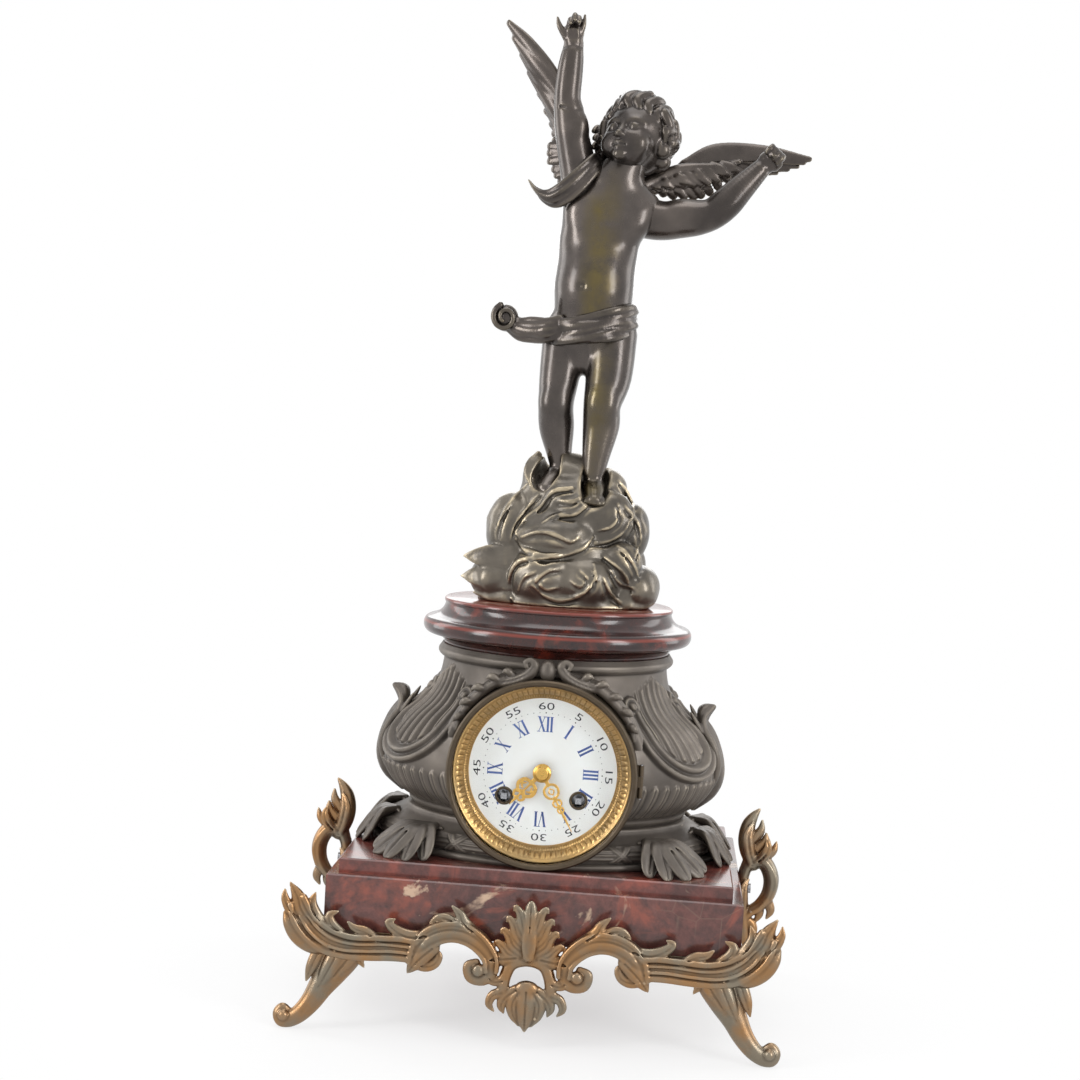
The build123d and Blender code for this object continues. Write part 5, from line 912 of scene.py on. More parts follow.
piece("child_body", child_body(), BODY_BRONZE, replaces=("figure_body",))
piece("sash_and_scarf", cloths(), BRONZE)
piece("child_head", child_head(), BRONZE)
piece("child_right_arm", right_arm(), BRONZE, replaces=("figure_right_arm",))
piece("child_left_arm", left_arm(), BRONZE, replaces=("figure_left_arm",))
right_wing = wing(
    (-57, 6, 474), (4, 36, 584), (-0.72, -0.68, 0.1), RIGHT_WING_ARM, [4.6, 4.6, 4.0, 2.0], RIGHT_WING_ROWS,
)
left_wing = wing(
    (24, 2, 474), (135, 34, 521), (-0.15, -0.95, 0.25), LEFT_WING_ARM, [5.0, 4.4, 3.8, 2.8, 1.4],
    LEFT_WING_ROWS,
)
piece("right_wing", right_wing, BRONZE, replaces=("figure_right_wing",))
piece("left_wing", left_wing, BRONZE, replaces=("figure_left_wing",))


# Cloud


CLOUD_CORE = [(239, 51, 35), (254, 48, 34), (270, 41, 31), (286, 38, 28), (300, 30, 23), (311, 20, 16)]
CLOUD_BANKS = [
    (-9, -25, 256, 19, 13, 17), (16, -25, 254, 17, 12, 14), (-4, -21, 279, 23, 14, 12),
    (25, -15, 291, 17, 10, 17), (46, -8, 251, 13, 17, 14), (41, 0, 283, 10, 14, 17),
    (-30, -8, 281, 15, 16, 22), (-36, -12, 252, 17, 16, 14), (-16, 0, 311, 10, 10, 14),
    (2, -11, 304, 17, 12, 10), (10, -16, 296, 15, 12, 12), (24, 2, 308, 12, 13, 12),
    (0, 24, 258, 27, 14, 18), (-28, 18, 260, 20, 17, 20), (30, 18, 262, 20, 17, 20),
    (3, 18, 290, 24, 14, 18), (36, -20, 266, 12, 9, 12),
]
CLOUD_SWIRLS = [
    ([(31, 313), (38, 304), (40.3, 295), (36.5, 284.4), (26.5, 278), (17, 277.5)], 1.7),
    ([(-25.8, 280.5), (-24.3, 274.4), (-18, 270), (-7.4, 268), (4.9, 269.8), (14.2, 274.4),
      (18.8, 280.5)], 2.1),
    ([(-25.8, 280.5), (-21, 288), (-12, 296), (-5.8, 305), (4.9, 308)], 1.7),
    ([(-10.5, 286.7), (-2.8, 291.3), (8, 292.8), (14.2, 298.5), (20, 303)], 1.6),
    ([(-25.8, 241.5), (-27.4, 251.3), (-24.3, 262), (-16.6, 266.2), (-5.8, 266.9)], 1.7),
    ([(20.3, 265), (21.8, 256), (15.7, 248.2), (4.9, 243.5), (-5.8, 245.2), (-13.5, 251.3)], 1.8),
    ([(25, 270), (32, 265.5), (38.8, 259), (42, 250)], 1.5),
    ([(26.5, 257.5), (30, 250), (35, 244.5), (42.5, 242)], 1.5),
    ([(-35, 272), (-36.2, 283.6), (-29.4, 299), (-22, 308)], 1.4),
    ([(-28.9, 269), (-26.4, 285), (-19.2, 296), (-13.5, 304)], 1.4),
    ([(44, 271), (45.5, 281), (42.5, 291), (36, 299)], 1.4),
    ([(2, 262), (-6, 259.5), (-11, 254), (-6, 249.5), (1, 251)], 1.3),
    ([(-22, 278), (-13, 281.5), (-3, 281), (6, 277.5), (11, 280)], 1.2),
    ([(-3, 300), (6, 300.5), (14, 305), (17, 311)], 1.2),
    ([(20, 284), (28, 286.5), (33, 292), (32, 300)], 1.2),
    ([(-22, 247), (-19, 255), (-12, 259.5)], 1.1),
    ([(8, 255), (14, 252.5), (17, 257.5), (13, 261)], 1.0),
    ([(33, 276), (38, 272.5), (43, 266), (46, 259)], 1.1),
    ([(30, 262), (36, 254.5), (44, 252.5)], 1.0),
]
FOOT_DENTS = [
    [(-2, 6, 322), (-7.5, -3, 318), (-13, -15, 312)],
    [(16, -2, 317), (17.4, -13, 311.5), (18.6, -27, 305)],
]
CLOUD_FLAPS = [
    ([(-28, -23, 266), (-43, -21, 264.5), (-56.5, -16, 264)], [8.0, 6.6, 0.8]),
    ([(-28, -24, 253), (-45, -21, 253), (-57.5, -15, 252)], [8.5, 6.6, 0.8]),
    ([(-27, -26, 244), (-40, -22, 243.5), (-50, -18, 243)], [5.0, 4.0, 0.8]),
    ([(40, -22, 245), (49, -18, 243.5), (56, -13, 243)], [5.5, 4.4, 0.8]),
    ([(-17, -3, 326), (-20, -9, 317), (-19, -13, 306)], [2.0, 5.0, 1.0]),
]


def cloud():
    """Swelling cloud banks with thin curled rims and pointed flaps, on the plinth."""
    clay = Clay((-60, -44, CLOUD_Z - 3), (62, 42, 328), 0.75)
    for level, width, depth in CLOUD_CORE:
        clay.ball((2, 0, level), (width, depth, 17), 6)
    for x, y, z, rx, ry, rz in CLOUD_BANKS:
        clay.ball((x, y, z), (rx, ry, rz), 3.4)
    for turn, facing in ((1, -1), (-1, 1)):
        ridges = [(curve([(turn * x, z) for x, z in path], 4), size) for path, size in CLOUD_SWIRLS]
        ridges = [(clay.drape(path, facing), size) for path, size in ridges]
        for path, size in ridges:
            taper = size * np.sin(np.linspace(0.25, math.pi - 0.25, len(path))) ** 0.6
            clay.rope(path, taper, 0.9, steps=1)
            clay.rope(path + (0, 0.4 * facing, -2.6), 0.55 * taper, 1.6, carve=True, steps=1)
    for path, radii in CLOUD_FLAPS:
        clay.rope(path, radii, 1.0, (0.1, -0.95, 0.3), 0.32)
    for dent in FOOT_DENTS:
        clay.rope(dent, [8.5, 8.5, 7.5], 2.0, carve=True)
    clay.ripple(0.20, 13.0, 5)
    clay.face_off(2, CLOUD_Z + 0.02, -1)
    return clay.skin()


piece("cloud_bank", cloud(), CLOUD_BRONZE, replaces=("cloud_mound",))


# Marble plinth, fine enough for its long highlights

PLINTH_DEPTH = (PLINTH_HIGH[1] - PLINTH_LOW[1]) / (PLINTH_HIGH[0] - PLINTH_LOW[0])
PLINTH_EDGE = [
    (66.6, 0), (67.4, 2.0), (70.0, 4.2), (74.4, 5.6), (77.4, 6.6), (79.0, 8.6), (79.45, 11.0), (79.0, 13.4),
    (77.4, 15.2), (74.2, 16.2), (70.8, 17.8), (68.4, 20.2), (67.2, 22.8), (67.3, 24.2), (67.7, 25.2),
    (67.5, 26.4), (66.6, 27.0),
]
PLINTH_PROFILE = np.vstack([[(1.0, 0.0)], curve(PLINTH_EDGE, 6), [(40.0, 27.0), (1.0, 27.0)]])


def on_plinth(radius, height, angle):
    """Ring coordinates round the plinth's slightly oval axis."""
    return radius * np.cos(angle), PLINTH_DEPTH * radius * np.sin(angle), PLINTH_Z + height


plinth = turned(PLINTH_PROFILE, on_plinth, 200, closed=False)
piece("round_plinth", plinth, PLINTH_MARBLE, replaces=("marble_plinth",))


# Dark case: socle and bombe body with strapwork, flutes and lappets

CASE_TOP = (212, 67.4, 61.4)
BODY_KNOTS = [
    (116, 80.0, 57.0), (118.5, 82.4, 58.6), (121, 83.0, 59.0), (124, 86.5, 60.5), (129, 92.5, 62.8),
    (137, 97.5, 64.6), (146, 99.5, 65.5), (158, 95.5, 65.0), (170, 86.5, 63.5), (181, 75.0, 62.0),
    (192, 68.5, 60.6), (203, 66.2, 60.0), (204.5, 67.4, 61.4), (206.5, 69.4, 63.4), (208.6, 69.6, 63.6),
    (210.2, 68.6, 62.6), CASE_TOP,
]


def ring_surface(knots, columns, rows, relief):
    """An oval body through (height, half width, half depth) knots, with relief added outward."""
    track = curve(knots, 12)
    track[:, 0] = np.maximum.accumulate(track[:, 0])
    levels = np.linspace(knots[0][0], knots[-1][0], rows)
    width = np.interp(levels, track[:, 0], track[:, 1])
    depth = np.interp(levels, track[:, 0], track[:, 2])
    swing, level = np.meshgrid(full_circle(columns), levels, indexing="ij")
    raised = relief(np.degrees(swing), level)
    x = (width + raised) * np.sin(swing)
    y = -(depth + raised) * np.cos(swing)
    return np.stack([x, y, level], -1).reshape(-1, 3), grid_faces(columns, rows)


PANELS = (60.0, 120.0, 240.0, 300.0)
PANEL_PITCH = 1.22
STRAP_LEVEL = 172.0
STRAP_RADIUS = 24.0
STRAP_TOP = 187.0
FLUTED_HALF = 18.4
FLUTES_TOP = 203
LAPPETS = 72
LAPPETS_FOOT, LAPPETS_TOP = 121.5, 139.5


def body_relief(angle, level):
    """Height of the U-shaped straps, flutes and lappets over the plain bombe body."""
    raised = np.zeros_like(angle)
    for panel in PANELS:
        across = np.abs((angle - panel + 180) % 360 - 180) * PANEL_PITCH
        round_end = np.abs(np.hypot(across, level - STRAP_LEVEL) - STRAP_RADIUS)
        away = np.where(level > STRAP_LEVEL, np.abs(across - STRAP_RADIUS), round_end)
        strap = 3.8 * hump(away, 4.8, 8) - 2.2 * hump(away, 1.4)
        strap = strap * ramp((STRAP_TOP - level) / 3)
        curl = np.hypot(across - STRAP_RADIUS + 1.0, level - STRAP_TOP)
        knob = 4.2 * np.sqrt(ramp(1 - (curl / 5.4) ** 2)) - 1.5 * hump(curl - 3.0, 0.9)
        raised = np.maximum(raised, np.maximum(strap, knob))
        bowl = STRAP_LEVEL - np.sqrt(np.maximum(FLUTED_HALF**2 - across**2, 0))
        within = ramp(FLUTED_HALF - across) * ramp((level - bowl) / 2)
        within = within * ramp((FLUTES_TOP - 0.45 * across - level) / 2.5)
        raised += within * (2.8 * np.abs(np.cos(math.pi * across / 6.1)) - 1.2)
    wave = np.abs(np.cos(np.radians(angle) * LAPPETS / 2))
    lappet = ramp((level - LAPPETS_FOOT) / 2) * ramp((LAPPETS_TOP + 3.5 * wave - level) / 2.2)
    return raised + lappet * (2.2 * wave**0.6 - 0.6 - 0.8 * hump(1 - wave, 0.02))


def open_drum(shape, radius):
    """The shape without the faces inside the round openings for the movement, front and back."""
    places, faces = shape
    middle = places[faces].mean(1)
    inside = (np.hypot(middle[:, 0], middle[:, 2] - DIAL_Z) < radius) & (np.abs(middle[:, 1]) > 30)
    return places, faces[~inside]


def cap(level, width, depth, columns=180, inner=4.0):
    """A flat oval lid with a small hole at its centre."""
    swing = full_circle(columns)
    outer = np.stack([width * np.sin(swing), -depth * np.cos(swing), np.full(columns, level)], 1)
    hole = np.stack([inner * np.sin(swing), -inner * np.cos(swing), np.full(columns, level)], 1)
    places = np.stack([outer, hole], 1).reshape(-1, 3)
    return places, grid_faces(columns, 2)


DRUM_BORE = 48.3
DRUM_SKIN = DRUM_BORE + 4
DRUM_EDGES = (DRUM_BORE, DRUM_SKIN)
WELL_FRONT, WELL_BACK = -19.0, 3.0
WELL_HALF = 32.0


def drum_with_slot():
    """The round drum through the case, with the slot under it for the pendulum."""
    levels = [-DRUM_REACH, WELL_FRONT, WELL_BACK, DRUM_REACH]
    profile = [(DRUM_SKIN, y) for y in levels] + [(DRUM_BORE, y) for y in levels[::-1]]
    places, faces = turned(profile, about_dial, 180)
    middle = places[faces].mean(1)
    swing = np.degrees(np.arctan2(middle[:, 0], DIAL_Z - middle[:, 2]))
    slot = (np.abs(swing) < WELL_HALF) & (middle[:, 1] > WELL_FRONT) & (middle[:, 1] < WELL_BACK)
    rims = [(places, faces[~slot])]

    def rim(depths, angles):
        """A strip across the drum's wall, along the slot's edge."""
        count = len(depths)
        edge = [np.stack(about_dial(np.full(count, radius), depths, angles), 1) for radius in DRUM_EDGES]
        rims.append((np.stack(edge, 1).reshape(-1, 3), grid_faces(count, 2, wrap=False)))

    sweep = np.radians(np.linspace(270 - WELL_HALF, 270 + WELL_HALF, 33))
    for depth in (WELL_FRONT, WELL_BACK):
        rim(np.full(33, depth), sweep)
    for end in (sweep[0], sweep[-1]):
        rim(np.array([WELL_FRONT, WELL_BACK]), np.full(2, end))
    return joined(*rims)


shell = open_drum(ring_surface(BODY_KNOTS, 1080, 200, body_relief), DRUM_BORE + 2)
shell = joined(shell, cap(*CASE_TOP), drum_with_slot())
piece("case_shell", shell, SPELTER, replaces=("case_body",))

SOCLE_KNOTS = [
    (95, 101.6, 69.8), (96, 102.8, 70.8), (97.6, 102.9, 70.9), (98.8, 101.6, 69.8), (99.4, 99.2, 68.2),
    (101, 100.8, 69.2), (104, 101.0, 69.4), (107, 98.8, 68.0), (109, 95.2, 65.8), (109.6, 93.4, 64.8),
    (111, 90.2, 62.8), (113, 86.2, 60.4), (114.6, 84.0, 59.4), (116, 82.6, 58.6), (116.6, 79.2, 56.2),
]
RIM_FOOT, RIM_MIDDLE, RIM_TOP = 99.2, 104, 109.2
RIBBONS = (28.0, 72.0, 108.0, 152.0, 208.0, 252.0, 288.0, 332.0)


def socle_relief(angle, level):
    """Reeds along the rim, bound by crossing ribbons."""
    rim = ramp((level - RIM_FOOT) / 0.6) * ramp((RIM_TOP - level) / 0.6)
    raised = rim * (0.8 * np.abs(np.cos(math.pi * (level - 99.4) / 2.4)) - 0.4)
    for centre in RIBBONS:
        for lean in (-1.1, 1.1):
            away = np.abs(((angle - centre + 180) % 360 - 180) - lean * (level - RIM_MIDDLE) * 0.6)
            raised = np.maximum(raised, rim * (1.1 * hump(away, 1.5, 6) - 0.35 * hump(away, 0.4)))
    return raised


def spray(root, tips, out):
    """A spray of broad leaves bound to the socle at its root and lying over the rim onto the marble."""
    root, out = np.array(root, float), unit(out)
    tips = [np.array(tip, float) for tip in tips]
    ends = np.array([root] + tips)
    clay = Clay(ends.min(0) - (10, 10, 3), ends.max(0) + (10, 10, 8), 0.55)
    for tip in tips:
        middle = 0.5 * (root + tip) + 3.0 * out + (0, 0, 2.4)
        fold = [root, 0.5 * (root + middle) + 0.8 * out, middle]
        fold += [0.45 * middle + 0.55 * tip, 0.15 * middle + 0.85 * tip, tip]
        clay.leaf(fold, [2.4, 4.2, 6.0, 5.8, 4.2, 1.4], out, 0.34, 0.3)
    band = 4 * unit(np.cross(out, (0, 0, 1)))
    clay.rope([root - band - 1.2 * out, root + 1.0 * out, root + band - 1.2 * out], [1.2, 1.9, 1.2], 0.5)
    clay.face_off(2, SOCLE_Z + 0.05, -1)
    return clay.skin()


CORNER_TIPS = [(63, -71, 97), (74, -73, 96), (85, -70, 96), (92.5, -61, 96), (94.5, -50, 97)]
SIDE_TIPS = [(103, -34, 96.6), (109, -25, 96), (110.5, -14, 96), (107.5, -4, 96.6)]
corner_spray = spray((60, -50, 110.6), CORNER_TIPS, (0.55, -0.62, 0.56))
side_spray = spray((87, -16, 111.4), SIDE_TIPS, (0.80, -0.1, 0.6))
sprays = joined(corner_spray, side_spray)
sprays = joined(sprays, mirrored(sprays, (-1, 1, 1)))
sprays = joined(sprays, mirrored(sprays, (1, -1, 1)))
socle = open_drum(ring_surface(SOCLE_KNOTS, 900, 110, socle_relief), BEZEL_RADIUS - 2)
piece("case_socle_shell", socle, SPELTER, replaces=("case_socle",))
piece("socle_leaf_sprays", sprays, SPELTER)


def flank_leaf():
    """A broad leaf rising from the flank, with rolled edges, curling outward at its tip."""
    clay = Clay((72, -24, 120), (106.0, 24, 188), 0.65)
    spine = [
        (86, 122.5), (96.4, 136), (99.8, 149), (97, 160), (91.5, 168.5), (89, 175), (91.6, 180),
        (96.4, 183.2),
    ]
    clay.rope(upright(spine), [3.4, 7.6, 10.2, 10.5, 9.4, 7.4, 4.6, 1.2], 1.0, (1, 0, 0.3), 0.34)
    for side in (-1, 1):
        flip = (1, side, 1)
        edge = [
            (87, 4, 123.5), (96.6, 8.6, 138), (99.2, 11, 151), (95.6, 11, 162), (90.4, 9, 170), (90, 6, 177),
            (95.4, 1.6, 183),
        ]
        clay.rope(signed(edge, flip), [1.6, 2.1, 2.4, 2.4, 2.2, 1.8, 1.0], 0.6)
        vein = [(101.6, 3.4, 136), (103.2, 4, 149), (100.2, 4, 161), (94.2, 3, 170), (91.6, 1.6, 177)]
        clay.rope(signed(vein, flip), 0.7, 0.9, carve=True)
        outer = [(86, 8, 124), (94, 14, 139), (92.5, 18, 152), (86.5, 19, 163), (84, 17, 168)]
        clay.rope(signed(outer, flip), [2.6, 3.6, 3.4, 2.2, 1.0], 0.8, (1, 0, 0.2), 0.55)
        tongue = [(88, 9, 170), (84.5, 12, 176), (82, 15, 180.5)]
        clay.rope(signed(tongue, flip), [3.4, 2.8, 1.2], 0.8, (0.8, 0, 0.6), 0.5)
    return clay.skin()


CREST_SCROLL = [
    (30, -64.5, 196.5), (18, -66, 199.8), (10.5, -67.5, 204), (7.4, -68.5, 209), (9.6, -69, 212.0),
    (12.6, -69, 211.0), (12.0, -69.5, 208.4),
]
CREST_LOBES = [
    ((19, 201), (6, 3.4)), ((27, 198.4), (7, 2.2)), ((35, 193), (7, 0.8)), ((42, 186), (6.4, -1.0)),
    ((47, 178), (4.6, -2.6)),
]


def crest():
    """A ribbed knob between two scrolls over the bezel, trailing down both sides of it as leaves."""
    clay = Clay((-55, -75.5, 164), (55, -50, 214.0), 0.6)
    clay.ball((0, -68, 206.6), (4.8, 4.8, 6.2), 0.6)
    for x in (-2.6, 0, 2.6):
        clay.rope([(x * 0.8, -72.2, 202), (x, -73.0, 207), (x * 0.5, -71.0, 212.6)], 0.45, 0.5, carve=True)
    swing = np.radians(np.linspace(14, 166, 25))
    roll = [(55.4 * math.cos(a), -58.5, DIAL_Z + 55.4 * math.sin(a)) for a in swing]
    clay.rope(roll, 4.6, 0.8, steps=2)
    for side in (-1, 1):
        flip = (side, 1, 1)
        clay.rope(signed(CREST_SCROLL, flip), [1.8, 3.2, 3.4, 2.8, 1.8, 1.6, 1.3], 0.5)
        ridge = [(28, -66.4, 197.8), (18, -69, 200.6), (11, -70.8, 204.6), (8.0, -71.2, 208.6)]
        clay.rope(signed(ridge, flip), 0.5, 0.6, carve=True)
        trail = [(22, -64.5, 200.5), (30, -64.5, 197), (39, -64, 189.5), (46.5, -63.5, 180), (50, -63, 170)]
        clay.rope(signed(trail, flip), [2.2, 2.8, 2.8, 2.4, 1.0], 0.6)
        for (x, z), (dx, dz) in CREST_LOBES:
            lobe = [(x, -64.5, z), (x + 0.55 * dx, -66.4, z + 0.75 * dz + 1.2), (x + dx, -65.2, z + dz - 0.6)]
            clay.rope(signed(lobe, flip), [2.4, 2.2, 0.9], 0.5)
    return clay.skin()


leaf = flank_leaf()
leaves = joined(leaf, mirrored(leaf, (-1, 1, 1)))
piece("flank_leaves", leaves, SPELTER, replaces=("case_ornaments",))
piece("dial_crest_shell", crest(), SPELTER)


# Bezel, glass, sight ring and dial


def ring_piece(name, profile, look, body=CASE, replaces=(), steps=180):
    """A turned ring round the dial's axis."""
    return piece(name, turned(profile, about_dial, steps), look, body, replaces)


SEAT_FRONT = -DRUM_REACH - 6.7
GLASS_FRONT, GLASS_BACK = -72.0, -70.5
DOOR_BACK = SEAT_FRONT - 0.3
DOOR_FRONT = DOOR_LOW[1]
DIAL_FRONT = DIAL_LOW[1]
seat_ring = [
    (53.3, SEAT_FRONT), (50.2, SEAT_FRONT), (50.2, SEAT_FRONT + 2.1), (46.6, -64.0), (46.6, -48.5),
    (47.9, -48.5), (47.9, -DRUM_REACH), (52.8, -DRUM_REACH), (53.5, -65.0), (53.5, -67.5),
]
door_ring = [
    (50.0, GLASS_FRONT), (50.1, -74.4), (50.9, -75.5), (51.8, DOOR_FRONT + 0.02), (52.8, -75.3),
    (53.4, -74.2), (53.5, GLASS_FRONT), (53.2, DOOR_BACK),
]
door_ring = np.vstack([curve(door_ring, 4), [(51.7, DOOR_BACK), (51.7, GLASS_FRONT)]])
rear_ring = [
    (53.3, DRUM_REACH), (53.5, DRUM_REACH + 1.5), (52.6, REAR_Y - 0.2), (50, 66.0), (45.0, 66.0),
    (44.5, 65.4), (44.5, 60.0), (47.9, 60.0), (47.9, DRUM_REACH),
]
ring_piece("bezel_seat_ring", seat_ring, DARK_BRASS)
ring_piece("bezel_door_ring", door_ring, DARK_BRASS, "bezel")
ring_piece("rear_bezel_ring", rear_ring, DARK_BRASS)
pane = [(0.5, GLASS_FRONT), (50.9, GLASS_FRONT), (51.5, -71.4), (51.5, GLASS_BACK), (0.5, GLASS_BACK)]
ring_piece("bezel_glass", pane, GLASS, "bezel", ("dial_glass",))

SIGHT_STEPS = 960
SIGHT_FRONT = curve([(50.0, -69.4), (49.0, -69.0), (46.2, -65.9), (43.2, -62.9), (42.0, -61.7)], 10)
SIGHT_PROFILE = np.vstack([SIGHT_FRONT, [(42.0, -61.1), (46.3, -61.1), (46.3, -64.3), (50.0, -67.9)]])
SIGHT_BACK = -61.3
BEAD_RADIUS, RIB_RADIUS = 46.4, 43.6
BEADS, RIBS = 96, 192


def sight_place(radius, depth, angle):
    """The sight ring's cone, raised in a row of beads and a row of fine ribs."""
    beads = hump(radius - BEAD_RADIUS, 1.5, 4) * np.abs(np.cos(angle * (BEADS / 2))) ** 0.7 * 0.75
    ribs = hump(radius - RIB_RADIUS, 0.7, 4) * np.abs(np.cos(angle * (RIBS / 2))) * 0.35
    return about_dial(radius, depth - np.where(depth < SIGHT_BACK, beads + ribs, 0), angle)


sight = turned(SIGHT_PROFILE, sight_place, SIGHT_STEPS)
piece("gilt_sight_ring", sight, SIGHT_GILT, replaces=("sight_ring",))

WINDING = [(-21.0, DIAL_Z - 15.0), (21.0, DIAL_Z - 15.0)]
HOLE_RADIUS = 4.8


def dial_plate():
    """A flat enamel disc with holes for the hands and the winding squares."""
    rings = np.concatenate([np.linspace(3.6, 42, 97), np.linspace(42.4, 46.3, 6)])
    places, faces = turned([(r, DIAL_FRONT - 0.02) for r in rings], about_dial, 720, closed=False)
    middle = places[faces].mean(1)
    keep = np.ones(len(faces), bool)
    for x, z in WINDING:
        keep &= np.hypot(middle[:, 0] - x, middle[:, 2] - z) > HOLE_RADIUS
    return places, faces[keep]


piece("enamel_face", dial_plate(), ENAMEL)
COLLAR = [(-1.1, -0.35), (0.35, -0.35), (0.5, 0), (0.2, 3), (-1.1, 3)]
for number, (x, z) in enumerate(WINDING):
    collar = [(HOLE_RADIUS + out, DIAL_FRONT + back) for out, back in COLLAR]
    shape = turned(collar, lambda r, h, a, x=x, z=z: (x + r * np.cos(a), h, z + r * np.sin(a)), 64)
    piece(f"winding_collar_{number}", shape, DARK_BRASS)


def on_dial(angle, points, depth):
    """Points given as (across, outward) at a clock angle, laid on the dial."""
    points = np.asarray(points, float)
    a = math.radians(angle)
    x = points[:, 1] * math.sin(a) + points[:, 0] * math.cos(a)
    z = points[:, 1] * math.cos(a) - points[:, 0] * math.sin(a)
    return np.stack([x, np.full(len(points), depth), DIAL_Z + z], 1)


NUMERAL_FOOT = 22.6
NUMERAL_HEAD = 31.4
INK_DEPTH = DIAL_FRONT - 0.10


def numeral(angle, letters):
    """A radial Roman numeral of thick and thin strokes with serifs, cut away round the winding holes."""
    widths = {"I": 2.1, "V": 4.8, "X": 4.8}
    start = -sum(widths[c] for c in letters) / 2
    shapes = []

    def bar(foot, head, depth, lengths):
        """A bar between two edges, in short lengths that keep clear of the winding holes."""
        foot, head = np.array(foot, float), np.array(head, float)
        for k in range(lengths):
            near, far = (foot + (head - foot) * share for share in (k / lengths, (k + 1) / lengths))
            places = on_dial(angle, [near[0], near[1], far[1], far[0]], depth)
            middle = places.mean(0)
            if min(math.hypot(middle[0] - x, middle[2] - z) for x, z in WINDING) > HOLE_RADIUS + 0.6:
                shapes.append((places, np.array([[0, 1, 2, 3]])))

    def stroke(foot, head, thick):
        ends = [[(x - thick, z), (x + thick, z)] for x, z in ((foot, NUMERAL_FOOT), (head, NUMERAL_HEAD))]
        bar(*ends, INK_DEPTH, 22)

    def serif(middle, level, half):
        ends = [[(x, level - 0.2), (x, level + 0.2)] for x in (middle - half, middle + half)]
        bar(*ends, INK_DEPTH - 0.01, 5)

    for letter in letters:
        left, right = start, start + widths[letter]
        middle = (left + right) / 2
        if letter == "I":
            stroke(middle, middle, 0.60)
            serif(middle, NUMERAL_FOOT + 0.2, 0.95)
            serif(middle, NUMERAL_HEAD - 0.2, 0.95)
        elif letter == "V":
            stroke(middle, left + 0.7, 0.60)
            stroke(middle, right - 0.7, 0.20)
            serif(left + 0.7, NUMERAL_HEAD - 0.2, 0.9)
            serif(right - 0.7, NUMERAL_HEAD - 0.2, 0.8)
        else:
            stroke(right - 0.8, left + 0.8, 0.60)
            stroke(left + 0.8, right - 0.8, 0.20)
            for corner in (left + 0.8, right - 0.8):
                serif(corner, NUMERAL_HEAD - 0.2, 0.9)
                serif(corner, NUMERAL_FOOT + 0.2, 0.9)
        start = right
    return joined(*shapes)


HOURS = ["I", "II", "III", "IIII", "V", "VI", "VII", "VIII", "IX", "X", "XI", "XII"]
numerals = joined(*[numeral(30 * (k + 1), letters) for k, letters in enumerate(HOURS)])
piece("hour_numerals", numerals, BLUE_INK, smooth=False)


def dot(angle, radius, size):
    """One round dot of the minute track."""
    corners = [(size * math.cos(t), radius + size * math.sin(t)) for t in np.arange(8) * math.pi / 4]
    places = on_dial(angle, corners, INK_DEPTH)
    return places, np.array([[0, 1, 2, 3], [0, 3, 4, 7], [4, 5, 6, 7]])


TRACK_RADIUS = 33.6
dots = joined(*[dot(6 * k, TRACK_RADIUS, 0.42 if k % 5 == 0 else 0.26) for k in range(60)])
piece("minute_dots", dots, BLACK_INK, smooth=False)


FIGURE_SIZE, FIGURE_STRETCH, FIGURE_FOOT = 6.0, 1.6, 35.4


def minute_figure(minutes):
    """A small Arabic figure, its foot towards the centre."""
    words = bpy.data.curves.new("figure", "FONT")
    words.body = str(minutes)
    words.align_x = "CENTER"
    words.size = FIGURE_SIZE
    words.resolution_u = 3
    source = bpy.data.objects.new("figure", words)
    mesh = bpy.data.meshes.new_from_object(source)
    points = [(v.co.x * FIGURE_STRETCH, FIGURE_FOOT + v.co.y) for v in mesh.vertices]
    places = on_dial(6.0 * minutes, points, INK_DEPTH)
    mesh.calc_loop_triangles()
    faces = np.array([list(t.vertices) for t in mesh.loop_triangles])
    bpy.data.objects.remove(source)
    bpy.data.curves.remove(words)
    bpy.data.meshes.remove(mesh)
    return places, faces


figures = joined(*[minute_figure(5 * k) for k in range(1, 13)])
piece("minute_figures", figures, BLACK_INK, smooth=False)


# Hands


def hand_shape(strokes, low, high):
    """A flat pierced hand from (points, radii) strokes given as (across, outward)."""
    clay = Clay((low[0], -1.2, low[1]), (high[0], 1.2, high[1]), 0.28)
    for points, radii in strokes:
        for side in (-1, 1):
            clay.rope([(side * x, 0, z) for x, z in points], radii, 0.3, (0, 1, 0), 0.6, steps=5)
    return clay


def on_arbor(shape, angle, depth, thickness):
    """A hand turned to its angle and set at its depth."""
    places, faces = shape
    a = math.radians(angle)
    x = places[:, 2] * math.sin(a) + places[:, 0] * math.cos(a)
    z = places[:, 2] * math.cos(a) - places[:, 0] * math.sin(a)
    return np.stack([x, depth + np.clip(places[:, 1], -thickness, thickness), DIAL_Z + z], 1), faces


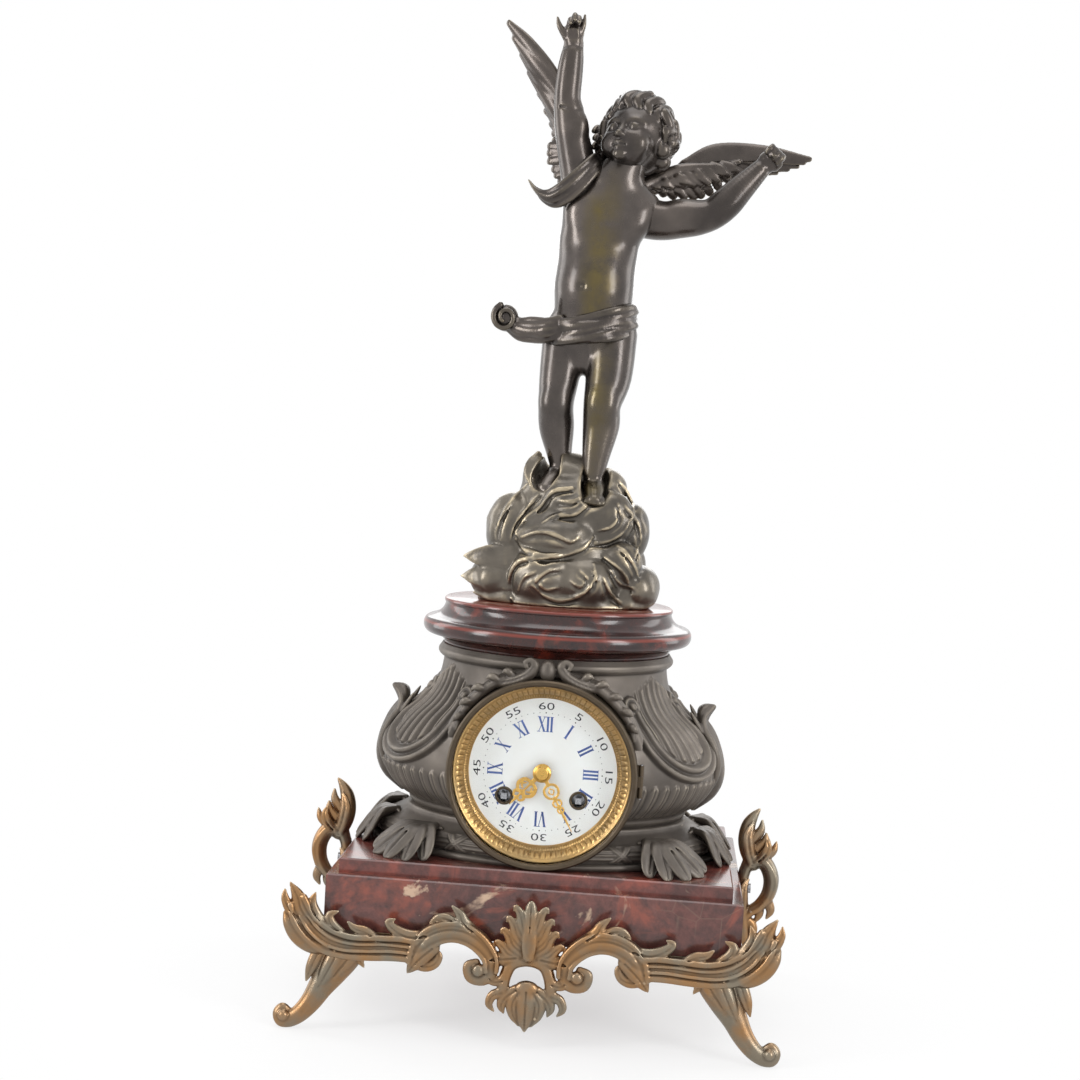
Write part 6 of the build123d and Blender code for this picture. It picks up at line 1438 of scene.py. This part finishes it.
HOUR_STROKES = [
    ([(0, 4), (0, 9)], [1.3, 1.0]),
    ([(0.6, 8), (4.2, 9.5), (5.2, 13.5), (2.6, 16.5), (0.4, 15)], [0.9, 1.1, 1.1, 0.9, 0.7]),
    ([(2.2, 10.5), (3.4, 12.5), (1.6, 14)], [0.6, 0.7, 0.5]),
    ([(0.4, 16), (3.4, 18), (2.2, 20.5), (0.4, 20)], [0.9, 0.9, 0.7, 0.5]),
    ([(0, 8), (0, 21)], [0.55, 0.6]),
    ([(0, 20), (0, 26)], [1.0, 0.25]),
]
MINUTE_STROKES = [
    ([(0, 4), (0, 7.5)], [1.2, 0.9]),
    ([(0, 7), (3.0, 8.6), (4.0, 11.5), (2.8, 14.4), (0, 16)], [0.7, 0.8, 0.8, 0.8, 0.7]),
    ([(0, 9.5), (1.5, 11.5), (0, 13.5)], [0.4, 0.5, 0.4]),
    ([(0.3, 16.5), (2.2, 18), (2.0, 20.2), (0.3, 20.8)], [0.6, 0.7, 0.6, 0.5]),
    ([(0.2, 21), (1.6, 22.6), (1.2, 24.6), (0.2, 25)], [0.5, 0.6, 0.5, 0.4]),
    ([(0, 15), (0, 28)], [0.55, 0.6]),
    ([(0, 27), (0, 37)], [0.8, 0.22]),
]


def ring_strokes(clay, radius, size):
    """A flat ring round the arbor, pressed onto a hand."""
    turns = np.linspace(0, 2 * math.pi, 17)
    ring = [(radius * math.cos(t), radius * math.sin(t)) for t in turns]
    clay.rope(upright(ring), size, 0.3, (0, 1, 0), 0.6, steps=2)


for name, strokes, angle, node, body, collar in (
    ("hour_pointer", HOUR_STROKES, 222.5, "hour_hand", "hour_train", 3.9),
    ("minute_pointer", MINUTE_STROKES, 150.0, "minute_hand", "minute_train", 3.0),
):
    low, high = node_box(node)
    clay = hand_shape(strokes, (-7, -6), (7, 38))
    ring_strokes(clay, collar, 0.9)
    shape = on_arbor(clay.skin(), angle, (low[1] + high[1]) / 2, 0.4)
    piece(name, shape, FINE_GILT, body, (node,))
nut_low, nut_high = node_box("hand_nut")
NUT_EDGE = (5.0, 0), (5.0, 0.5), (4.3, 1.0), (3.9, 1.3), (3.1, 2.0)
nut = [(radius, nut_high[1] - front) for radius, front in NUT_EDGE]
nut = curve(nut + [(1.6, nut_low[1] + 0.05), (0.05, nut_low[1])], 6)
boss = turned(nut, about_dial, 72, closed=False)
piece("hand_boss", boss, FINE_GILT, "minute_train", ("hand_nut",))


# Gilt mounts

APRON_Y = -89.0
MOUNT_FRONT, APRON_BACK = -93.9, -83.8
LEG_FOOT, LEG_TOP, LEG_SIDE = 0.01, 55.95, 141.3
SCROLL_SIDE, SCROLL_SHELF = 141.2, 94.0
MARBLE_SIDE = 116.05
FRONT = (0, -1, 0)
ACROSS = (0, 1, 0)

APRON_ROLLS = [
    ([(58, 54), (70, 55.6), (84, 55.2), (97, 54.6), (107, 56.6), (115.5, 61), (121.5, 67.5), (126, 75)],
     1.9, 2.6),
    ([(60, 44.4), (74, 44.8), (90, 43.8), (104, 43.8), (115, 46.2), (124.5, 52.5), (131, 61), (133.5, 70)],
     1.9, 2.4),
    ([(62, 48), (76, 48.4), (90, 47.4), (103, 47.2), (113.5, 50), (122, 56.2), (127.6, 64)], 1.0, 3.2),
]
C_SCROLL = [
    (63, 42.5), (60.5, 51), (54.5, 58), (45, 61.8), (35.5, 61.2), (27.2, 56.4), (21.2, 49), (20.2, 41.6),
    (24.4, 36.4), (31.2, 37), (33.2, 43), (28.6, 45.6),
]
APRON_LEAVES = [
    ([(121, 60), (127, 68), (129.6, 75), (134.2, 82)], [3.2, 4.4, 3.6, 0.9], 1.2),
    ([(112, 58), (119, 65), (121.6, 71.5), (120, 77.5)], [2.6, 3.6, 2.8, 0.8], 1.0),
    ([(126, 61), (133, 66.5), (136.8, 73), (137.2, 78.5)], [2.6, 3.2, 2.4, 0.7], 1.0),
    ([(104, 56), (110, 60.5), (111.4, 65.5), (107, 68)], [2.6, 3.2, 2.4, 0.8], 1.0),
    ([(57, 58.4), (66, 57.2), (73.5, 59.6), (78.6, 64), (75.2, 66)], [3.2, 3.8, 3.4, 2.2, 0.9], 1.0),
    ([(84, 54), (91, 58), (97, 59.4), (101, 62.6)], [2.4, 3.0, 2.4, 0.8], 1.2),
    ([(31.5, 63), (37, 67.4), (39, 71.6), (43.6, 76)], [3.2, 3.8, 2.8, 0.8], 1.2),
    ([(40, 66), (46.5, 69), (51.5, 68.6), (55.4, 65.6)], [2.4, 2.8, 2.2, 0.8], 1.0),
    ([(53, 52), (59, 46.6), (63.4, 41.4), (66.4, 37)], [4.0, 4.8, 3.4, 0.8], 1.6),
    ([(62, 42), (56.5, 41), (51.6, 43), (49.4, 47.6), (52.4, 51)], [3.2, 3.2, 2.8, 2.0, 0.9], 0.4),
    ([(1.6, 62), (4.2, 69), (5.6, 74.6), (8.4, 78.4), (9.6, 76.6)], [2.8, 3.4, 2.7, 1.6, 0.8], 2.0),
    ([(2.4, 57), (6.8, 63), (8.8, 68.4), (11.8, 72), (13.2, 70)], [3.0, 3.6, 2.9, 1.7, 0.8], 1.5),
    ([(3.4, 53), (8.8, 57.4), (11.2, 62), (14.6, 65), (16, 63)], [3.2, 3.8, 3.0, 1.8, 0.8], 1.0),
    ([(5, 50), (11, 52), (14.4, 55.4), (18, 57.6), (19.2, 55.4)], [3.2, 3.8, 3.0, 1.8, 0.8], 0.5),
    ([(7, 50), (14.6, 48.8), (21, 48)], [4.2, 4.2, 3.6], 0.0),
    ([(13.6, 36.4), (18.8, 35.6), (22.4, 38.2), (24.6, 35.2)], [2.8, 2.6, 2.0, 0.8], 0.4),
    ([(13.4, 30), (18.6, 27.8), (20.4, 22.8), (17.6, 19)], [3.0, 2.8, 2.2, 0.8], 0.6),
    ([(3.4, 32), (7.2, 25.4), (6.8, 18.6), (3.4, 12.2)], [3.0, 3.7, 2.9, 0.8], 1.2),
    ([(6, 32), (11.4, 27.6), (13.6, 22.8), (12.2, 18.4)], [3.0, 3.4, 2.6, 0.8], 0.6),
]
APRON_MIDDLE = [
    ([(0, 52), (0, 61), (0, 71), (0, 78)], [4.2, 5.0, 4.4, 3.4], 2.0),
    ([(0, 52), (0, 57), (0, 63), (0, 68.4)], [3.0, 4.2, 3.4, 0.9], 3.2),
    ([(0, 76), (0, 79.4), (0, 80.6)], [2.6, 2.4, 2.2], 2.2),
    ([(0, 32), (0, 25), (0, 17), (0, 9.8)], [5.0, 5.6, 4.4, 1.1], 1.6),
]


def apron():
    """Scrolled apron: banded arms, broad C-scrolls, a palmette, a pierced ring and a leafy husk."""
    clay = Clay((-143, -95.2, 6.5), (143, -82.2, 86), 0.6)

    def lay(points, side=1, forward=0.0):
        return [(side * x, APRON_Y - forward, z) for x, z in points]

    ring = [
        (-12.6, 24), (-13.2, 32), (-12, 40), (-8.4, 46.4), (0, 48.8), (8.4, 46.4), (12, 40), (13.2, 32),
        (12.6, 24),
    ]
    clay.rope(lay(ring), [2.2, 3.2, 3.4, 3.5, 3.6, 3.5, 3.4, 3.2, 2.2], 0.8, FRONT, 0.8)
    clay.ball((0, APRON_Y - 1.4, 33.2), (6.8, 3.4, 4.6), 0.6)
    for side in (-1, 1):
        arm = [
            (58, 49), (70, 50), (84, 49.6), (98, 49.2), (110, 51.5), (119.5, 56.5), (126, 64), (130, 72),
            (133, 79.8),
        ]
        clay.rope(lay(arm, side), [6.4, 6.8, 6.8, 6.8, 7.2, 6.8, 5.6, 3.6, 1.2], 1.0, FRONT, 0.45)
        for points, size, forward in APRON_ROLLS:
            clay.rope(lay(points, side, forward), size, 0.5)
        for bead in curve([(64, 51.6), (80, 52), (95, 51), (106.5, 52.4), (116, 57.2), (123, 64.4)], 11):
            clay.ball((side * bead[0], APRON_Y - 3.0, bead[1]), 1.1, 0.2)
        curl = [(112, 47), (121, 47.5), (128.5, 52), (133.4, 58.6), (136.6, 65)]
        clay.rope(lay(curl, side, 0.6), [3.6, 4.2, 4.4, 3.8, 1.2], 0.7, FRONT, 0.8)
        clay.rope(
            lay(C_SCROLL, side, 0.4), [4.2, 5.8, 6.4, 6.6, 6.4, 5.8, 4.8, 4.1, 3.7, 3.3, 2.8, 2.2], 0.7,
            FRONT, 0.62,
        )
        path = curve(C_SCROLL[:8], 4)
        ahead = np.gradient(path, axis=0)
        out = np.stack([ahead[:, 1], -ahead[:, 0]], 1) / np.linalg.norm(ahead, axis=1)[:, None]
        swell = np.interp(np.arange(len(path)), [0, 8, 16, 28], [0.6, 1.0, 1.0, 0.6])[:, None]
        clay.rope(lay(path + 4.9 * swell * out, side, 3.0), 1.5, 0.5, steps=1)
        clay.rope(lay(path - 4.6 * swell * out, side, 2.8), 1.4, 0.5, steps=1)
        clay.rope(lay(path + 1.6 * swell * out, side, 4.6), 1.0, 0.7, carve=True, steps=1)
        clay.ball((side * 27.2, APRON_Y - 1.6, 41.6), (3.8, 3.4, 3.8), 0.5)
        for points, radii, forward in APRON_LEAVES:
            clay.leaf(lay(points, side, forward), radii, FRONT)
    for points, radii, forward in APRON_MIDDLE:
        clay.leaf(lay(points, 1, forward), radii, FRONT)
    clay.face_off(1, MOUNT_FRONT, -1)
    clay.face_off(1, APRON_BACK, 1)
    return clay.skin()


piece("gilt_apron", apron(), GILT, replaces=("front_apron",))


def leg_shape(front):
    """The scrolled leg at the front right, with pad and knee leaves; a rear leg has two more leaves."""
    clay = Clay((66, -95.2, -1.2), (142.6, -60, 58.0), 0.6)
    shank = [
        (101, -80, 52), (104, -83, 43.5), (109, -84.8, 34), (114.8, -86.2, 24.5), (119.6, -87.2, 16),
        (125, -87.8, 9.2), (130.4, -88, 5.2), (135.4, -88, 4.3), (137.6, -88, 7.8), (135.6, -88, 10.8),
        (132.4, -88, 9.4),
    ]
    clay.rope(shank, [12.0, 11.2, 9.2, 7.2, 6.0, 5.2, 4.7, 4.4, 3.4, 2.8, 2.2], 0.9, ACROSS, 0.8)
    clay.ball((134.6, -89.4, 7.4), (3.4, 4.0, 3.4), 0.5)
    for shift in (-3.2, 0.4):
        groove = [(106, -93.2, 42), (112.5, -93.6, 29), (118, -93.4, 18), (124, -92.8, 10.4)]
        clay.rope([(x + shift, y, z) for x, y, z in groove], 0.8, 0.8, carve=True)
    for points, radii in (
        ([(94, -84, 54), (97, -87.6, 47), (102, -89.6, 39), (108, -90.6, 31)], [3.6, 4.4, 3.6, 0.9]),
        ([(104, -86, 54), (106.5, -89.6, 44), (111, -90.8, 34), (115.6, -91.2, 25)], [4.0, 5.0, 4.2, 0.9]),
        ([(115, -84, 52), (117.4, -87.4, 43), (120.6, -88.6, 35), (123, -88.8, 27.4)], [3.4, 4.0, 3.2, 0.8]),
        ([(88, -82, 52.5), (91, -85.4, 47), (93.6, -86.4, 41), (91.4, -86, 36.4)], [2.6, 3.2, 2.4, 0.7]),
    ):
        clay.leaf(points, radii, FRONT, 0.6)
    if not front:
        clay.leaf([(100, -84, 46), (94, -86, 51), (86, -84.6, 53)], [4.2, 4.4, 1.0], FRONT, 0.6)
        clay.leaf([(110, -85, 46), (117, -86.4, 51), (124, -84.6, 53)], [4.2, 4.4, 1.0], FRONT, 0.6)
    pad_middle, pad_half = np.array((92, -73, 53.9), np.float32), np.array((23.5, 9.6, 1.9), np.float32)

    def pad(place):
        return np.max(np.abs(place - pad_middle) - pad_half, -1)

    clay.press((68, -83, 52), (116, -63, 56), pad, 0.6, False)
    clay.face_off(1, MOUNT_FRONT, -1)
    clay.face_off(0, LEG_SIDE, 1)
    clay.face_off(2, LEG_FOOT, -1)
    clay.face_off(2, LEG_TOP, 1)
    return clay.skin()


front_leg = leg_shape(True)
rear_leg = leg_shape(False)
for name, shape, signs in (
    ("front_right_leg", front_leg, (1, 1, 1)),
    ("front_left_leg", front_leg, (-1, 1, 1)),
    ("rear_right_leg", rear_leg, (1, -1, 1)),
    ("rear_left_leg", rear_leg, (-1, -1, 1)),
):
    piece(f"gilt_{name}", mirrored(shape, signs), GILT, replaces=(name,))


def side_scroll():
    """Side ornament on the right: a stem, an open loop and a flame-like leaf crest."""
    clay = Clay((112, -11, 36), (142.6, 11, 126.5), 0.55)
    stem = [(123, 41.5), (121.4, 52), (120, 64), (119.4, 76), (119.6, 86)]
    clay.rope(upright(stem), [1.8, 3.4, 3.6, 3.2, 3.2], 0.8, ACROSS, 1.15)
    loop = [
        (119.6, 84), (122, 91), (127.4, 93.6), (132.6, 90.4), (135.8, 82.5), (134.8, 73.6), (130.2, 66.4),
        (124.6, 62.0), (121.6, 58),
    ]
    clay.rope(upright(loop), [3.2, 3.8, 4.4, 4.6, 4.6, 4.2, 3.6, 3.2, 2.6], 0.8, ACROSS, 1.2)
    crest_spine = [(124.5, 91), (121.2, 99), (119.6, 106), (120.4, 113.4), (123.0, 119), (126.4, 123.6)]
    clay.rope(upright(crest_spine), [4.6, 5.2, 4.8, 4.2, 2.8, 0.9], 0.7, ACROSS, 0.85)
    for points, radii in (
        ([(122, 96), (126.6, 99.6), (130.6, 104), (131.4, 109.4)], [3.6, 3.6, 2.8, 0.8]),
        ([(120.6, 103), (125, 107), (128, 111.6), (128.4, 117)], [3.4, 3.2, 2.4, 0.8]),
        ([(126, 94), (131.6, 96), (136, 99.4), (137.6, 104.6)], [3.4, 3.2, 2.4, 0.8]),
        ([(134, 70), (136.6, 63.6), (134.6, 58.4)], [3.2, 2.6, 0.8]),
        ([(130, 67), (130.2, 60.6), (127.4, 55.4)], [2.8, 2.4, 0.8]),
        ([(121, 58), (126, 54.6), (127.4, 49.2), (125.2, 45)], [2.6, 2.8, 2.2, 0.7]),
    ):
        clay.rope(upright(points), radii, 0.5, ACROSS, 0.9)
    for side in (-1, 1):
        out, flip = (0.25, side, 0), (1, side, 1)
        flame = [(124, 3.6, 92), (121, 5, 101), (120.2, 5.2, 109), (123, 3.6, 116)]
        clay.leaf(signed(flame, flip), [3.0, 4.0, 3.2, 0.8], out, 0.5)
        small_flame = [(127, 3, 93), (131, 5, 98), (132.4, 5.4, 103), (131, 5, 107.4)]
        clay.leaf(signed(small_flame, flip), [2.8, 3.2, 2.4, 0.8], out, 0.5)
        rim = [(122.6, 3.6, 94), (129, 4, 95.4), (136, 4, 88.6), (138.6, 4, 80.6), (136.6, 3.6, 71.4)]
        clay.rope(signed(rim, flip), 1.1, 0.5)
        groove = [(124, 5.0, 90.4), (129.4, 5.2, 89.6), (132.4, 5.2, 82.6), (131.4, 4.8, 75)]
        clay.rope(signed(groove, flip), 0.8, 0.6, carve=True)
        stem_leaf = [(119.8, 3, 62), (119.6, 4.6, 70), (119.8, 4.4, 77), (122.4, 3.4, 82)]
        clay.leaf(signed(stem_leaf, flip), [2.4, 3.2, 2.6, 0.8], out, 0.5)
    clay.face_off(0, SCROLL_SIDE, 1)

    def marble_side(place):
        """The room that the marble block takes beside the ornament."""
        return np.maximum(place[..., 0] - MARBLE_SIDE, place[..., 2] - SCROLL_SHELF)

    clay.press((110, -12, 36), (116.2, 12, 95), marble_side, 0.05, True)
    return clay.skin()


scroll = side_scroll()
piece("gilt_right_scroll", scroll, GILT, replaces=("right_side_scroll",))
piece("gilt_left_scroll", mirrored(scroll, (-1, 1, 1)), GILT, replaces=("left_side_scroll",))


# Studio: camera at the photograph's angle, pale floor and soft lights

CAMERA_AT = np.array((58.54, -1048.06, 340.89)) * MM
YAW, PITCH, ROLL = math.radians(-3.93), math.radians(-3.59), math.radians(3.39)
forward = np.array((math.sin(YAW) * math.cos(PITCH), math.cos(YAW) * math.cos(PITCH), math.sin(PITCH)))
level_right = np.array((math.cos(YAW), -math.sin(YAW), 0.0))
level_up = np.cross(level_right, forward)
right = math.cos(ROLL) * level_right + math.sin(ROLL) * level_up
up = -math.sin(ROLL) * level_right + math.cos(ROLL) * level_up
camera_data = bpy.data.cameras.new("camera")
camera_data.lens = 59.17
camera_data.sensor_width = 36.0
camera = bpy.data.objects.new("camera", camera_data)
stance = np.vstack([np.column_stack([right, up, -forward, CAMERA_AT]), [0, 0, 0, 1]])
camera.matrix_world = Matrix([[*row] for row in stance])
bpy.context.scene.collection.objects.link(camera)
bpy.context.scene.camera = camera


def seen_white(tree):
    """One where a ray comes from the camera, a gloss or a glass."""
    path = tree.nodes.new("ShaderNodeLightPath")
    seen = path.outputs["Is Camera Ray"]
    for kind in ("Is Glossy Ray", "Is Transmission Ray"):
        either = tree.nodes.new("ShaderNodeMath")
        either.operation = "MAXIMUM"
        tree.links.new(seen, either.inputs[0])
        tree.links.new(path.outputs[kind], either.inputs[1])
        seen = either.outputs[0]
    return seen


def floor_material():
    """Pale floor that keeps the object's shadow and turns into the white background further out."""
    look = Look("pale_floor", Roughness=0.9, Specular_IOR_Level=0.1)
    look.drive("Base Color", look.mix(look.noise(3.0, 2.0), (0.90, 0.90, 0.90), (0.92, 0.92, 0.92)))
    away = look.node("ShaderNodeVectorMath", {"operation": "LENGTH"}, i0=look.place).outputs["Value"]
    share = look.times(seen_white(look.tree), look.spread(away, 0.04, 0.30, 0.55, 1.0))
    white = look.node("ShaderNodeEmission", Color=(1.0, 1.0, 1.0, 1.0), Strength=1.0).outputs[0]
    mixed = look.node("ShaderNodeMixShader", i0=share, i1=look.shader.outputs[0], i2=white).outputs[0]
    look.tree.links.new(mixed, look.tree.nodes["Material Output"].inputs["Surface"])
    return look.material


FLOOR_REACH = 6000
corners = [(sx * FLOOR_REACH, sy * FLOOR_REACH, 0) for sx, sy in ((-1, -1), (1, -1), (1, 1), (-1, 1))]
floor = build_mesh("floor", corners, [[0, 1, 2, 3]])
floor.data.materials.append(floor_material())


def softbox(name, at, target, size, power):
    """A rectangular soft light aimed at a point, in metres and watts."""
    lamp = bpy.data.lights.new(name, "AREA")
    lamp.shape = "RECTANGLE"
    lamp.size, lamp.size_y = size
    lamp.energy = power
    item = bpy.data.objects.new(name, lamp)
    item.location = at
    item.rotation_mode = "QUATERNION"
    item.rotation_quaternion = (Vector(target) - Vector(at)).to_track_quat("-Z", "Y")
    bpy.context.scene.collection.objects.link(item)


MIDDLE = (0, 0, 0.28)
softbox("key_left", (-1.22, -0.72, 0.62), MIDDLE, (0.34, 1.05), 9.0)
softbox("key_right", (1.10, -0.86, 0.62), MIDDLE, (0.36, 1.05), 9.0)
softbox("top", (0, -0.1, 1.9), MIDDLE, (1.1, 1.1), 9.0)
softbox("rim_left", (-1.3, 0.5, 0.6), MIDDLE, (0.5, 1.2), 5.0)
softbox("rim_right", (1.3, 0.5, 0.6), MIDDLE, (0.5, 1.2), 5.0)
softbox("back", (0, 1.5, 0.9), MIDDLE, (1.4, 0.8), 7.0)

world = bpy.data.worlds.new("studio")
world.use_nodes = True
bpy.context.scene.world = world
background = world.node_tree.nodes["Background"]
backdrop = world.node_tree.nodes.new("ShaderNodeMix")
backdrop.data_type = "RGBA"
backdrop.inputs[6].default_value = (0.46, 0.465, 0.475, 1.0)
backdrop.inputs[7].default_value = (1.0, 1.0, 1.0, 1.0)
world.node_tree.links.new(seen_white(world.node_tree), backdrop.inputs[0])
world.node_tree.links.new(backdrop.outputs[2], background.inputs["Color"])
bpy.context.scene.view_settings.view_transform = "Standard"
